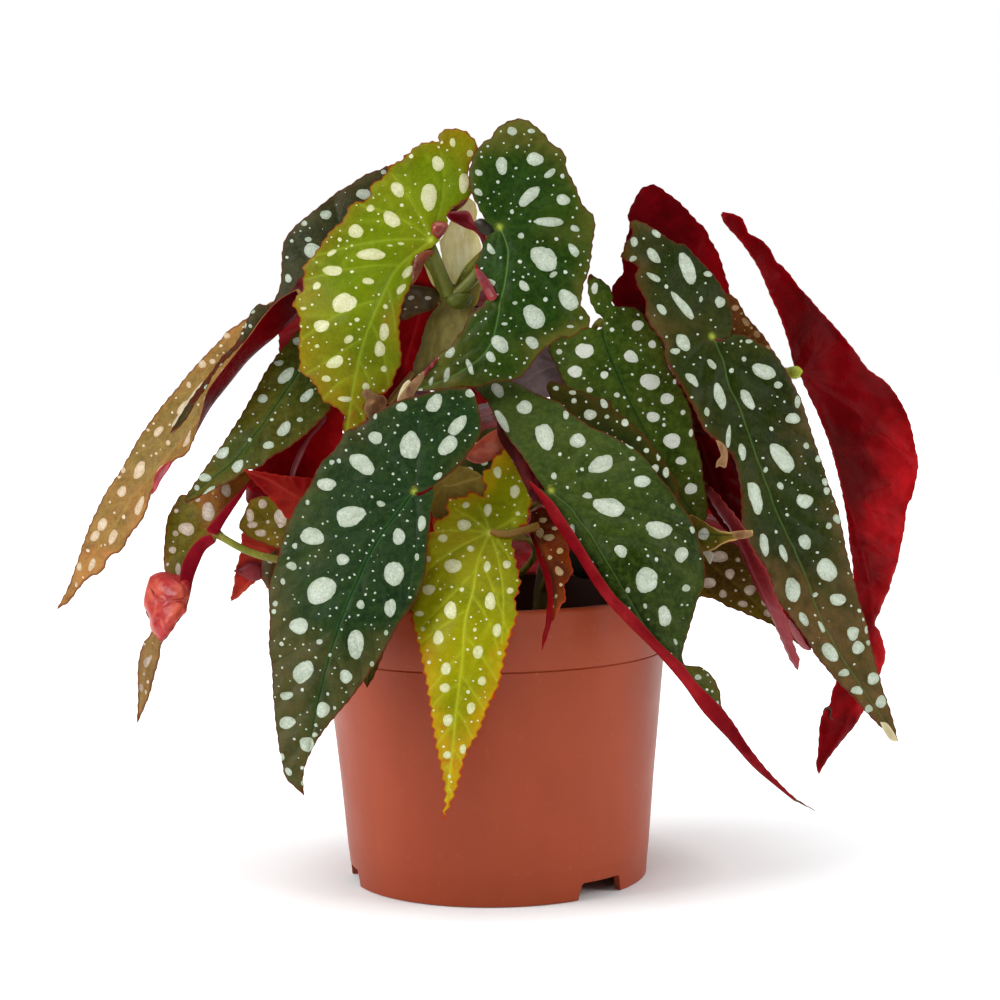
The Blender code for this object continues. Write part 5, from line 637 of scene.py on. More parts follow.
        (364, 195, 7, 5.5, 0), (326, 215, 5.5, 4.5, 0), (305, 224, 3, 3, 0), (384, 173, 3, 2.4, 0), (309, 240, 3.5, 2.5, 0), (313, 251, 9, 7, 0),
        (289, 279, 3.4, 4.2, 0), (288, 258, 1.6, 1.6, 0), (292, 241, 2, 2, 0), (254, 313, 2.4, 2.4, 0), (246, 326, 1.5, 3, 0), (251, 327, 2, 2, 0),
        (243, 334, 1.5, 1.5, 0), (340, 262, 4, 4, 0), (350, 222, 3, 3, 0), (222, 366, 2, 3, 50), (206, 387, 1.6, 3, 55)],
    "leaf_left_tan": [
        (227, 336, 3.5, 3, 0), (222, 347, 1.8, 1.8, 0), (203, 365, 3.8, 4, 0), (213, 362, 3, 2.5, 0), (189, 385, 2.5, 3, 0), (184.5, 408.5, 4, 9, 50),
        (159, 431.6, 4.2, 6, 60), (148, 430, 1.6, 1.6, 0), (168, 442.7, 2.2, 3, 0), (187, 438.6, 2, 9, 65), (139.4, 470.6, 4.5, 10, 60),
        (123, 470, 2.5, 3, 0), (119, 477, 1.7, 1.7, 0), (123, 492, 4, 6, 60), (140, 506, 3.5, 10, 70), (124, 517, 2, 2.5, 0), (102.5, 524.6, 4, 7, 60),
        (95, 536, 4, 6, 55), (113, 537, 3.5, 8, 70), (92.5, 565, 3, 6.5, 75), (80, 567, 2.6, 4, 0), (77, 585, 1.5, 3, 0), (89, 551, 1.8, 1.8, 0),
        (176, 398, 1.3, 1.3, 0), (173, 413, 1.3, 1.3, 0), (199, 405, 1.5, 1.5, 0), (144, 446, 1.3, 1.3, 0), (137, 453, 1.2, 1.2, 0),
        (157, 454, 1.3, 1.3, 0), (152, 456, 1.2, 1.2, 0), (110, 502, 1.3, 1.3, 0), (115, 513, 1.2, 1.2, 0), (101, 545.6, 1.3, 1.3, 0),
        (105.5, 545, 1.2, 1.2, 0), (84, 578, 1.2, 1.2, 0), (160, 470, 3, 6, 60), (208, 398, 2.4, 5, 50), (225, 372, 2.4, 5, 50), (170, 425, 1.4, 1.4, 0)],
    "leaf_left_mid": [
        (286, 376, 10, 5, 40), (307, 396, 8.3, 4.6, 45), (284, 429, 8.7, 5, 50), (269, 446, 5.6, 4, 0), (297, 341, 5, 4, 0), (279, 363, 5, 3.3, 0),
        (263, 399, 5.3, 4.4, 0), (223, 453, 7.7, 4.8, 45), (238, 466, 7.5, 4.6, 50), (205, 478, 6, 4, 0), (197, 488, 2.7, 2.7, 0), (209, 491, 8, 2.4, 40),
        (300, 370, 2, 2, 0), (272, 420, 2, 2, 0), (250, 440, 2.2, 2.2, 0), (300, 420, 3, 2.4, 0), (320, 378, 4, 3, 0)],
    "leaf_left_small": [
        (208, 512, 6, 10, 0), (187, 529, 8, 6.5, 0), (227, 491, 5, 6.5, 0), (176, 533.5, 3, 3, 0), (173, 550, 4, 3.3, 0), (178, 569, 2.5, 6, 0),
        (177, 511, 2.3, 2.3, 0), (168, 564.5, 1.8, 1.8, 0), (144.5, 644, 1.5, 1.5, 0), (147, 662, 3.5, 6, 70), (144, 674, 1.5, 1.5, 0),
        (149, 682, 1.5, 2, 0), (141, 688, 2, 4, 0), (146, 692, 1.2, 2.5, 0), (151, 657, 1.3, 2, 0), (198, 500, 3, 2, 0)],
    "leaf_left_curled": [
        (250.5, 516, 4, 7, 0), (252.7, 525, 5, 3.5, 0), (261, 533, 6, 3.6, 0), (281, 518, 6, 10, 0), (263, 504, 4.5, 4.5, 0), (268, 522, 2, 2, 0)],
    "leaf_centre_small": [
        (543, 520, 4, 3, 0), (555, 529, 3, 2.5, 0), (540, 533, 4, 5.5, 0), (549, 538, 5.5, 4, 0), (560, 552, 3.5, 2.7, 0), (550, 558, 2.3, 2.3, 0),
        (559, 572, 3.7, 5.3, -60), (561, 585, 1.8, 1.8, 0), (552, 606, 2, 2, 0), (556, 596, 1.6, 2, 0)],
    "leaf_right_curl": [(704, 534, 6, 6, 0)],
    "leaf_right_brown": [
        (719, 557, 9, 6, 0), (730, 574, 5, 5, 0), (709, 583, 7, 5.5, 0), (723, 594, 4, 4, 0), (750, 590, 6, 5, 0), (743, 604, 5, 3.4, 0),
        (765, 602, 4, 4, 0), (768, 613, 4.6, 4, 0), (738, 560, 2.6, 2.6, 0), (752, 575, 2.4, 2.4, 0), (785, 620, 3.6, 3, 0), (795, 634, 2.6, 2.6, 0)],
    "leaf_right_shoulder": [
        (735, 308, 4, 3, 0), (746, 322, 5, 3, -50), (757, 334, 4, 3, -45), (768, 348, 3.4, 2.6, 0), (742, 340, 4, 4, 0), (728, 318, 3, 3, 0)],
    "leaf_centre_dark": [
        (470, 470, 3.4, 3, 0), (484, 462, 4, 3.4, 0), (492, 448, 3.4, 3, 0), (476, 452, 2.4, 2.4, 0), (463, 477, 2, 2, 0), (497, 436, 2, 2, 0)],
    "leaf_behind_front_left": [
        (352, 648, 4, 4, 0), (366, 668, 4, 5, 0), (384, 640, 5, 5, 0), (372, 620, 6, 6, 0), (350, 610, 6, 5, 0), (370, 590, 5, 4, 0)],
}
# Spots of the plain angel-wing blade, along its own midrib (mm along, mm across, half sizes)
WING_SPOTS = [
    (-14, 20, 2.6, 2.0, 30), (-17, 32, 2.2, 1.8, 0), (-4, 14, 3.0, 2.2, 60), (-5, 28, 3.6, 2.6, 60), (-4, 39, 2.4, 1.8, 0), (8, 22, 4.2, 2.8, 70),
    (9, 36, 3.0, 2.2, 60), (20, 12, 3.2, 2.2, 50), (22, 27, 4.4, 3.0, 60), (30, 35, 2.4, 1.8, 0), (34, 17, 4.0, 2.6, 45), (44, 27, 3.4, 2.4, 40),
    (49, 10, 3.0, 2.2, 30), (57, 20, 3.6, 2.4, 35), (66, 8, 3.0, 2.0, 20), (72, 17, 2.6, 1.9, 30), (82, 8, 2.6, 1.9, 15), (90, 12, 2.0, 1.5, 0),
    (100, 4.5, 2.2, 1.5, 0), (110, 3.0, 1.7, 1.2, 0), (120, -0.6, 1.3, 0.9, 0), (4, -10, 2.8, 2.0, -60), (8, -22, 3.4, 2.4, -60), (18, -8, 2.8, 2.0, -40),
    (20, -21, 3.6, 2.6, -50), (32, -14, 3.6, 2.4, -40), (36, -24, 2.4, 1.8, 0), (46, -8, 3.0, 2.0, -30), (50, -19, 3.0, 2.2, -35), (62, -12, 3.2, 2.2, -30),
    (70, -5, 2.2, 1.6, 0), (78, -11, 2.8, 1.9, -25), (88, -5, 2.2, 1.6, 0), (96, -8, 1.9, 1.4, 0), (106, -3.4, 1.6, 1.2, 0), (-8, -16, 2.2, 1.7, 0),
    (-3, -25, 2.0, 1.6, 0), (0, 44, 1.2, 0.9, 0), (-22, 24, 1.6, 1.2, 0), (16, 41, 1.4, 1.0, 0), (60, 28, 1.3, 1.0, 0), (28, -27.5, 1.3, 0.9, 0)]

# Turned margins: "F" is the fold along the outline, "E" the free margin lying
# in front of the blade, "rise" and "roll" (mm) how far the fold stands forward.
MORE_FOLDS = {
    "leaf_front_right": [dict(F=[(529, 482), (536, 493), (551, 518), (575, 553), (626, 622), (683, 683), (754, 767), (795, 801)],
                              E=[(531, 481), (554, 503), (563, 516), (573, 531), (585, 550), (593, 563), (614, 594), (634, 614), (662, 645), (683, 665), (695, 681), (718, 704), (734, 724), (749, 747), (767, 770), (795, 799)], rise=1.0, roll=2.0)],
    "leaf_top_centre": [dict(F=[(475, 264), (476, 272), (482, 285), (487, 300)], E=[(477, 264), (486, 277), (492, 286), (496, 297), (488, 300)], rise=1.0, roll=1.6)],
    "leaf_left_small": [dict(F=[(250, 481), (242, 495), (232, 510), (223, 524), (218, 534)], E=[(247, 483), (235, 496), (224, 508), (214, 520), (206, 531), (216, 535)], rise=1.2, roll=1.6, tone_and_painted_light=0.1),
                        dict(F=[(215, 542), (205, 550), (199, 562), (193, 578), (190, 593), (187, 605)], E=[(210, 534), (199, 539), (188, 552), (182, 565), (180, 580), (184, 604)], rise=1.4, roll=1.8, tone_and_painted_light=0.15)],
    "leaf_centre_small": [dict(F=[(530, 534), (538, 559), (546, 585), (547, 612), (542, 650)], E=[(533, 533), (541, 553), (548, 568), (552, 582), (553, 600), (552, 620), (543, 649)], rise=0.8, roll=1.2)],
}

# ------------------------------------------------------------- shared helpers
UNIT = 1 / 2.94                      # millimetres per board unit at the pot axis
_lo, _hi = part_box("pot")
AXIS = np.array([(_lo[0] + _hi[0]) / 2, (_lo[1] + _hi[1]) / 2, 0.0]) * 1000.0


def place(v):
    return (np.asarray(v, float) + AXIS) * 0.001


def seed_of(name):
    return sum((i + 3) * ord(c) for i, c in enumerate(name)) % 9973


def value_noise(p, scale, seed=0):
    """Smooth noise in -1..1 at the points p, one lump about `scale` wide."""
    q = np.asarray(p, float) / scale
    if q.shape[1] == 2:
        q = np.concatenate([q, np.zeros((len(q), 1))], 1)
    i = np.floor(q).astype(np.int64)
    f = q - i
    f = f * f * (3 - 2 * f)
    out = np.zeros(len(q))
    for dx in (0, 1):
        for dy in (0, 1):
            for dz in (0, 1):
                h = (i[:, 0] + dx) * 73856093 ^ (i[:, 1] + dy) * 19349663 ^ (i[:, 2] + dz) * 83492791 ^ (seed * 7919 + 101)
                h = (h ^ (h >> 13)) * 1274126177
                h = ((h ^ (h >> 16)) & 0xFFFFF) / 0xFFFFF
                w = (f[:, 0] if dx else 1 - f[:, 0]) * (f[:, 1] if dy else 1 - f[:, 1]) * (f[:, 2] if dz else 1 - f[:, 2])
                out += w * h
    return out * 2 - 1


def lin(r, g, b):
    """8-bit display colour to the scene's linear values."""
    out = []
    for c in (r, g, b):
        c = c / 255.0
        out.append(c / 12.92 if c <= 0.04045 else ((c + 0.055) / 1.055) ** 2.4)
    return (*out, 1.0)


# ----------------------------------------------------------------- materials
class Mat:
    """A Principled material with a small node vocabulary."""

    def __init__(self, name, rough=0.5, spec=0.5, coat=0.0, coat_rough=0.2, sheen=0.0):
        self.m = bpy.data.materials.new(name)
        self.m.use_nodes = True
        self.t = self.m.node_tree
        self.t.nodes.clear()
        out = self.t.nodes.new("ShaderNodeOutputMaterial")
        self.b = self.t.nodes.new("ShaderNodeBsdfPrincipled")
        self.t.links.new(self.b.outputs[0], out.inputs[0])
        self.b.inputs["Roughness"].default_value = rough
        self.b.inputs["Specular IOR Level"].default_value = spec
        self.b.inputs["Coat Weight"].default_value = coat
        self.b.inputs["Coat Roughness"].default_value = coat_rough
        self.b.inputs["Sheen Weight"].default_value = sheen
        self.co = self.t.nodes.new("ShaderNodeTexCoord").outputs["Object"]

    def put(self, sock, v):
        if hasattr(v, "links"):
            self.t.links.new(v, sock)
        elif isinstance(v, (int, float)) and sock.type == "RGBA":
            sock.default_value = (v, v, v, 1)
        else:
            sock.default_value = v

    def noise(self, scale, detail=3, rough=0.55, dist=0.0, vec=None):
        n = self.t.nodes.new("ShaderNodeTexNoise")
        n.inputs["Scale"].default_value = scale
        n.inputs["Detail"].default_value = detail
        n.inputs["Roughness"].default_value = rough
        n.inputs["Distortion"].default_value = dist
        self.t.links.new(vec if vec is not None else self.co, n.inputs["Vector"])
        return n.outputs["Fac"]

    def cells(self, scale, feature="F1", out="Distance", vec=None):
        n = self.t.nodes.new("ShaderNodeTexVoronoi")
        n.feature = feature
        n.inputs["Scale"].default_value = scale
        self.t.links.new(vec if vec is not None else self.co, n.inputs["Vector"])
        return n.outputs[out]

    def stretch(self, sx, sy, sz):
        n = self.t.nodes.new("ShaderNodeMapping")
        n.inputs["Scale"].default_value = (sx, sy, sz)
        self.t.links.new(self.co, n.inputs["Vector"])
        return n.outputs["Vector"]

    def warp(self, amount, scale):
        n = self.t.nodes.new("ShaderNodeTexNoise")
        n.inputs["Scale"].default_value = scale
        n.inputs["Detail"].default_value = 2.0
        self.t.links.new(self.co, n.inputs["Vector"])
        a = self.t.nodes.new("ShaderNodeVectorMath")
        a.operation = "MULTIPLY_ADD"
        self.t.links.new(n.outputs["Color"], a.inputs[0])
        a.inputs[1].default_value = (amount, amount, amount)
        self.t.links.new(self.co, a.inputs[2])
        return a.outputs[0]

    def attr(self, name):
        n = self.t.nodes.new("ShaderNodeAttribute")
        n.attribute_name = name
        return n.outputs["Fac"]

    def ramp(self, fac, stops, mode="LINEAR"):
        n = self.t.nodes.new("ShaderNodeValToRGB")
        n.color_ramp.interpolation = mode
        e = n.color_ramp.elements
        while len(e) < len(stops):
            e.new(0.5)
        for k, (p, c) in enumerate(stops):
            e[k].position = p
            e[k].color = c if isinstance(c, tuple) else (c, c, c, 1)
        self.t.links.new(fac, n.inputs["Fac"])
        return n.outputs["Color"]

    def mix(self, fac, a, b, mode="MIX"):
        n = self.t.nodes.new("ShaderNodeMix")
        n.data_type = "RGBA"
        n.blend_type = mode
        self.put(n.inputs[0], fac)
        self.put(n.inputs[6], a)
        self.put(n.inputs[7], b)
        return n.outputs[2]

    def math(self, op, a, b=0.0, clamp=False):
        n = self.t.nodes.new("ShaderNodeMath")
        n.operation = op
        n.use_clamp = clamp
        self.put(n.inputs[0], a)
        self.put(n.inputs[1], b)
        return n.outputs[0]

    def bump(self, height, strength, distance, normal=None):
        n = self.t.nodes.new("ShaderNodeBump")
        n.inputs["Strength"].default_value = strength
        n.inputs["Distance"].default_value = distance
        self.t.links.new(height, n.inputs["Height"])
        if normal is not None:
            self.t.links.new(normal, n.inputs["Normal"])
        return n.outputs["Normal"]

    def done(self, color, rough=None, normal=None):
        self.put(self.b.inputs["Base Color"], color)
        if rough is not None:
            self.put(self.b.inputs["Roughness"], rough)
        if normal is not None:
            self.put(self.b.inputs["Normal"], normal)
        return self.m


def leaf_top(name, dark, mid, edge, edge_amount, vein, star, margin, vein_amount=0.3, rib=None, rib_amount=0.6, blotch=None, side_vein=None, mottle=1.0, spec=0.05, heart=None, groove=0.6, ridge=None, ridge_amount=0.6):
    """Upper face: mottled ground colour, riper towards tip and margin (on the slate palette that edge colour is darker
    than the ground, so there it is painted shade), paler veins.
    """
    m = Mat(name, rough=0.42, spec=spec)
    n1 = m.noise(42, 4, 0.55, 0.4)
    n2 = m.noise(170, 4, 0.65, 0.3)
    c = m.mix(m.ramp(n1, [(0.36, 0.0), (0.66, 1.0)]), lin(*dark), lin(*mid))
    # the ripe mix: ripening for most palettes, painted shade where the edge colour is darker than the ground (slate)
    ripe_and_shade = m.ramp(m.math("ADD", m.attr("ripe_and_shade"), m.math("MULTIPLY", m.math("SUBTRACT", m.noise(36, 4, 0.6, 0.7), 0.5), 1.5)), [(0.26, 0.0), (0.84, 1.0)])
    c = m.mix(m.math("MULTIPLY", ripe_and_shade, edge_amount), c, lin(*edge))
    if heart:
        inner = m.math("SUBTRACT", m.math("ADD", m.noise(30, 3, 0.55, 0.6), 0.5), m.attr("ripe_and_shade"))
        c = m.mix(m.math("MULTIPLY", m.ramp(inner, [(0.62, 0.0), (1.05, 1.0)]), 0.75), c, lin(*heart))
    if blotch:
        c = m.mix(m.math("MULTIPLY", m.ramp(m.noise(120, 4, 0.65, 0.6), [(0.56, 0.0), (0.68, 0.7)]), ripe_and_shade), c, lin(*blotch))
    c = m.mix(m.math("MULTIPLY", m.ramp(n2, [(0.36, 0.0), (0.66, 1.0)]), 0.45 * mottle), c, lin(*[int(0.6 * k) for k in dark]))
    c = m.mix(m.math("MULTIPLY", m.ramp(m.noise(520, 4, 0.7), [(0.42, 0.0), (0.66, 1.0)]), 0.3 * mottle), c, lin(*[min(255, int(1.25 * k) + 4) for k in mid]))
    net = m.ramp(m.cells(620, "DISTANCE_TO_EDGE", vec=m.warp(0.0016, 500)), [(0.0, 1.0), (0.09, 0.0)])
    c = m.mix(m.math("MULTIPLY", net, 0.2 * mottle), c, lin(*(side_vein or vein)))
    c = m.mix(m.math("MULTIPLY", m.attr("vein"), vein_amount), c, lin(*(side_vein or vein)))
    if rib:
        c = m.mix(m.math("MULTIPLY", m.attr("midrib"), rib_amount), c, lin(*rib))
        if ridge:
            c = m.mix(m.math("MULTIPLY", m.attr("groove"), ridge_amount), c, lin(*ridge))
        else:
            c = m.mix(m.math("MULTIPLY", m.attr("groove"), groove), c, lin(*[int(0.45 * k) for k in dark]))
    c = m.mix(m.attr("star"), c, lin(*star))
    c = m.mix(m.ramp(m.attr("edge"), [(0.0, 0.95), (0.011, 0.7), (0.026, 0.0)]), c, lin(*margin))
    h = m.math("ADD", m.cells(1100), m.math("MULTIPLY", m.noise(420, 4, 0.6), 0.8))
    nor = m.bump(m.noise(150, 3, 0.5), 0.35, 0.0012)
    nor = m.bump(h, 0.34, 0.00024, nor)
    rough = m.ramp(m.noise(90, 4, 0.6), [(0.3, 0.32), (0.7, 0.5)])
    return m.done(c, rough, nor)


def leaf_spot(name, light, shade, tint):
    """Silvery patches: slightly matte, netted with fine veins, tinted at the border."""
    m = Mat(name, rough=0.45, spec=0.15)
    c = m.mix(m.ramp(m.noise(260, 4, 0.65), [(0.35, 0.0), (0.7, 1.0)]), lin(*light), lin(*shade))
    w = m.warp(0.0018, 420)
    net = m.ramp(m.cells(700, "DISTANCE_TO_EDGE", vec=w), [(0.0, 1.0), (0.1, 0.0)])
    c = m.mix(m.math("MULTIPLY", net, 0.5), c, lin(*tint))
    net2 = m.ramp(m.cells(1900, "DISTANCE_TO_EDGE", vec=w), [(0.0, 1.0), (0.18, 0.0)])
    c = m.mix(m.math("MULTIPLY", net2, 0.42), c, lin(*tint))
    c = m.mix(m.math("MULTIPLY", m.attr("rimspot"), 0.5), c, lin(*tint))
    c = m.mix(m.math("MULTIPLY", m.attr("vein"), 0.35), c, lin(*tint))
    c = m.mix(m.math("MULTIPLY", m.attr("groove"), 0.7), c, lin(*tint))
    nor = m.bump(m.math("ADD", m.cells(1300), m.noise(500, 3, 0.6)), 0.25, 0.0002)
    return m.done(c, m.ramp(m.noise(200, 3, 0.6), [(0.3, 0.38), (0.7, 0.55)]), nor)


def leaf_under(name, deep, mid, bright, vein, bright_at=0.5, vein_amount=0.2, spec=0.02):
    """Underside: satin crimson with raised veins, brighter red in random patches and, from the blade's per-point light
    value, painted light on chosen parts.
    """
    m = Mat(name, rough=0.4, spec=spec)
    n1 = m.noise(34, 4, 0.55, 0.6)
    c = m.mix(m.ramp(n1, [(0.32, 0.0), (0.62, 1.0)]), lin(*deep), lin(*mid))
    # brighter red: random patches plus painted light from the per-point value
    tone_and_painted_light = m.ramp(m.math("ADD", m.attr("tone_and_painted_light"), m.math("MULTIPLY", m.math("SUBTRACT", m.noise(46, 4, 0.55, 0.8), 0.5), 0.9)), [(0.35, 0.0), (0.85, 1.0)])
    c = m.mix(tone_and_painted_light, c, lin(*bright))
    c = m.mix(m.math("MULTIPLY", m.ramp(m.noise(210, 4, 0.65), [(0.35, 0.0), (0.75, 1.0)]), 0.35), c, lin(*[int(0.5 * k) for k in deep]))
    c = m.mix(m.math("MULTIPLY", m.attr("vein"), vein_amount), c, lin(*vein))
    c = m.mix(m.math("MULTIPLY", m.attr("groove"), 0.5), c, lin(*vein))
    c = m.mix(m.ramp(m.attr("edge"), [(0.0, 0.3), (0.02, 0.12), (0.04, 0.0)]), c, lin(*bright))
    nor = m.bump(m.noise(130, 3, 0.5), 0.4, 0.0014)
    nor = m.bump(m.math("ADD", m.cells(900), m.noise(380, 4, 0.6)), 0.3, 0.00022, nor)
    return m.done(c, m.ramp(m.noise(80, 4, 0.6), [(0.3, 0.28), (0.7, 0.5)]), nor)


def leaf_margin(name, a, b):
    m = Mat(name, rough=0.5, spec=0.2)
    c = m.mix(m.ramp(m.noise(160, 3, 0.6), [(0.35, 0.0), (0.65, 1.0)]), lin(*a), lin(*b))
    return m.done(c, None, m.bump(m.noise(600, 3, 0.6), 0.3, 0.0002))


def stem_material(name, a, b, red):
    m = Mat(name, rough=0.42, spec=0.25)
    long = m.stretch(1, 1, 0.25)
    c = m.mix(m.ramp(m.noise(160, 3, 0.6, 0.2, long), [(0.35, 0.0), (0.65, 1.0)]), lin(*a), lin(*b))
    c = m.mix(m.math("MULTIPLY", m.ramp(m.noise(60, 3, 0.6), [(0.4, 0.0), (0.7, 1.0)]), 0.6), c, lin(*red))
    c = m.mix(m.math("MULTIPLY", m.ramp(m.cells(520), [(0.10, 1.0), (0.2, 0.0)]), 0.5), c, lin(188, 176, 128))
    c = m.mix(m.math("MULTIPLY", m.attr("node"), 0.7), c, lin(96, 74, 40))
    return m.done(c, m.ramp(m.noise(120, 3, 0.6), [(0.3, 0.34), (0.7, 0.55)]), m.bump(m.noise(480, 4, 0.6, 0, long), 0.3, 0.0003))


# ------------------------------------------------------------------- blades
def blob(cx, cy, rx, ry, tilt, rng, unit=2.1):
    """Outline of one spot: a slightly uneven ellipse."""
    if tilt:
        rx, ry = max(rx, ry), min(rx, ry)
    n = int(np.clip(2 * math.pi * math.sqrt((rx * rx + ry * ry) / 2) / unit, 6, 30))
    a = np.linspace(0, 2 * math.pi, n, endpoint=False)
    w = 1 + 0.05 * np.sin(2 * a + rng.uniform(0, 6.28)) + 0.045 * np.sin(3 * a + rng.uniform(0, 6.28)) + 0.015 * np.sin(5 * a + rng.uniform(0, 6.28)) + rng.normal(0, 0.02, n)
    x, y = rx * w * np.cos(a), ry * w * np.sin(a)
    t = math.radians(tilt)
    return np.stack([cx + x * math.cos(t) + y * math.sin(t), cy - x * math.sin(t) + y * math.cos(t)], -1)


def ray_hit(p, d, poly):
    """Distance from p along d to the outline."""
    a, b = poly, np.roll(poly, -1, axis=0)
    e = b - a
    den = d[0] * e[:, 1] - d[1] * e[:, 0]
    den = np.where(np.abs(den) < 1e-9, 1e-9, den)
    w = a - p
    t = (w[:, 0] * e[:, 1] - w[:, 1] * e[:, 0]) / den
    s = (w[:, 0] * d[1] - w[:, 1] * d[0]) / den
    ok = (t > 1.0) & (s >= 0) & (s <= 1)
    return t[ok].min() if ok.any() else 0.0


def turn(v, deg):
    c, s = math.cos(math.radians(deg)), math.sin(math.radians(deg))
    return np.array([v[0] * c - v[1] * s, v[0] * s + v[1] * c])


def vein_lines(poly, junction, rib, rng):
    """Midrib, main side veins and their forks, as (points, strength)."""
    mid = even(curve_through([junction] + [r for r in rib if math.dist(r, junction) > 2.0], per=6), step=5.0)
    out = [(mid, 1.0)]
    if len(mid) < 4:
        return out
    length = np.linalg.norm(np.diff(mid, axis=0), axis=1).sum()

    def branch(start, head, fwd, strength, reach=0.93, bend=0.22):
        far = ray_hit(start, head, poly)
        if far < 10:
            return None
        s = np.linspace(0, 1, max(4, int(far / 7)))[:, None]
        sway = np.array([-head[1], head[0]]) * far * rng.uniform(-0.05, 0.05)
        pts = start + head * far * reach * s + fwd * far * bend * s * s + sway * np.sin(s * math.pi)
        out.append((pts, strength))
        return pts
    t0 = mid[min(3, len(mid) - 1)] - mid[0]
    t0 /= np.linalg.norm(t0)
    for side in (1, -1):
        for ang, st in ((38, 0.8), (74, 0.75), (112, 0.7), (148, 0.55)):
            p = branch(np.array(junction, float), turn(t0, side * (ang + rng.uniform(-5, 5))), t0, st)
            if p is not None and len(p) > 5:
                k = len(p) // 2
                fwd = p[k] - p[k - 1]
                fwd /= np.linalg.norm(fwd)
                branch(p[k], turn(fwd, -side * 34), fwd, 0.4, 0.88)
                branch(p[k], turn(fwd, side * 30), fwd, 0.35, 0.85)
        n = max(3, int(length / 38))
        for i in range(n):
            u = (i + 0.75 + (0.35 if side > 0 else 0.0)) / (n + 0.6)
            k = min(len(mid) - 2, max(1, int(u * (len(mid) - 1))))
            fwd = mid[k + 1] - mid[k - 1]
            fwd /= np.linalg.norm(fwd)
            p = branch(mid[k], turn(fwd, side * (46 + rng.uniform(-4, 4))), fwd, 0.6)
            if p is not None and len(p) > 5:
                j = int(len(p) * 0.55)
                f2 = p[j] - p[j - 1]
                f2 /= np.linalg.norm(f2)
                branch(p[j], turn(f2, side * 32), f2, 0.35, 0.85)
    return out


def ripe_and_shade_at(name, v2):
    """Extra ripening towards parts of particular leaves; on the front right leaf it is painted shade that darkens its
    lower part.
    """
    a, b = v2[:, 0], v2[:, 1]
    if name == "leaf_left_small":
        return 0.75 * np.clip((b - 600) / 30.0, 0, 1) + 1.0 * np.clip((a - 180) / 40.0, 0, 1) - 0.3
    if name == "leaf_top_centre":
        return 0.12 * np.exp(-((b - 125) / 50.0) ** 2) + 0.5 * np.clip((480 - a) / 60.0, 0, 1) - 0.1
    if name == "leaf_right_large":
        return 0.55 * np.clip((b - 480) / 240.0, 0, 1) + 0.25 * np.clip((705 - a) / 60.0, 0, 1) - 0.15
    if name == "leaf_front_yellow":
        return 0.6 * np.clip((b - 620) / 140.0, 0, 1) - 0.25 + 0.4 * np.exp(-((b - 455) / 30.0) ** 2)
    if name == "leaf_upper_left":
        return 0.5 * np.exp(-((a - 462) / 22.0) ** 2 - ((b - 145) / 26.0) ** 2) - 0.15
    if name == "leaf_left_tan":
        return 0.8 * np.clip((b - 545) / 60.0, 0, 1) - 0.2
    if name == "leaf_front_left":
        return 0.25 * np.clip((350 - a) / 60.0, 0, 1) + 0.25 * np.clip((b - 620) / 120.0, 0, 1) - 0.2
    # painted shade over the lower part of this leaf: its slate edge colour is darker than its ground
    if name == "leaf_front_right":
        return 1.1 * np.clip((b - 480) / 100.0, 0, 1) * np.clip((700 - a) / 60.0, 0, 1) - 0.3
    return np.zeros(len(v2))


def tone_and_painted_light_at(name, v2):
    """Painted light on an underside: how far it is towards its brighter red, from its place on the blade; lit sides
    and folds of some leaves, an even middle value elsewhere.
    """
    a, b = v2[:, 0], v2[:, 1]
    # painted light: these undersides are lighter towards one side or part; the far right leaf gets painted highlights
    # along its right margin and lower end
    if name == "leaf_far_right":
        return 0.05 + 0.75 * np.clip((a - 842) / 55.0, 0, 1) * np.clip((b - 380) / 60.0, 0, 1) + 0.35 * np.clip((b - 640) / 60.0, 0, 1)
    if name == "leaf_right_back":
        return 0.35 + 0.3 * np.clip((a - 660) / 60.0, 0, 1)
    if name == "leaf_left_red":
        return 0.3 + 0.5 * np.clip((a - 300) / 40.0, 0, 1)
    if name == "leaf_right_folded":
        return 0.2 + 0.6 * np.clip((b - 560) / 60.0, 0, 1)
    return np.full(len(v2), 0.4)


def chain_of(poly, where, arr, fo):
    n = len(poly)
    near = lambda q: where[tuple(map(float, arr[int(np.argmin(((arr - np.array(q)) ** 2).sum(1)))]))]
    i0, i1 = near(fo["F"][0]), near(fo["F"][-1])
    up = [(i0 + k) % n for k in range((i1 - i0) % n + 1)]
    dn = [(i1 + k) % n for k in range((i0 - i1) % n + 1)]
    mid = np.array(fo["F"][len(fo["F"]) // 2], float)
    return up if edge_distance(poly[up], mid[None], False)[0] < edge_distance(poly[dn], mid[None], False)[0] else dn


# parts of a blade that have dried to another colour
ZONES = {
    "leaf_left_small": (lambda a, b: b > 634, "dried"),
    "leaf_front_right": (lambda a, b: (b > 663) & (a > 683), "moss"),
}


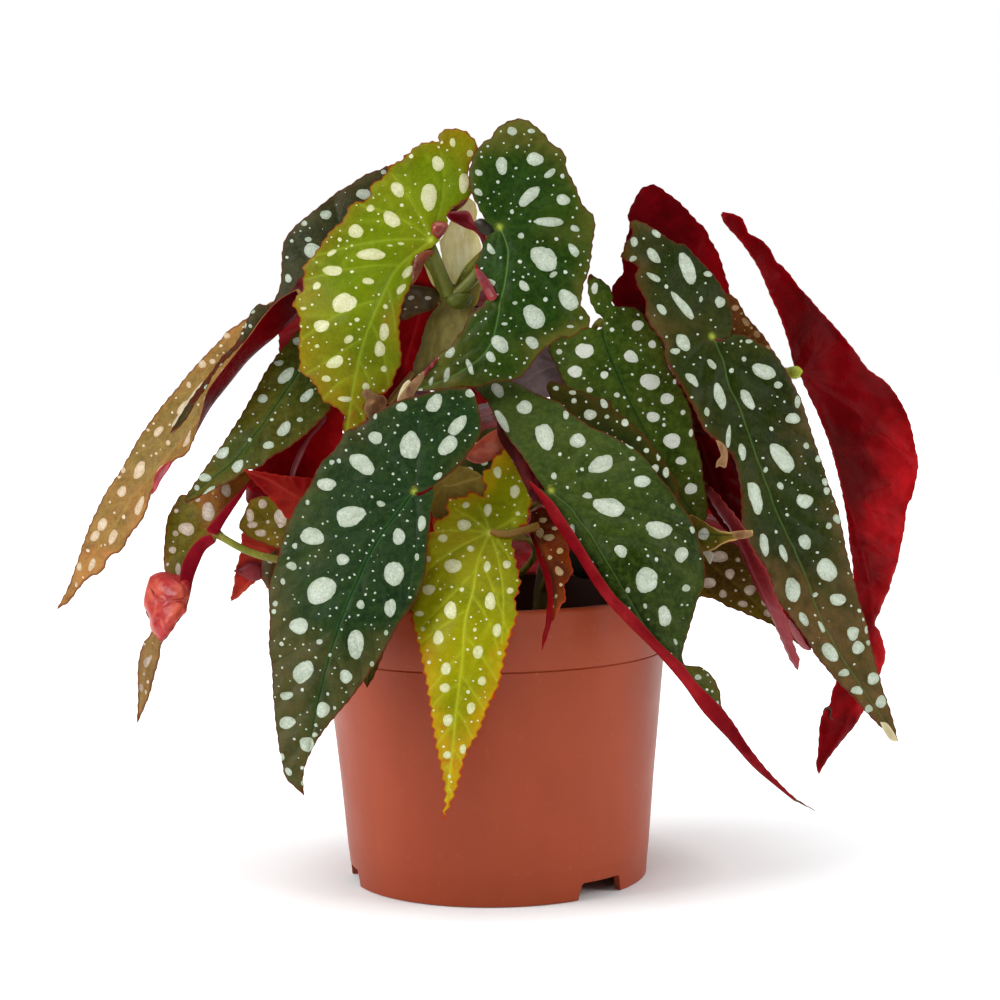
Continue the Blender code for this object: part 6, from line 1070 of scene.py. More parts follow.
def fine_blade(name, step=3.6, grid=5.4, tooth=0.8, dots=0.008, wave=0.6, sink=0.36, puff=0.55, thick=0.45, quilt=0.0, dot_size=(0.45, 1.35), ripeness=0.0):
    """Detailed blade: sheets, fold strips, spot regions, veins and attributes."""
    rng = np.random.default_rng(seed_of(name))
    on_board = name in LEAVES
    if on_board:
        d = LEAVES[name]
        depth = sheet(d["lay"])
        folds = d.get("fold", []) + MORE_FOLDS.get(name, [])
        pins = [d["rib"][-1]] + [f["F"][0] for f in folds] + [f["F"][-1] for f in folds]
        poly, where, arr = ring(d["out"], step, pins, True)
        junction, rib = d["J"], d["rib"]
        spots = [blob(*s, rng) for s in SPOTS.get(name, [])]
        if not spots and d["side"] < 0:
            # the upper face is turned away: scatter its spots along the blade
            lo, hi = poly.min(0), poly.max(0)
            q = np.array([(x, y) for y in np.arange(lo[1], hi[1], 25.0) for x in np.arange(lo[0] + (8 if int(y) % 2 else 0), hi[0], 24.0)])
            q = q + rng.uniform(-6, 6, q.shape)
            q = q[inside(poly, q)]
            q = q[edge_distance(poly, q) > 7.0] if len(q) else q
            spots = [blob(x, y, rng.uniform(5.5, 9.0), rng.uniform(4.2, 6.0), rng.uniform(30, 80), rng) for x, y in q]
    else:
        d = BACK[name]
        sz, fl = d["size"] * 2.94, d["flip"]
        folds = []
        poly, where, arr = ring([(s * sz, t * sz * fl) for s, t in WING], step, [(132 * sz, 0), (0, 0)], True)
        junction, rib = (0.0, 0.0), [(s * sz, 0.0) for s in (6, 20, 40, 60, 80, 100, 120, 131)]
        spots = [blob(s * sz + rng.normal(0, 2.5), t * sz * fl + rng.normal(0, 2.0), a * sz * 1.05, b * sz * 1.05, tl * fl if tl else rng.uniform(-20, 20), rng)
                 for s, t, a, b, tl in WING_SPOTS]
    n = len(poly)
    chains = [chain_of(poly, where, arr, fo) for fo in folds]
    locked = {k for c in chains for k in c} | {k for k in where.values()}
    # toothed margin
    tan = np.roll(poly, -1, 0) - np.roll(poly, 1, 0)
    out = np.stack([tan[:, 1], -tan[:, 0]], -1)
    out /= np.linalg.norm(out, axis=1)[:, None] + 1e-9
    if inside(poly, (poly + out * 1.5)[:40]).mean() > 0.5:
        out = -out
    saw = np.array([(0.9, 0.1, -0.55)[k % 3] for k in range(n)]) * (0.6 + 0.5 * rng.random(n)) * tooth
    free = np.array([0.0 if k in locked else 1.0 for k in range(n)])
    poly = poly + out * (saw * free)[:, None]
    veins = vein_lines(poly, junction, rib, rng)
    # scattered pin-prick dots between the large spots
    lo, hi = poly.min(0), poly.max(0)
    area = 0.5 * abs((poly[:, 0] * np.roll(poly[:, 1], -1) - np.roll(poly[:, 0], -1) * poly[:, 1]).sum())
    if dots:
        q = rng.uniform(lo, hi, (int(area * dots * 2.4) + 8, 2))
        q = q[inside(poly, q)]
        q = q[edge_distance(poly, q) > 2.6]
        for v, st in veins[:1]:
            q = q[edge_distance(v, q, False) > 3.0]
        keep = []
        for p in q:
            if len(keep) >= area * dots:
                break
            if all(np.linalg.norm(p - s.mean(0)) > np.abs(s - s.mean(0)).max() + 3.4 for s in spots) and all(np.linalg.norm(p - o) > 5.0 for o in keep):
                keep.append(p)
        for p in keep:
            r = rng.uniform(*dot_size)
            spots.append(blob(p[0], p[1], r * rng.uniform(0.9, 1.3), r, rng.uniform(-60, 60), rng, 1.3))
    inner = lattice(poly, grid, grid * 0.4)
    extra = []
    for v, st in veins:
        if st < 0.5:
            continue
        e = even(v, step=5.0)
        t = np.gradient(e, axis=0)
        t /= np.linalg.norm(t, axis=1)[:, None] + 1e-9
        nn = np.stack([t[:, 1], -t[:, 0]], -1)
        extra += [e, e + nn * 2.0, e - nn * 2.0]
    e = even(veins[0][0], step=2.2)
    t = np.gradient(e, axis=0)
    t /= np.linalg.norm(t, axis=1)[:, None] + 1e-9
    nn = np.stack([t[:, 1], -t[:, 0]], -1)
    rib_points = np.vstack([e, e + nn * 1.5, e - nn * 1.5, e + nn * 3.2, e - nn * 3.2])
    if extra:
        extra = np.vstack(extra)
        extra = extra[inside(poly, extra)]
        extra = extra[edge_distance(poly, extra) > 1.4]
        if len(inner):
            vv = np.vstack([even(v, step=4.0) for v, st in veins if st >= 0.5])
            far = np.ones(len(inner), bool)
            for k in range(0, len(inner), 2000):
                far[k:k + 2000] = (((inner[k:k + 2000, None] - vv[None]) ** 2).sum(-1)).min(1) > 3.2 ** 2
            inner = inner[far]
        inner = np.vstack([inner, extra])
    rib_points = rib_points[inside(poly, rib_points)]
    rib_points = rib_points[edge_distance(poly, rib_points) > 1.2]
    if len(inner) and len(rib_points):
        inner = inner[edge_distance(veins[0][0], inner, False) > 4.2]
        inner = np.vstack([inner, rib_points])
    # keep the lattice clear of the spot borders
    for s in spots:
        c = s.mean(0)
        r = np.abs(s - c).max() + 2.0
        cand = np.where((np.abs(inner - c) < r).all(1))[0]
        if len(cand):
            bad = cand[edge_distance(s, inner[cand]) < 1.1]
            inner = np.delete(inner, bad, axis=0)
    pts = [poly, inner]
    edges = [(i, (i + 1) % n) for i in range(n)]
    at = n + len(inner)
    for s in spots:
        pts.append(s)
        edges += [(at + i, at + (i + 1) % len(s)) for i in range(len(s))]
        at += len(s)
    pts = np.vstack(pts)
    flip = -1.0 if on_board else 1.0
    res = delaunay_2d_cdt([Vector((p[0], p[1] * flip)) for p in pts], edges, [], 1, 1e-4)
    v2 = np.array([(p.x, p.y * flip) for p in res[0]])
    back = {}
    for i, src in enumerate(res[3]):
        for k in src:
            back[k] = i
    faces = [tuple(f) for f in res[2]]
    cen = np.array([v2[list(f)].mean(0) for f in faces])
    ok = inside(poly, cen)
    faces = [f for f, k in zip(faces, ok) if k]
    cen = cen[ok]
    kind = np.zeros(len(faces), int)
    for s in spots:
        lo2, hi2 = s.min(0), s.max(0)
        cand = np.where(((cen >= lo2) & (cen <= hi2)).all(1))[0]
        if len(cand):
            kind[cand[inside(s, cen[cand])]] = 1
    edge = edge_distance(poly, v2)
    vein = np.zeros(len(v2))
    groove = np.zeros(len(v2))
    puffy = np.full(len(v2), 1e9)
    for v, st in veins:
        dd = edge_distance(v, v2, False)
        vein = np.maximum(vein, st * np.exp(-(dd / 1.5) ** 2))
        groove = np.maximum(groove, (0.35 + 0.65 * st) * np.exp(-(dd / 2.2) ** 2))
        if st > 0.5:
            puffy = np.minimum(puffy, dd)
    dj = np.linalg.norm(v2 - np.array(junction), axis=1)
    star = 0.9 * np.exp(-(dj / 2.9) ** 2)
    mdist = edge_distance(veins[0][0], v2, False)
    far_out = np.clip(dj / (dj.max() + 1e-6), 0, 1)
    midrib = np.exp(-((mdist - 1.6) / 0.8) ** 2) * (1 - 0.6 * far_out)
    groove_line = np.exp(-(mdist / 0.7) ** 2) * (1 - 0.4 * far_out)
    vein = np.maximum(vein, 0.9 * np.exp(-(puffy / 1.6) ** 2) * np.exp(-(dj / 26.0) ** 2))
    # ripe value: ripening towards tip, margin and chosen parts; painted shade on the front right leaf
    ripe_and_shade = 0.6 * np.clip(dj / (dj.max() + 1e-6), 0, 1) + 0.5 * np.exp(-edge / 14.0) + 0.3 * value_noise(v2, 46.0, seed_of(name) + 9) + ripeness + ripe_and_shade_at(name, v2)
    # per-point value for the underside's painted light
    tone_and_painted_light = np.clip(tone_and_painted_light_at(name, v2), 0, 1)
    rimspot = np.zeros(len(v2))
    for s in spots:
        c = s.mean(0)
        r = np.abs(s - c).max() + 1.0
        cand = np.where((np.abs(v2 - c) < r).all(1))[0]
        if len(cand) and r > 3.5:
            rimspot[cand[edge_distance(s, v2[cand]) < 0.3]] = 1.0
    edge = edge + 14.0 * np.exp(-(dj / 15.0) ** 2)
    margin_phase = value_noise(v2, 26.0, seed_of(name) + 5)
    disp = -sink * groove + puff * (1 - np.exp(-(puffy / 9.0) ** 2)) * (0.75 + 0.25 * value_noise(v2, 17.0, seed_of(name))) \
        + 0.16 * value_noise(v2, 9.0, seed_of(name) + 1) + quilt * value_noise(v2, 13.0, seed_of(name) + 3) + wave * margin_phase * np.exp(-edge / 16.0)
    if name == "leaf_far_right":
        zone = np.clip((v2[:, 0] - 838) / 40.0, 0, 1) * np.clip((v2[:, 1] - 390) / 60.0, 0, 1)
        fold = value_noise(v2 * np.array([0.55, 1.0]), 21.0, 77)
        disp = disp + zone * (1.5 * fold - 1.1 * np.exp(-(fold / 0.12) ** 2)) + 0.8 * value_noise(v2 * np.array([1.0, 0.5]), 26.0, 78)
    disp *= np.clip(edge / 3.0, 0.25, 1)
    m0 = len(v2)
    if on_board:
        for c in chains:
            disp *= np.clip(edge_distance(poly[c], v2, False) / 8.0, 0, 1)
        v3 = sight(v2[:, 0], v2[:, 1], depth(v2[:, 0], v2[:, 1]))
    else:
        v3 = drape(v2 * UNIT, d)
    if (on_board and d["side"] < 0) or (not on_board and np.cross(v3[faces[0][1]] - v3[faces[0][0]], v3[faces[0][2]] - v3[faces[0][0]])[2] < 0):
        faces = [tuple(reversed(f)) for f in faces]
        turned_over = True
    else:
        turned_over = False
    _, _, _, _, nrm = thicken(v3, faces, 0.4)
    v3 = v3 + nrm * disp[:, None]
    if on_board:
        for fo, c in zip(folds, chains):
            work = [tuple(reversed(f)) for f in faces] if turned_over else faces
            v2, v3, new = fold_strip(v2, v3, work, [back[k] for k in c], fo, depth, 7)
            if turned_over:
                new = [tuple(reversed(f)) for f in new]
            faces = faces + new
            kind = np.concatenate([kind, np.zeros(len(new), int)])
            ext = len(v2) - len(edge)
            e2 = even(curve_through(fo["E"], per=6), step=3.0)
            edge = np.concatenate([edge, edge_distance(e2, v2[-ext:], False) + 0.4]) if ext else edge
            edge[[back[k] for k in c]] = 6.0
            vein = np.concatenate([vein, np.zeros(ext)])
            star = np.concatenate([star, np.zeros(ext)])
            midrib = np.concatenate([midrib, np.zeros(ext)])
            groove_line = np.concatenate([groove_line, np.zeros(ext)])
            ripe_and_shade = np.concatenate([ripe_and_shade, np.zeros(ext)])
            rimspot = np.concatenate([rimspot, np.zeros(ext)])
            tone_and_painted_light = np.concatenate([tone_and_painted_light, np.full(ext, fo.get("tone_and_painted_light", 0.45))])
    used = sorted({i for f in faces for i in f})
    remap = {o: i for i, o in enumerate(used)}
    faces = [tuple(remap[i] for i in f) for f in faces]
    edge, vein, star, v2, v3 = edge[used], vein[used], star[used], v2[used], v3[used]
    midrib, groove_line, ripe_and_shade, rimspot, tone_and_painted_light = midrib[used], groove_line[used], ripe_and_shade[used], rimspot[used], tone_and_painted_light[used]
    t = thick * (0.5 + 0.5 * np.clip(edge / 6.0, 0, 1))
    allv, top, low, rim, nrm = thicken(v3, faces, t)
    if name in ZONES:
        mid = np.array([v2[list(f)].mean(0) for f in faces])
        kind = np.where((kind == 0) & ZONES[name][0](mid[:, 0], mid[:, 1]), 4, kind)
    mats = kind.tolist() + [2] * len(low) + [3] * len(rim)
    attrs = {"edge": np.tile(np.clip(edge * UNIT / 25.0, 0, 1), 2), "vein": np.tile(vein, 2), "star": np.tile(star, 2),
             "midrib": np.tile(midrib, 2), "groove": np.tile(groove_line, 2), "ripe_and_shade": np.tile(ripe_and_shade, 2), "rimspot": np.tile(rimspot, 2), "tone_and_painted_light": np.tile(tone_and_painted_light, 2)}
    return allv, top + low + rim, mats, attrs


def piece(name, verts_mm, faces, mats, which=None, attrs=None, smooth=True, node=(), sharp=55):
    me = bpy.data.meshes.new(name)
    me.from_pydata(place(verts_mm).tolist(), [], [list(map(int, f)) for f in faces])
    for m in mats:
        me.materials.append(m)
    if which is not None:
        me.polygons.foreach_set("material_index", np.array(which, np.int32))
    for k, v in (attrs or {}).items():
        a = me.attributes.new(k, "FLOAT", "POINT")
        a.data.foreach_set("value", np.asarray(v, np.float32))
    me.update()
    ob = bpy.data.objects.new(name, me)
    bpy.context.collection.objects.link(ob)
    if smooth:
        me.shade_smooth()
        me.set_sharp_from_angle(angle=math.radians(sharp))
    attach(ob, "root")
    if node:
        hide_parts(*([node] if isinstance(node, str) else node))
    return ob


# ------------------------------------------------------- small odds and ends
def depth_on(leaf, off):
    """Depth that follows the sheet of one leaf at a constant distance."""
    f = sheet(LEAVES[leaf]["lay"])
    return lambda a, b: f(a, b) + off


def patch(name, out, y, mats, bulge=1.0, grid=2.6, thick=0.4, spots=(), wrinkle=0.25, tip=None, node=(), tone_and_painted_light=0.4):
    """A small domed scrap of blade: outline on the board, depth, dome and creases."""
    rng = np.random.default_rng(seed_of(name))
    poly, _, _ = ring(out, 1.7, [out[0]] + ([tip] if tip else []), True)
    blobs = [blob(*s, rng) for s in spots]
    inner = lattice(poly, grid, grid * 0.4)
    for s in blobs:
        if len(inner):
            inner = inner[~((edge_distance(s, inner) < 0.8))]
    pts, edges = [poly, inner] if len(inner) else [poly], [(i, (i + 1) % len(poly)) for i in range(len(poly))]
    at = sum(len(p) for p in pts)
    for s in blobs:
        pts.append(s)
        edges += [(at + i, at + (i + 1) % len(s)) for i in range(len(s))]
        at += len(s)
    res = delaunay_2d_cdt([Vector((p[0], -p[1])) for p in np.vstack(pts)], edges, [], 1, 1e-4)
    v2 = np.array([(p.x, -p.y) for p in res[0]])
    faces = [tuple(f) for f in res[2]]
    cen = np.array([v2[list(f)].mean(0) for f in faces])
    ok = inside(poly, cen)
    faces = [f for f, k in zip(faces, ok) if k]
    cen = cen[ok]
    kind = np.zeros(len(faces), int)
    for s in blobs:
        kind[inside(s, cen)] = 1
    edge = edge_distance(poly, v2)
    w = max(edge.max(), 1e-3)
    dome = np.sqrt(np.clip(1 - (1 - np.clip(edge / w, 0, 1)) ** 2, 0, 1))
    base = y(v2[:, 0], v2[:, 1]) if callable(y) else np.full(len(v2), float(y))
    d = base - bulge * dome + wrinkle * value_noise(v2, 7.0, seed_of(name)) * dome + 0.5 * wrinkle * value_noise(v2, 3.5, seed_of(name) + 1) * dome
    v3 = sight(v2[:, 0], v2[:, 1], d)
    p = v3[list(faces[0])]
    if np.cross(p[1] - p[0], p[2] - p[0])[1] > 0:
        faces = [tuple(reversed(f)) for f in faces]
    allv, top, low, rim, _ = thicken(v3, faces, thick * (0.55 + 0.45 * np.clip(edge / 4.0, 0, 1)))
    if len(mats) == 1:
        mats = [mats[0]] * 3
    which = kind.tolist() + [2] * (len(low) + len(rim))
    attrs = {"edge": np.tile(np.clip(edge * UNIT / 25.0, 0, 1), 2), "tone_and_painted_light": np.full(len(allv), tone_and_painted_light), "ripe_and_shade": np.full(len(allv), 0.5)}
    return piece(name, allv, top + low + rim, mats, which, attrs, node=node)


def cord(name, pts, mat, node=(), sides=14, step=1.0, lump=0.05):
    """A round stalk or ridge through (a, b, depth, radius) points."""
    p = np.array([sight(a, b, y) for a, b, y, r in pts])
    line = even(curve_through([tuple(q) for q in p], per=8), step=step)
    k = np.linspace(0, 1, len(line))
    s = np.concatenate([[0], np.cumsum(np.linalg.norm(np.diff(p, axis=0), axis=1))])
    r = np.interp(k * s[-1], s, [q[3] for q in pts])
    r = r + lump * value_noise(line, 4.0, seed_of(name))
    v, f = tube_rings(line, r, sides)
    return piece(name, v, f, [mat], None, {}, node=node)


def flesh(name, dark, mid, light, rough=0.4, spec=0.25, fibre=False, rim_light=0.5):
    m = Mat(name, rough=rough, spec=spec)
    n = m.noise(160, 4, 0.6, 0.5)
    c = m.mix(m.ramp(n, [(0.35, 0.0), (0.68, 1.0)]), lin(*dark), lin(*mid))
    c = m.mix(m.math("MULTIPLY", m.ramp(m.noise(90, 3, 0.6, 0.8), [(0.48, 0.0), (0.68, 1.0)]), 0.75), c, lin(*light))
    c = m.mix(m.ramp(m.attr("edge"), [(0.0, rim_light), (0.03, 0.0)]), c, lin(*light))
    h = m.noise(300, 4, 0.6, 0.3, m.stretch(1.0, 1.0, 0.15)) if fibre else m.noise(260, 4, 0.6)
    if fibre:
        c = m.mix(m.math("MULTIPLY", m.ramp(h, [(0.4, 0.0), (0.65, 1.0)]), 0.4), c, lin(*light))
    return m.done(c, m.ramp(m.noise(80, 3, 0.6), [(0.3, rough - 0.08), (0.7, rough + 0.1)]), m.bump(h, 0.5, 0.0006))


def cord_on(name, leaf, off, pts, mat):
    """A cord lying on one leaf: (a, b, radius) points."""
    f = depth_on(leaf, off)
    return cord(name, [(a, b, float(f(a, b)), r) for a, b, r in pts], mat)

# ------------------------------------------------------------ leaf materials
GREEN = dict(dark=(22, 42, 8), mid=(46, 64, 16), edge=(82, 72, 22), edge_amount=0.85, vein=(66, 100, 26), star=(164, 172, 62), margin=(84, 32, 12), rib=(58, 108, 50), vein_amount=0.3, rib_amount=0.4, side_vein=(18, 38, 6))
DEEP = dict(GREEN, dark=(20, 34, 4), mid=(42, 54, 14), edge=(80, 68, 22), edge_amount=0.75)
OLIVE = dict(GREEN, dark=(24, 32, 0), mid=(52, 54, 10), edge=(106, 76, 36), edge_amount=0.9, blotch=(92, 62, 34), heart=(26, 44, 2), vein=(70, 96, 22), rib=(22, 40, 4), rib_amount=0.35, ridge=(98, 132, 60), ridge_amount=0.35)
# a lighter copy of the green for a leaf lying in its neighbours' shade: painted light
PAINTED_LIGHT_GREEN = dict(GREEN, dark=(56, 80, 18), mid=(94, 116, 40), edge=(98, 84, 28), edge_amount=0.5, vein=(100, 140, 46))
CROWN = dict(GREEN, dark=(24, 44, 4), mid=(48, 68, 12), edge=(96, 90, 34), edge_amount=0.95, vein=(88, 122, 46), side_vein=(58, 88, 28), rib=(22, 46, 12), rib_amount=0.3, heart=(20, 48, 12), ridge=(112, 150, 76), ridge_amount=0.5)
FRONT = dict(GREEN, dark=(22, 42, 12), mid=(50, 66, 26), edge=(88, 76, 42), edge_amount=0.85, side_vein=(22, 46, 26), vein_amount=0.45, heart=(26, 50, 26))
# slate: the edge colour is darker than the ground, so its ripe mix is painted shade on the front right leaf
SLATE = dict(GREEN, dark=(34, 52, 8), mid=(66, 80, 28), edge=(24, 38, 0), edge_amount=0.9, rib=(26, 44, 8), rib_amount=0.35, ridge=(92, 122, 54), ridge_amount=0.5)
LIME = dict(heart=(96, 120, 4), dark=(88, 102, 0), mid=(122, 128, 14), edge=(140, 106, 8), edge_amount=0.7, mottle=0.45, vein=(152, 172, 44), star=(196, 206, 80), margin=(132, 52, 14), vein_amount=0.6, blotch=(132, 76, 20))
YELLOW = dict(dark=(110, 114, 0), mid=(142, 138, 4), edge=(184, 140, 14), edge_amount=0.85, mottle=0.45, vein=(184, 192, 44), star=(206, 210, 90), margin=(160, 40, 14), vein_amount=0.6, blotch=(170, 70, 20))
TAN = dict(dark=(116, 90, 38), mid=(138, 114, 60), edge=(178, 114, 58), edge_amount=0.8, vein=(176, 140, 74), star=(186, 160, 80), margin=(104, 48, 18), vein_amount=0.3, blotch=(110, 62, 26))
SHOULDER = dict(dark=(54, 28, 4), mid=(82, 46, 12), edge=(106, 56, 20), edge_amount=0.8, vein=(120, 80, 30), star=(150, 150, 50), margin=(104, 44, 18))
DRIED = dict(dark=(104, 76, 34), mid=(132, 104, 62), edge=(140, 100, 56), edge_amount=0.5, vein=(160, 130, 80), star=(186, 160, 80), margin=(104, 48, 18))
BRONZE = dict(dark=(50, 28, 6), mid=(80, 56, 12), edge=(104, 90, 18), edge_amount=0.8, vein=(100, 90, 30), star=(150, 150, 50), margin=(96, 40, 18), blotch=(96, 40, 20))
CURL = dict(GREEN, dark=(70, 72, 10), mid=(106, 106, 30), edge=(164, 112, 44), edge_amount=0.9, margin=(200, 160, 92))
BROWN = dict(dark=(46, 42, 2), mid=(80, 68, 8), edge=(116, 86, 14), edge_amount=0.9, vein=(112, 108, 30), star=(150, 150, 50), margin=(104, 44, 18))
RUST = dict(dark=(70, 16, 6), mid=(112, 40, 12), edge=(138, 62, 16), edge_amount=0.9, vein=(146, 80, 24), star=(160, 130, 40), margin=(166, 50, 16))
TURNING = dict(dark=(68, 62, 2), mid=(96, 82, 10), edge=(140, 70, 28), edge_amount=1.0, vein=(120, 116, 30), star=(150, 150, 50), margin=(104, 44, 18), blotch=(140, 60, 24))
GREY = dict(GREEN, dark=(36, 40, 18), mid=(62, 62, 34), edge=(78, 64, 36), edge_amount=0.7, vein=(84, 96, 50))
MOSS = dict(GREEN, dark=(44, 54, 8), mid=(74, 80, 18), edge=(96, 76, 22), edge_amount=0.7, vein=(104, 122, 36))

TOPS = {k: leaf_top("top_" + k, **v) for k, v in dict(green=GREEN, deep=DEEP, olive=OLIVE, lime=LIME, yellow=YELLOW, tan=TAN, brown=BROWN, rust=RUST, grey=GREY, moss=MOSS, painted_light_green=PAINTED_LIGHT_GREEN, turning=TURNING, crown=CROWN, slate=SLATE, front=FRONT, shoulder=SHOULDER, bronze=BRONZE, curl=CURL, dried=DRIED).items()}
SPOT = {
    "silver": leaf_spot("spot_silver", (204, 212, 198), (178, 188, 170), (128, 140, 112)),
    "white": leaf_spot("spot_white", (240, 246, 232), (214, 224, 204), (160, 172, 140)),
    "cream": leaf_spot("spot_cream", (226, 226, 194), (206, 206, 164), (174, 174, 96)),
    # chalk: whiter spots for a leaf lying in shade, painted light; they also glow, below
    "chalk_with_painted_glow": leaf_spot("spot_chalk", (255, 255, 250), (240, 248, 234), (190, 204, 168)),
    "shell": leaf_spot("spot_shell", (226, 210, 184), (208, 188, 156), (176, 142, 102)),
    "ash": leaf_spot("spot_ash", (206, 194, 178), (180, 164, 146), (136, 108, 82)),
    "fawn": leaf_spot("spot_fawn", (186, 158, 120), (160, 126, 90), (128, 88, 46)),
    "sand": leaf_spot("spot_sand", (222, 206, 166), (204, 182, 136), (172, 134, 80)),
}
UNDER = {
    "red": leaf_under("under_red", (84, 0, 2), (116, 0, 6), (168, 6, 14), (136, 14, 18)),
    "dark": leaf_under("under_dark", (66, 0, 4), (94, 0, 6), (130, 6, 12), (120, 18, 22)),
    "bright": leaf_under("under_bright", (90, 2, 10), (124, 10, 20), (160, 36, 40), (150, 44, 44)),
    "rose": leaf_under("under_rose", (118, 6, 22), (150, 20, 38), (182, 60, 66), (168, 54, 60)),
    # lit: a lighter copy of the red underside for inner leaves lying in shade, painted light
    "lit": leaf_under("under_lit", (124, 0, 6), (160, 4, 16), (196, 26, 30), (180, 40, 40)),
    "crimson": leaf_under("under_crimson", (70, 0, 0), (106, 0, 6), (170, 16, 22), (118, 10, 16), vein_amount=0.14),
    "rosy": leaf_under("under_rosy", (104, 6, 6), (134, 14, 14), (166, 50, 34), (150, 50, 36), vein_amount=0.2),
    # coral: the red underside made lighter for a leaf lying in shade, painted light
    "coral": leaf_under("under_coral", (164, 24, 24), (190, 52, 42), (216, 96, 66), (200, 84, 64), vein_amount=0.25),
    "plum": leaf_under("under_plum", (84, 14, 16), (122, 30, 36), (156, 70, 76), (150, 76, 80)),
    "mauve": leaf_under("under_mauve", (84, 66, 66), (114, 96, 96), (164, 146, 146), (140, 122, 118), spec=0.15),
    "olive": leaf_under("under_olive", (104, 84, 28), (140, 118, 50), (172, 148, 80), (172, 148, 82)),
}
RIM = {
    "brown": leaf_margin("rim_brown", (80, 34, 16), (112, 48, 24)),
    "red": leaf_margin("rim_red", (124, 24, 14), (156, 44, 24)),
    "pale": leaf_margin("rim_pale", (184, 146, 84), (212, 184, 124)),
    "tan": leaf_margin("rim_tan", (116, 62, 26), (146, 88, 44)),
}
# painted light: the chalk spots glow faintly so they stay bright where their leaf lies in shade
for key, painted_glow_strength in (("chalk_with_painted_glow", 0.14),):
    node = SPOT[key].node_tree.nodes["Principled BSDF"]
    node.inputs["Emission Color"].default_value = (0.80, 0.86, 0.74, 1.0)
    node.inputs["Emission Strength"].default_value = painted_glow_strength
# blade: (upper face, spots, underside, rim, other settings)
DRESS = {
    "leaf_front_left": ("front", "silver", "red", "brown", dict(tooth=0.5, sink=0.55, puff=0.9, quilt=0.25)),
    "leaf_front_right": ("slate", "silver", "bright", "brown", dict(tooth=0.5, sink=0.5, puff=0.8, quilt=0.25)),
    "leaf_upper_left": ("lime", "cream", "red", "red", dict(tooth=1.1, wave=0.8)),
    "leaf_top_centre": ("crown", "silver", "bright", "brown", dict(tooth=0.8, sink=0.5, puff=0.8)),
    "leaf_front_yellow": ("yellow", "cream", "red", "red", dict(tooth=2.2, wave=0.9, dots=0.007)),
    "leaf_right_large": ("olive", "silver", "red", "brown", dict(tooth=0.7, puff=0.9, quilt=0.4, wave=0.9)),
    # painted light: this shaded leaf gets the lighter green and the glowing chalk spots
    "leaf_mid_right": ("painted_light_green", "chalk_with_painted_glow", "red", "brown", {}),
    "leaf_mid_right_lower": ("deep", "white", "red", "brown", {}),
    "leaf_far_right": ("green", "silver", "crimson", "red", dict(puff=1.0, wave=0.9, tooth=0.5)),
    "leaf_right_back": ("brown", "silver", "dark", "brown", {}),
    "leaf_right_shoulder": ("shoulder", "fawn", "red", "brown", dict(dots=0.012)),
    "leaf_upper_left_far": ("grey", "silver", "dark", "brown", dict(tooth=0.6)),
    "leaf_left_tan": ("tan", "shell", "dark", "tan", dict(tooth=0.7, wave=0.7)),
    "leaf_left_mid": ("moss", "silver", "red", "brown", {}),
    "leaf_left_small": ("turning", "ash", "rose", "brown", dict(tooth=0.5)),
    "leaf_left_red": ("deep", "silver", "lit", "red", {}),
    "leaf_left_curled": ("brown", "ash", "dark", "brown", {}),
    "leaf_left_flap": ("deep", "silver", "rosy", "red", {}),
    "leaf_low_left": ("deep", "silver", "coral", "tan", {}),
    "leaf_inner_red": ("deep", "silver", "lit", "red", {}),
    "leaf_centre_small": ("rust", "sand", "dark", "red", dict(tooth=1.0)),
    "leaf_right_folded": ("deep", "silver", "plum", "red", dict(sink=0.6)),
    "leaf_right_dark": ("deep", "silver", "dark", "red", dict(sink=0.7, puff=0.5)),
    "leaf_right_curl": ("curl", "white", "plum", "pale", dict(tooth=0.5)),
    "leaf_right_brown": ("bronze", "ash", "red", "brown", dict(tooth=0.9)),
    "leaf_centre_dark": ("deep", "white", "dark", "brown", {}),
    "leaf_centre_olive": ("deep", "silver", "olive", "brown", {}),
    "leaf_purple": ("deep", "silver", "mauve", "brown", {}),
    "leaf_behind_front_left": ("deep", "silver", "dark", "brown", {}),
    "leaf_back_left_high": ("green", "silver", "red", "brown", {}),
    "leaf_back_centre_high": ("green", "silver", "red", "brown", {}),
    "leaf_back_right_high": ("olive", "silver", "red", "brown", {}),
    "leaf_back_left_mid": ("olive", "silver", "red", "brown", {}),
    "leaf_back_centre_mid": ("green", "silver", "red", "brown", {}),
    "leaf_back_right_mid": ("green", "silver", "red", "brown", {}),
    "leaf_back_left_low": ("lime", "cream", "red", "brown", dict(tooth=1.0)),
    "leaf_back_centre_low": ("deep", "silver", "red", "brown", {}),
    "leaf_back_right_low": ("olive", "silver", "red", "brown", {}),
}
for name, (top, spot, under, rim, more) in DRESS.items():
    if name in BACK:
        more = dict(dict(step=4.2, grid=6.6, dots=0.004), **more)
    v, f, which, attrs = fine_blade(name, **more)
    ob = piece(name + "_blade", v, f, [TOPS[top], SPOT[spot], UNDER[under], RIM[rim]] + ([TOPS[ZONES[name][1]]] if name in ZONES else []), which, attrs, node=name)

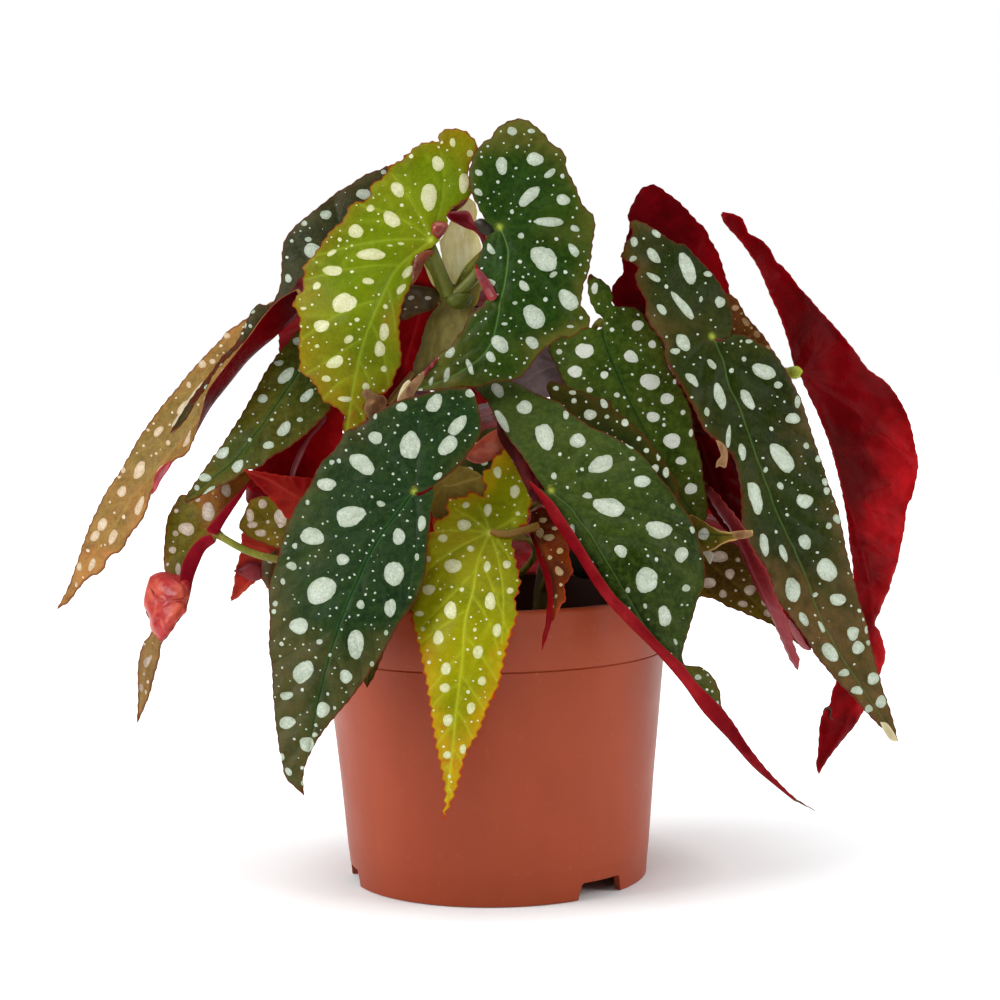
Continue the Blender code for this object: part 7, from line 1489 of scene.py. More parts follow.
# ------------------------------------------------------------------ stipules
def papery(name, light, mid, dark, green):
    m = Mat(name, rough=0.6, spec=0.3, sheen=0.15)
    fib = m.noise(240, 4, 0.6, 0.3, m.stretch(1.0, 1.0, 0.14))
    c = m.mix(m.ramp(fib, [(0.32, 0.0), (0.68, 1.0)]), lin(*mid), lin(*light))
    thread = m.ramp(m.noise(700, 4, 0.6, 0.4, m.stretch(1.0, 1.0, 0.1)), [(0.42, 0.0), (0.62, 1.0)])
    c = m.mix(m.math("MULTIPLY", thread, 0.4), c, lin(*dark))
    c = m.mix(m.math("MULTIPLY", m.ramp(m.noise(70, 3, 0.6), [(0.42, 0.0), (0.7, 1.0)]), 0.6), c, lin(*dark))
    c = m.mix(m.math("MULTIPLY", m.attr("star"), 0.8), c, lin(*green))
    c = m.mix(m.ramp(m.attr("edge"), [(0.0, 0.7), (0.04, 0.3), (0.1, 0.0)]), c, lin(*dark))
    return m.done(c, None, m.bump(fib, 0.6, 0.0006))


STIP = {
    "stipule_cream": papery("stipule_pale", (255, 252, 214), (255, 244, 168), (206, 194, 96), (170, 180, 60)),
    "stipule_tan": papery("stipule_olive", (166, 152, 78), (128, 118, 42), (92, 80, 26), (110, 118, 40)),
    "stipule_sliver": papery("stipule_dry", (232, 220, 170), (204, 188, 120), (150, 120, 60), (140, 150, 60)),
}
for name, mat in STIP.items():
    v, f, which, attrs = fine_blade(name, step=3.0, grid=3.6, tooth=0.4, dots=0, wave=1.2, sink=0.25, puff=0.9, thick=0.35)
    piece(name + "_blade", v, f, [mat], None, attrs, node=name)

# ------------------------------------------------------------ canes and stalks
STALK_W = {"leaf_top_centre": 1.95, "leaf_upper_left": 2.0, "leaf_front_left": 1.6, "leaf_front_right": 1.6, "leaf_right_large": 1.6, "leaf_left_small": 1.5}
MAT_CANE = stem_material("cane_skin", (84, 78, 22), (112, 102, 34), (96, 56, 22))
MAT_STALK = stem_material("stalk_skin", (96, 104, 18), (128, 130, 34), (122, 66, 28))


def junction_point(name):
    if name in LEAVES:
        d = LEAVES[name]
        return sight(*d["J"], sheet(d["lay"])(*d["J"])) + np.array([0, 1.5, 0])
    return np.array(BACK[name]["base"], float) + np.array([0, 0, -0.2])


for cane, c in CANES.items():
    rng = np.random.default_rng(seed_of(cane))
    path = even(curve_through(c["path"], per=8), step=1.6)
    k = np.linspace(0, 1, len(path))
    rad = c["r"][0] * (1 - k) + c["r"][1] * k
    node = np.zeros(len(path))
    for leaf, (where, at, via) in STALKS.items():
        if where == cane:
            node = np.maximum(node, np.exp(-((k - at) * len(path) / 1.3) ** 2))
    rad = rad + 0.45 * node + 0.12 * value_noise(path, 6.0, 3)
    rad[-1] *= 0.55
    sides = 22
    verts, faces = tube_rings(path, rad, sides)
    which = [0] * len(faces)
    attr = np.repeat(node, sides).tolist()
    allv, allf = [verts], list(faces)
    for leaf, (where, at, via) in STALKS.items():
        if where != cane:
            continue
        start = np.array([np.interp(at, k, path[:, i]) for i in range(3)])
        pts = [start] + [np.array(p, float) for p in via] + [stalk_end(leaf)]
        j = junction_point(leaf)
        if np.linalg.norm(pts[-1] - j) > 0.8:
            pts.append(j)
        line = even(curve_through(pts, per=8), step=1.8)
        u = np.linspace(0, 1, len(line))
        w = STALK_W.get(leaf, 1.35)
        r = w * (1.22 - 0.3 * np.clip(u * 5, 0, 1) - 0.12 * u) + 0.35 * np.exp(-((1 - u) * len(line) / 1.6) ** 2)
        r = r + 0.05 * value_noise(line, 5.0, 7)
        v, f = tube_rings(line, r, 14)
        base = sum(len(q) for q in allv)
        allv.append(v)
        allf += [tuple(i + base for i in q) for q in f]
        which += [1] * len(f)
        attr += np.repeat(np.exp(-(u * len(line) / 2.0) ** 2) * 0.8, 14).tolist()
    piece(cane + "_stems", np.vstack(allv), allf, [MAT_CANE, MAT_STALK], which, {"node": attr}, node=cane)

# ------------------------------------------------------------------------ pot
def pot_material(name, a, b, fleck, stain, spec):
    m = Mat(name, rough=0.42, spec=spec)
    c = m.mix(m.ramp(m.noise(16, 4, 0.55, 0.3), [(0.3, 0.0), (0.7, 1.0)]), lin(*a), lin(*b))
    c = m.mix(m.math("MULTIPLY", m.ramp(m.noise(420, 3, 0.7), [(0.62, 0.0), (0.78, 1.0)]), 0.25), c, lin(*fleck))
    c = m.mix(m.math("MULTIPLY", m.ramp(m.noise(60, 4, 0.65, 0.0, m.stretch(1.0, 1.0, 0.2)), [(0.45, 0.0), (0.8, 1.0)]), 0.3), c, lin(*stain))
    streak = m.noise(700, 3, 0.6, 0.0, m.stretch(1.0, 1.0, 0.05))
    nor = m.bump(m.math("ADD", m.noise(900, 3, 0.6), m.math("MULTIPLY", streak, 0.4)), 0.16, 0.00012)
    rough = m.ramp(m.noise(40, 4, 0.6), [(0.3, 0.36), (0.7, 0.48)])
    return m.done(c, rough, nor)


def revolve(name, profile, segs, mat):
    verts, faces, rows = [], [], []
    for r, z in profile:
        if r < 1e-6:
            rows.append([len(verts)] * segs)
            verts.append((0.0, 0.0, z))
        else:
            rows.append(list(range(len(verts), len(verts) + segs)))
            verts.extend((r * math.cos(2 * math.pi * q / segs), r * math.sin(2 * math.pi * q / segs), z) for q in range(segs))
    for i in range(len(profile)):
        a, b = rows[i], rows[(i + 1) % len(profile)]
        if profile[i][0] < 1e-6 and profile[(i + 1) % len(profile)][0] < 1e-6:
            continue
        for q in range(segs):
            f = []
            for w in (a[q], a[(q + 1) % segs], b[(q + 1) % segs], b[q]):
                if w not in f:
                    f.append(w)
            if len(f) > 2:
                faces.append(tuple(f))
    return piece(name, np.array(verts), faces, [mat], sharp=28)


def cut(ob, pts, fs):
    me = bpy.data.meshes.new("cutter")
    me.from_pydata(place(pts).tolist(), [], fs)
    c = bpy.data.objects.new("cutter", me)
    bpy.context.collection.objects.link(c)
    bm = bmesh.new()
    bm.from_mesh(me)
    bmesh.ops.recalc_face_normals(bm, faces=bm.faces)
    bm.to_mesh(me)
    bm.free()
    mod = ob.modifiers.new("cut", "BOOLEAN")
    mod.operation = "DIFFERENCE"
    mod.solver = "EXACT"
    mod.object = c
    new = bpy.data.meshes.new_from_object(ob.evaluated_get(bpy.context.evaluated_depsgraph_get()))
    ob.modifiers.clear()
    ob.data = new
    bpy.data.objects.remove(c, do_unlink=True)


# wall, from the foot ring up the outside, over the lip and down the inside
PROFILE = [(BODY_R_BOTTOM - 0.25, 0.0), (BODY_R_BOTTOM, 0.25), (BODY_R_BOTTOM + 0.18, 3.0), (BODY_R_BOTTOM + 0.86, 9.75), (BODY_R_BOTTOM + 0.98, 10.1), (BODY_R_BOTTOM + 1.0, 10.4),
           (BODY_R_BOTTOM + 3.1, 35.0), (BODY_R_BOTTOM + 5.2, 56.0), (BODY_R_TOP - 0.12, SEAM_Z - 0.7), (BODY_R_TOP - 0.42, SEAM_Z - 0.35), (BODY_R_TOP - 0.42, SEAM_Z - 0.1), (BODY_R_TOP + 0.4, SEAM_Z + 0.08), (BODY_R_TOP + 0.62, SEAM_Z + 0.5),
           (RIM_R - 1.1, POT_H - 8.0), (RIM_R - 0.45, POT_H - 1.6), (RIM_R - 0.38, POT_H - 0.8), (RIM_R - 0.55, POT_H - 0.3), (RIM_R - 0.95, POT_H), (RIM_R - 1.75, POT_H), (RIM_R - 2.15, POT_H - 0.3), (RIM_R - 2.35, POT_H - 0.8),
           (BODY_R_TOP - WALL - 0.2, SEAM_Z), (BODY_R_BOTTOM - WALL + 0.7, FLOOR_Z + 2.4), (BODY_R_BOTTOM - WALL - 1.4, FLOOR_Z + 1.6),
           (0.0, FLOOR_Z + 1.6), (0.0, FLOOR_Z), (BODY_R_BOTTOM - WALL - 0.6, FLOOR_Z), (BODY_R_BOTTOM - 2.6, 0.0)]
pot = revolve("nursery_pot", PROFILE, 192, pot_material("pot_plastic", (142, 54, 22), (154, 62, 27), (186, 104, 66), (128, 46, 19), 0.25))
for an in NOTCH_ANGLES:
    a = math.radians(an)
    pts = []
    for rr in (BODY_R_BOTTOM - 5.0, BODY_R_BOTTOM + 5.0):
        for (w, z) in ((NOTCH_W / 2, -1.0), (NOTCH_W / 2 - 1.5, NOTCH_H - 0.6), (NOTCH_W / 2 - 2.2, NOTCH_H), (-NOTCH_W / 2 + 2.2, NOTCH_H), (-NOTCH_W / 2 + 1.5, NOTCH_H - 0.6), (-NOTCH_W / 2, -1.0)):
            pts.append((rr * math.cos(a) - w * math.sin(a), rr * math.sin(a) + w * math.cos(a), z))
    cut(pot, pts, [tuple(range(6)), tuple(range(6, 12))[::-1]] + [(i, i + 6, (i + 1) % 6 + 6, (i + 1) % 6) for i in range(6)])
for q in range(6):
    a = math.radians(60 * q + 20)
    pts = [(30 * math.cos(a) + 3.5 * math.cos(w), 30 * math.sin(a) + 3.5 * math.sin(w), z) for z in (FLOOR_Z - 1.5, FLOOR_Z + 4) for w in [2 * math.pi * j / 16 for j in range(16)]]
    cut(pot, pts, [tuple(range(16))[::-1], tuple(range(16, 32))] + [(j, (j + 1) % 16, 16 + (j + 1) % 16, 16 + j) for j in range(16)])
pot.data.shade_smooth()
pot.data.set_sharp_from_angle(angle=math.radians(28))
# painted shade: the inside of the wall and the floor of the pot get a darker copy of the pot colour
pot.data.materials.append(pot_material("pot_inner_painted_shade", (54, 28, 18), (70, 36, 22), (92, 56, 40), (38, 24, 18), 0.1))
for p in pot.data.polygons:
    c, n = p.center - Vector((AXIS[0] / 1000, AXIS[1] / 1000, 0.0)), p.normal
    if c.z > (FLOOR_Z + 1.0) / 1000 and c.z < (POT_H - 1.0) / 1000 and (c.x * n.x + c.y * n.y < 0 or math.hypot(c.x, c.y) < (BODY_R_BOTTOM - 5) / 1000):
        p.material_index = 1
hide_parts("pot")
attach(pot, "root")

# ----------------------------------------------------------------------- soil
def soil_material():
    m = Mat("peat", rough=0.95, spec=0.2)
    c = m.mix(m.ramp(m.noise(240, 5, 0.7), [(0.35, 0.0), (0.7, 1.0)]), lin(24, 17, 12), lin(56, 40, 28))
    c = m.mix(m.math("MULTIPLY", m.ramp(m.cells(420), [(0.0, 1.0), (0.35, 0.0)]), 0.4), c, lin(74, 54, 36))
    return m.done(c, None, m.bump(m.math("ADD", m.noise(700, 5, 0.7), m.cells(500)), 0.9, 0.0012))


def bark_material():
    m = Mat("bark_bits", rough=0.85, spec=0.25)
    c = m.mix(m.ramp(m.noise(160, 4, 0.7), [(0.35, 0.0), (0.65, 1.0)]), lin(38, 26, 18), lin(92, 62, 38))
    return m.done(c, None, m.bump(m.noise(520, 5, 0.7, 0.0, m.stretch(1, 1, 0.3)), 0.7, 0.0006))


def perlite_material():
    m = Mat("perlite_bits", rough=0.9, spec=0.25)
    c = m.mix(m.ramp(m.noise(420, 4, 0.6), [(0.3, 0.0), (0.7, 1.0)]), lin(196, 190, 178), lin(232, 228, 216))
    return m.done(c, None, m.bump(m.cells(900), 0.6, 0.0004))


rng = np.random.default_rng(41)
rings, sides = 46, 150
verts, faces = [], []
for i in range(rings + 1):
    r = 56.0 * i / rings
    for q in range(sides):
        a = 2 * math.pi * q / sides
        verts.append((r * math.cos(a), r * math.sin(a), SOIL_Z + 1.4 - 2.6 * (r / 56.0) ** 2))
v = np.array(verts)
v[:, 2] += (0.9 * value_noise(v[:, :2], 6.5, 11) + 0.7 * value_noise(v[:, :2], 2.8, 12)) * np.clip((56.0 - np.hypot(v[:, 0], v[:, 1])) / 3.0, 0.15, 1)
for i in range(rings):
    for q in range(sides):
        faces.append((i * sides + q, (i + 1) * sides + q, (i + 1) * sides + (q + 1) % sides, i * sides + (q + 1) % sides))
base = len(v)
under = v[rings * sides:(rings + 1) * sides].copy()
under[:, 2] = SEAM_Z - 4.0
under[:, :2] *= 0.975
v = np.vstack([v, under])
for q in range(sides):
    faces.append((rings * sides + q, base + q, base + (q + 1) % sides, rings * sides + (q + 1) % sides))
faces.append(tuple(base + q for q in range(sides))[::-1])
which = [0] * len(faces)
allv, allf = [v], faces
ico = bmesh.new()
bmesh.ops.create_icosphere(ico, subdivisions=2, radius=1.0)
iv = np.array([p.co[:] for p in ico.verts])
ifc = [tuple(p.index for p in f.verts) for f in ico.faces]
ico.free()
count = len(v)
for i in range(620):
    r, a = 54.0 * math.sqrt(rng.random()), rng.uniform(0, 2 * math.pi)
    x, y = r * math.cos(a), r * math.sin(a)
    kind = rng.random()
    s = rng.uniform(0.7, 2.0) if kind < 0.8 else rng.uniform(1.4, 2.9)
    sc = np.array([rng.uniform(0.9, 1.9), rng.uniform(0.6, 1.1), rng.uniform(0.35, 0.8)]) * s
    w = iv * sc * (1 + 0.35 * value_noise(iv * 3.0 + i * 5.1, 1.1, 21))[:, None]
    rot = np.array(Matrix.Rotation(rng.uniform(0, 6.28), 3, "Z") @ Matrix.Rotation(rng.normal(0, 0.5), 3, "X") @ Matrix.Rotation(rng.normal(0, 0.4), 3, "Y"))
    w = w @ rot.T + np.array([x, y, SOIL_Z + 1.6 - 2.6 * (r / 56.0) ** 2 + rng.uniform(0.0, 0.8)])
    allv.append(w)
    allf += [tuple(q + count for q in f) for f in ifc]
    which += [2 if 0.955 < kind else (1 if kind > 0.25 else 0)] * len(ifc)
    count += len(w)
soil = piece("potting_mix", np.vstack(allv), allf, [soil_material(), bark_material(), perlite_material()], which, node="soil", sharp=50)

# ------------------------------------------- curls, pod, dried bits, ridges and dark sheets of painted shade
CRIMSON = flesh("curl_crimson", (112, 0, 16), (142, 4, 28), (172, 30, 48))
BALL = flesh("curl_ball", (96, 16, 10), (130, 34, 24), (170, 84, 62), rough=0.28, spec=0.5, rim_light=0.1)
ORANGE = flesh("curl_orange", (72, 22, 8), (98, 38, 14), (124, 62, 26))
POD = flesh("pod_skin", (150, 22, 26), (182, 46, 44), (210, 96, 66), rough=0.32, spec=0.3, rim_light=0.0)
POD_FOLD = flesh("pod_fold", (130, 20, 24), (156, 34, 36), (176, 60, 50))
PINK = flesh("dry_pink", (74, 36, 18), (104, 62, 34), (146, 116, 76), rough=0.6, spec=0.15, fibre=True)
DRY = flesh("dry_brown", (84, 44, 22), (132, 78, 44), (186, 134, 84), rough=0.7, spec=0.15, fibre=True)
CREAM = flesh("dry_cream", (158, 140, 92), (186, 170, 124), (214, 202, 168), rough=0.6, spec=0.2, fibre=True)
BROWNLEAF = flesh("scrap_brown", (44, 34, 4), (72, 54, 14), (110, 70, 30))
OLIVELEAF = flesh("scrap_olive", (92, 84, 16), (128, 116, 36), (160, 144, 60), fibre=True)
GREENSTALK = flesh("stub_green", (96, 116, 10), (132, 146, 26), (172, 178, 60), rough=0.35, spec=0.3)
JOINT = flesh("joint_green", (40, 54, 2), (64, 76, 8), (88, 94, 20))
FRONTSTALK = flesh("stub_front", (58, 68, 8), (84, 94, 16), (112, 112, 36), rough=0.35, spec=0.3)
SHADE = flesh("scrap_shade", (14, 18, 4), (26, 30, 8), (44, 34, 14))
OLIVESTALK = flesh("stub_olive", (92, 84, 24), (120, 108, 36), (146, 96, 40), rough=0.4, spec=0.3)
RIDGE = flesh("ridge_pink", (96, 14, 26), (128, 34, 44), (164, 84, 86))
TANBIT = flesh("scrap_tan", (92, 58, 34), (124, 86, 52), (158, 122, 84), rough=0.6, spec=0.1, fibre=True)
SHADE_RED = flesh("shade_red", (44, 4, 4), (62, 8, 8), (84, 18, 16), rough=0.6, spec=0.05)
RIDGE_RED = flesh("ridge_red", (92, 4, 14), (116, 12, 24), (148, 46, 50))
GREYSPOT = flesh("scrap_spot", (150, 140, 118), (176, 168, 148), (196, 190, 172))
DARKRED = flesh("scrap_dark_red", (62, 4, 6), (92, 12, 14), (130, 50, 34))
PALE_EDGE = flesh("margin_pale", (150, 140, 116), (178, 168, 140), (200, 190, 160))

CORAL = flesh("flap_coral", (132, 44, 26), (164, 66, 42), (196, 106, 72))
TEAR = flesh("tear_shade", (70, 44, 30), (96, 62, 40), (130, 96, 60))

# round the two stipules at the top of the cane
patch("curl_strip", [(446, 214), (450, 212), (459, 211.4), (467, 211), (471, 215), (474, 222), (482, 229), (489, 234), (488, 240), (484, 247), (481.6, 242), (479, 236), (474, 231), (466, 228), (458, 224), (449, 219)],
      depth_on("stipule_cream", -4.0), [CRIMSON], bulge=1.3, wrinkle=0.4, tip=(489, 234))
patch("curl_hood", [(448, 214), (452, 209), (458, 203), (464, 199), (468, 199), (465, 204), (459, 209), (453, 213)], depth_on("stipule_cream", -3.0), [ORANGE], bulge=0.8)
patch("curl_ball", [(431, 231), (431.6, 225), (435, 221.5), (440, 221), (445, 222), (448, 225), (446, 231), (442, 236), (439, 239), (434, 236)],
      depth_on("leaf_upper_left", -2.5), [BALL], bulge=3.0, grid=1.8, wrinkle=0.3)
patch("curl_orange", [(413, 268), (414.5, 259), (419, 254), (425, 251), (432, 250.5), (434, 253), (429, 257), (424, 264), (420, 273), (412, 285)],
      depth_on("leaf_upper_left", -0.8), [ORANGE], bulge=1.0)
patch("stipule_fold", [(424, 264), (431, 256), (434.5, 262), (438, 272), (443, 284), (448, 297), (443, 294), (438, 290), (432, 284), (428, 275)],
      depth_on("leaf_inner_red", -2.0), [STIP["stipule_cream"]], bulge=0.8, wrinkle=0.4)
patch("scrap_spotted", [(403, 286), (410, 285), (420, 286), (432, 288), (442, 293), (437, 303), (433, 309), (425, 312), (414, 316), (402, 320), (396, 312), (398, 300)],
      depth_on("leaf_inner_red", -3.4), [BROWNLEAF, GREYSPOT, DARKRED], bulge=1.2, spots=[(411, 298, 3.4, 2.2, 10), (428, 298, 3.4, 1.8, 0), (416, 307, 1.6, 1.0, 0), (405, 309, 1.4, 1.0, 0)], wrinkle=0.5)
cord("cane_joint", [(449, 300, -5.5, 1.6), (454, 301, -6.5, 2.6), (460, 301, -6.5, 2.9), (466, 299, -6.0, 2.4), (470, 296, -5.0, 1.4)], JOINT)
patch("margin_fold", [(475, 269), (478, 269), (484, 274), (490, 282), (494, 289), (497, 297), (491, 301), (486, 295), (481, 285), (477, 277)], depth_on("leaf_top_centre", -1.2), [RIDGE_RED], bulge=0.4)
patch("stipule_scrap", [(468, 292), (476, 282), (480, 283), (480, 292), (477, 303), (471, 310), (467, 304)], depth_on("stipule_tan", 1.5), [OLIVELEAF], bulge=0.6)
# withered scraps and the stub between the front leaves
cord("stub_low", [(413, 372, -3, 0.9), (404, 384, -4, 1.2), (396, 394, -5, 1.3), (388, 404, -6, 1.1)], OLIVESTALK)
patch("dry_flap", [(396, 404), (400, 396), (406, 388), (412, 381), (418, 376), (424, 371), (423, 379), (419, 386), (414, 394), (410, 402)], depth_on("leaf_front_left", 1.2), [PINK], bulge=0.8, wrinkle=0.6)
patch("dry_red", [(420, 376), (427, 368), (434, 361), (439, 356), (436, 363), (429, 371), (423, 378)], depth_on("leaf_top_centre", -0.8), [RIDGE_RED], bulge=0.6)
patch("dry_tip", [(361, 394), (366, 389), (372, 391), (378, 395), (384, 396), (387, 402), (383, 409), (376, 414), (369, 416), (364, 409), (366, 401)], depth_on("leaf_upper_left", -0.8), [PINK, DRY, DRY], bulge=0.35, wrinkle=0.5, spots=[(373, 402, 3.0, 1.6, 40), (380, 405, 2.0, 1.2, -20)])
patch("cream_patch", [(397, 401), (400, 391), (404, 384), (409, 380), (411, 385), (409, 393), (406, 401)], depth_on("leaf_front_left", 2.6), [CREAM], bulge=0.6)
# left side
patch("crumpled_pod", [(150, 577), (156, 573.5), (164, 572), (172, 574), (181, 576), (188, 580), (190, 592), (186, 604), (186.5, 611), (178, 619), (173, 629), (167, 636), (161, 642), (156, 636), (151, 629), (149, 616), (144, 605), (145.5, 592), (148, 583)],
      depth_on("leaf_left_small", -2.5), [POD], bulge=4.5, wrinkle=0.7, grid=2.0, tip=(161, 642))
patch("pod_lobe_upper", [(152, 590), (156, 580), (165, 576), (176, 579), (184, 587), (183, 597), (173, 601), (160, 597)], depth_on("leaf_left_small", -6.2), [POD], bulge=2.2, wrinkle=0.3, grid=2.0)
patch("pod_lobe_lower", [(158, 606), (167, 601), (178, 601), (184, 606), (180, 614), (173, 624), (164, 632), (160, 622)], depth_on("leaf_left_small", -5.6), [POD, POD, POD_FOLD], bulge=2.0, wrinkle=0.3, grid=2.0)
cord_on("pod_crease", "leaf_left_small", -6.6, [(150, 588, 0.2), (155, 597, 0.5), (163, 601, 0.7), (172, 602, 0.7), (182, 600, 0.2)], POD_FOLD)
patch("red_sliver", [(151.5, 495), (153, 482), (158, 471), (164, 465), (173, 460), (170, 467), (161, 480), (156, 490)], depth_on("leaf_left_tan", 0.2), [CRIMSON], bulge=0.5)
cord("stalk_front_upper", [(431, 245, -2.2, 1.6), (433, 253, -3.4, 2.0), (438, 266, -3.6, 2.1), (444, 281, -3.6, 2.2), (450, 296, -4.0, 2.4)], FRONTSTALK)
cord("stalk_front_top", [(480, 268, -8, 1.8), (476, 275, -7, 1.9), (468, 284, -5.6, 2.0), (460, 292, -4.6, 2.1), (453, 298, -4.0, 2.2)], FRONTSTALK)
# painted shade: a dark sheet behind the top centre leaf near its junction
patch("dark_bit", [(474, 222), (480, 218.5), (488, 221), (493, 227), (494, 232), (489, 236), (480, 232)], depth_on("leaf_top_centre", 3.0), [SHADE], bulge=0.5)
cord("ridge_left_red", [(330, 410, 0, 0.5), (327, 417, -1.2, 1.0), (316, 432, -2.6, 1.15), (304, 448, -4.5, 1.15), (295, 466, -7.4, 1.1), (292, 477, -9.5, 0.9), (291, 486, -11, 0.5)], RIDGE)
patch("low_scrap", [(262, 560), (269, 554), (277, 550), (276, 560), (274, 570), (269, 588), (265, 584), (262, 574)], depth_on("leaf_low_left", -3.0), [BROWNLEAF, GREYSPOT, DARKRED], bulge=0.8, spots=[(270, 562, 2.6, 1.6, -20), (267, 573, 1.5, 1.0, 0)])
patch("low_fold", [(233, 571), (240, 567), (248, 562), (256, 561), (262, 564), (262, 578), (252, 581), (243, 576)], depth_on("leaf_low_left", -1.8), [RIDGE_RED, RIDGE, RIDGE], bulge=0.9)
patch("flap_left_bit", [(244, 477), (250, 474), (262, 478), (270, 484), (276, 494), (268, 504), (256, 506), (247, 502), (246, 490)], depth_on("leaf_left_red", 1.0), [CRIMSON], bulge=0.6)
# tear of the tan leaf
patch("tear_fill", [(210, 382), (204, 391), (193, 407), (182, 423), (171, 434), (173, 426), (185, 408), (196, 392), (204, 381)], depth_on("leaf_left_tan", -0.6), [TEAR], bulge=0.15)
# pale lip along the tear: the torn edge, painted lighter as a highlight
patch("tear_lip", [(205, 383), (199, 389), (189, 402), (180, 416), (173, 427), (171.5, 427), (179, 414), (188, 400), (197, 388), (204, 381)], depth_on("leaf_left_tan", -0.9), [PALE_EDGE], bulge=0.2)
# right side
# painted shade: a dark red sheet behind the gap between leaves
patch("gap_fill_right", [(676, 382), (682, 386), (690, 396), (699, 414), (708, 430), (714, 442), (704, 448), (694, 436), (686, 420), (680, 402)], depth_on("leaf_right_dark", 0.6), [DARKRED], bulge=0.6)
patch("margin_curl_right", [(716, 440), (721, 442), (727, 450), (727, 462), (725, 468), (719, 466), (716, 468), (717, 461), (721, 456), (719, 449)], depth_on("leaf_right_large", -1.2), [TANBIT, PALE_EDGE, TANBIT], bulge=0.5)
patch("white_tip", [(880, 722), (886, 723), (892, 730), (897, 741), (892, 741), (885, 733)], depth_on("leaf_right_large", -0.7), [CREAM], bulge=0.4)
cord("stub_right", [(779, 374.5, 17.4, 1.6), (786, 373.5, 16.2, 1.8), (792, 372.8, 14.8, 2.2), (797, 372.6, 13.4, 2.4), (801, 374, 12.6, 1.4)], GREENSTALK)
cord_on("curl_low_right", "leaf_far_right", -0.6, [(823, 713, 0.2), (825, 708.5, 0.3), (829, 708, 0.36), (831, 712, 0.36), (829, 716, 0.32), (833, 720, 0.3), (837, 722, 0.25), (841, 723, 0.18)], SHADE)

# between the yellow leaf and the front right leaf
# painted shade: a dark red strip behind the front right leaf
patch("strip_upper", [(514, 446), (520, 447), (526, 456), (531, 470), (535, 486), (531, 490), (524, 478), (518, 464)], depth_on("leaf_front_right", 1.8), [SHADE_RED], bulge=0.4)
patch("shade_scrap", [(556, 534), (568, 538), (580, 552), (594, 570), (590, 578), (576, 576), (562, 560)], 4.0, [SHADE], bulge=1.0)
cord("petiole_yellow", [(491, 531.5, -42.6, 0.9), (500, 534, -43.2, 1.3), (512, 533.5, -43.0, 1.3), (524, 530, -42.0, 1.25), (538, 526, -40.0, 1.3)], OLIVESTALK)
patch("coral_flap", [(466, 459), (471, 449), (480, 440), (489, 433), (498, 429), (506, 432), (513, 442), (511, 450), (503, 453), (494, 458), (484, 463), (474, 463)], -26.0, [CORAL, CORAL, RIDGE_RED], bulge=0.35, wrinkle=0.4, tip=(513, 442))
# painted shade: dark red sheets behind the gaps between leaves
patch("gap_fill_top", [(638, 303), (643, 306), (648, 313), (653, 324), (655, 332), (650, 331), (644, 322), (639, 312)], depth_on("leaf_mid_right", 0.8), [SHADE_RED], bulge=0.2)
patch("gap_fill_edge", [(726, 446), (734, 450), (741, 462), (745, 478), (742, 492), (736, 478), (729, 460)], depth_on("leaf_right_dark", -0.3), [SHADE_RED], bulge=0.2)
patch("gap_fill_mid", [(497, 421), (504, 425), (513, 434), (522, 446), (531, 458), (541, 471), (550, 484), (557, 498), (549, 505), (541, 504), (531, 499), (526, 488), (519, 474), (512, 460), (504, 448), (498, 436)], depth_on("leaf_front_right", 2.2), [SHADE_RED], bulge=0.2)
patch("curl_cream_tip", [(733, 532), (742, 530.5), (750, 532), (753, 535), (747, 538), (739, 539), (733, 537)], depth_on("leaf_right_curl", -0.5), [TANBIT], bulge=0.3)
patch("pale_scrap", [(703, 552), (709, 551), (713, 553), (712, 559), (710, 564), (707, 559)], depth_on("leaf_right_curl", -0.7), [GREYSPOT], bulge=0.2)
patch("red_bit_right", [(787, 616), (795, 623), (803, 633), (811, 650), (804, 649), (796, 641), (790, 630)], depth_on("leaf_right_large", 0.8), [RIDGE_RED], bulge=0.2)

# ------------------------------------------------------- floor, light, camera
floor_mat = Mat("studio_floor", rough=0.85, spec=0.2)
floor_mat.done(floor_mat.mix(floor_mat.ramp(floor_mat.noise(3, 2, 0.5), [(0.3, 0.0), (0.7, 1.0)]), (0.885, 0.92, 0.925, 1), (0.905, 0.94, 0.945, 1)))
floor_mat.b.inputs["Emission Color"].default_value = (1.0, 1.0, 1.0, 1.0)
# the floor glows a little, painted light that lifts its shadows; the glow is dimmed round the foot of the pot, a
# painted contact shadow
where = floor_mat.t.nodes.new("ShaderNodeNewGeometry")
far = floor_mat.t.nodes.new("ShaderNodeVectorMath")
far.operation = "DISTANCE"
floor_mat.t.links.new(where.outputs["Position"], far.inputs[0])
far.inputs[1].default_value = (float(AXIS[0]) / 1000, float(AXIS[1]) / 1000, 0.0)
tone_and_painted_light = floor_mat.math("MULTIPLY", floor_mat.ramp(floor_mat.math("MULTIPLY", far.outputs["Value"], 5.0), [(0.215, 0.0), (0.40, 0.75), (0.62, 1.0)]), 0.35)
floor_mat.t.links.new(tone_and_painted_light, floor_mat.b.inputs["Emission Strength"])
me = bpy.data.meshes.new("floor")
me.from_pydata([(-6, -6, 0), (6, -6, 0), (6, 6, 0), (-6, 6, 0)], [], [(0, 1, 2, 3)])
me.materials.append(floor_mat.m)
floor = bpy.data.objects.new("floor", me)
bpy.context.collection.objects.link(floor)
floor.location.z = -0.0002

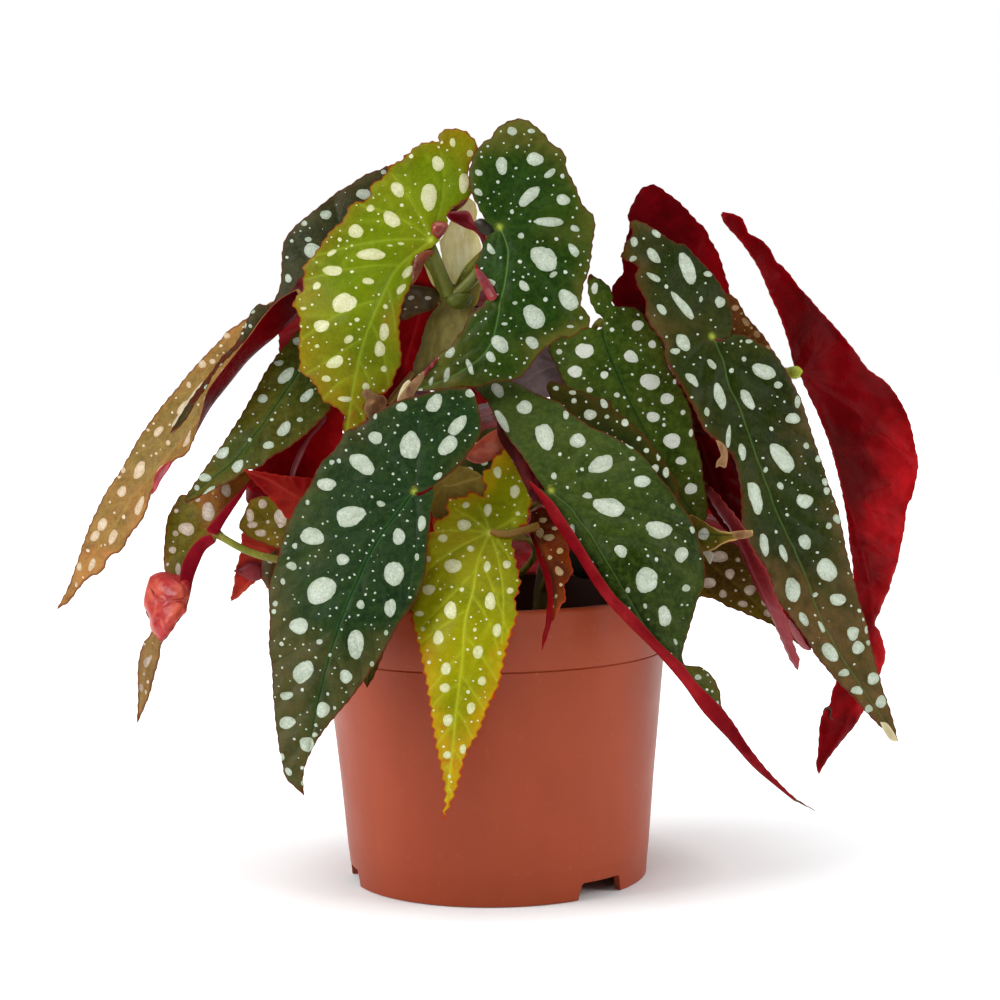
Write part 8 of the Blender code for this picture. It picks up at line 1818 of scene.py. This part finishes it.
# a plain white backdrop all round, seen but not lighting anything
bm = bmesh.new()
bmesh.ops.create_uvsphere(bm, u_segments=48, v_segments=24, radius=7.5)
me = bpy.data.meshes.new("backdrop")
bm.to_mesh(me)
bm.free()
white = bpy.data.materials.new("backdrop_white")
white.use_nodes = True
white.node_tree.nodes.clear()
em = white.node_tree.nodes.new("ShaderNodeEmission")
em.inputs["Color"].default_value = (1.0, 1.0, 1.0, 1.0)
em.inputs["Strength"].default_value = 1.0
mo = white.node_tree.nodes.new("ShaderNodeOutputMaterial")
white.node_tree.links.new(em.outputs[0], mo.inputs[0])
me.materials.append(white)
dome = bpy.data.objects.new("backdrop", me)
bpy.context.collection.objects.link(dome)
for flag in ("visible_diffuse", "visible_glossy", "visible_transmission", "visible_volume_scatter", "visible_shadow"):
    setattr(dome, flag, False)

world = bpy.data.worlds.new("studio")
bpy.context.scene.world = world
world.use_nodes = True
world.node_tree.nodes["Background"].inputs["Color"].default_value = (1.0, 1.0, 1.0, 1.0)
world.node_tree.nodes["Background"].inputs["Strength"].default_value = 0.3


def softbox(name, toward, angle, strength):
    """A distant soft light shining from the given side."""
    li = bpy.data.lights.new(name, "SUN")
    li.energy = strength
    li.angle = math.radians(angle)
    ob = bpy.data.objects.new(name, li)
    bpy.context.collection.objects.link(ob)
    ob.rotation_euler = Vector(toward).to_track_quat("Z", "Y").to_euler()
    return ob


softbox("left", (-1.0, -0.3, 0.65), 34, 2.3)
softbox("right", (1.0, -0.25, 0.5), 40, 1.7)
softbox("top", (0.0, 0.15, 1.0), 60, 1.2)

cam_data = bpy.data.cameras.new("camera")
cam_data.sensor_width = 36.0
cam_data.lens = 82.8
cam_data.clip_start, cam_data.clip_end = 0.05, 20.0
cam = bpy.data.objects.new("camera", cam_data)
bpy.context.collection.objects.link(cam)
cam.matrix_world = (Matrix.Translation((AXIS[0] / 1000, AXIS[1] / 1000 - EYE_D / 1000, EYE_H / 1000))
                    @ Matrix.Rotation(-YAW, 4, "Z") @ Matrix.Rotation(math.pi / 2 - PITCH, 4, "X") @ Matrix.Rotation(ROLL, 4, "Z"))
bpy.context.scene.camera = cam
bpy.context.scene.view_settings.view_transform = "Standard"
bpy.context.scene.view_settings.look = "None"
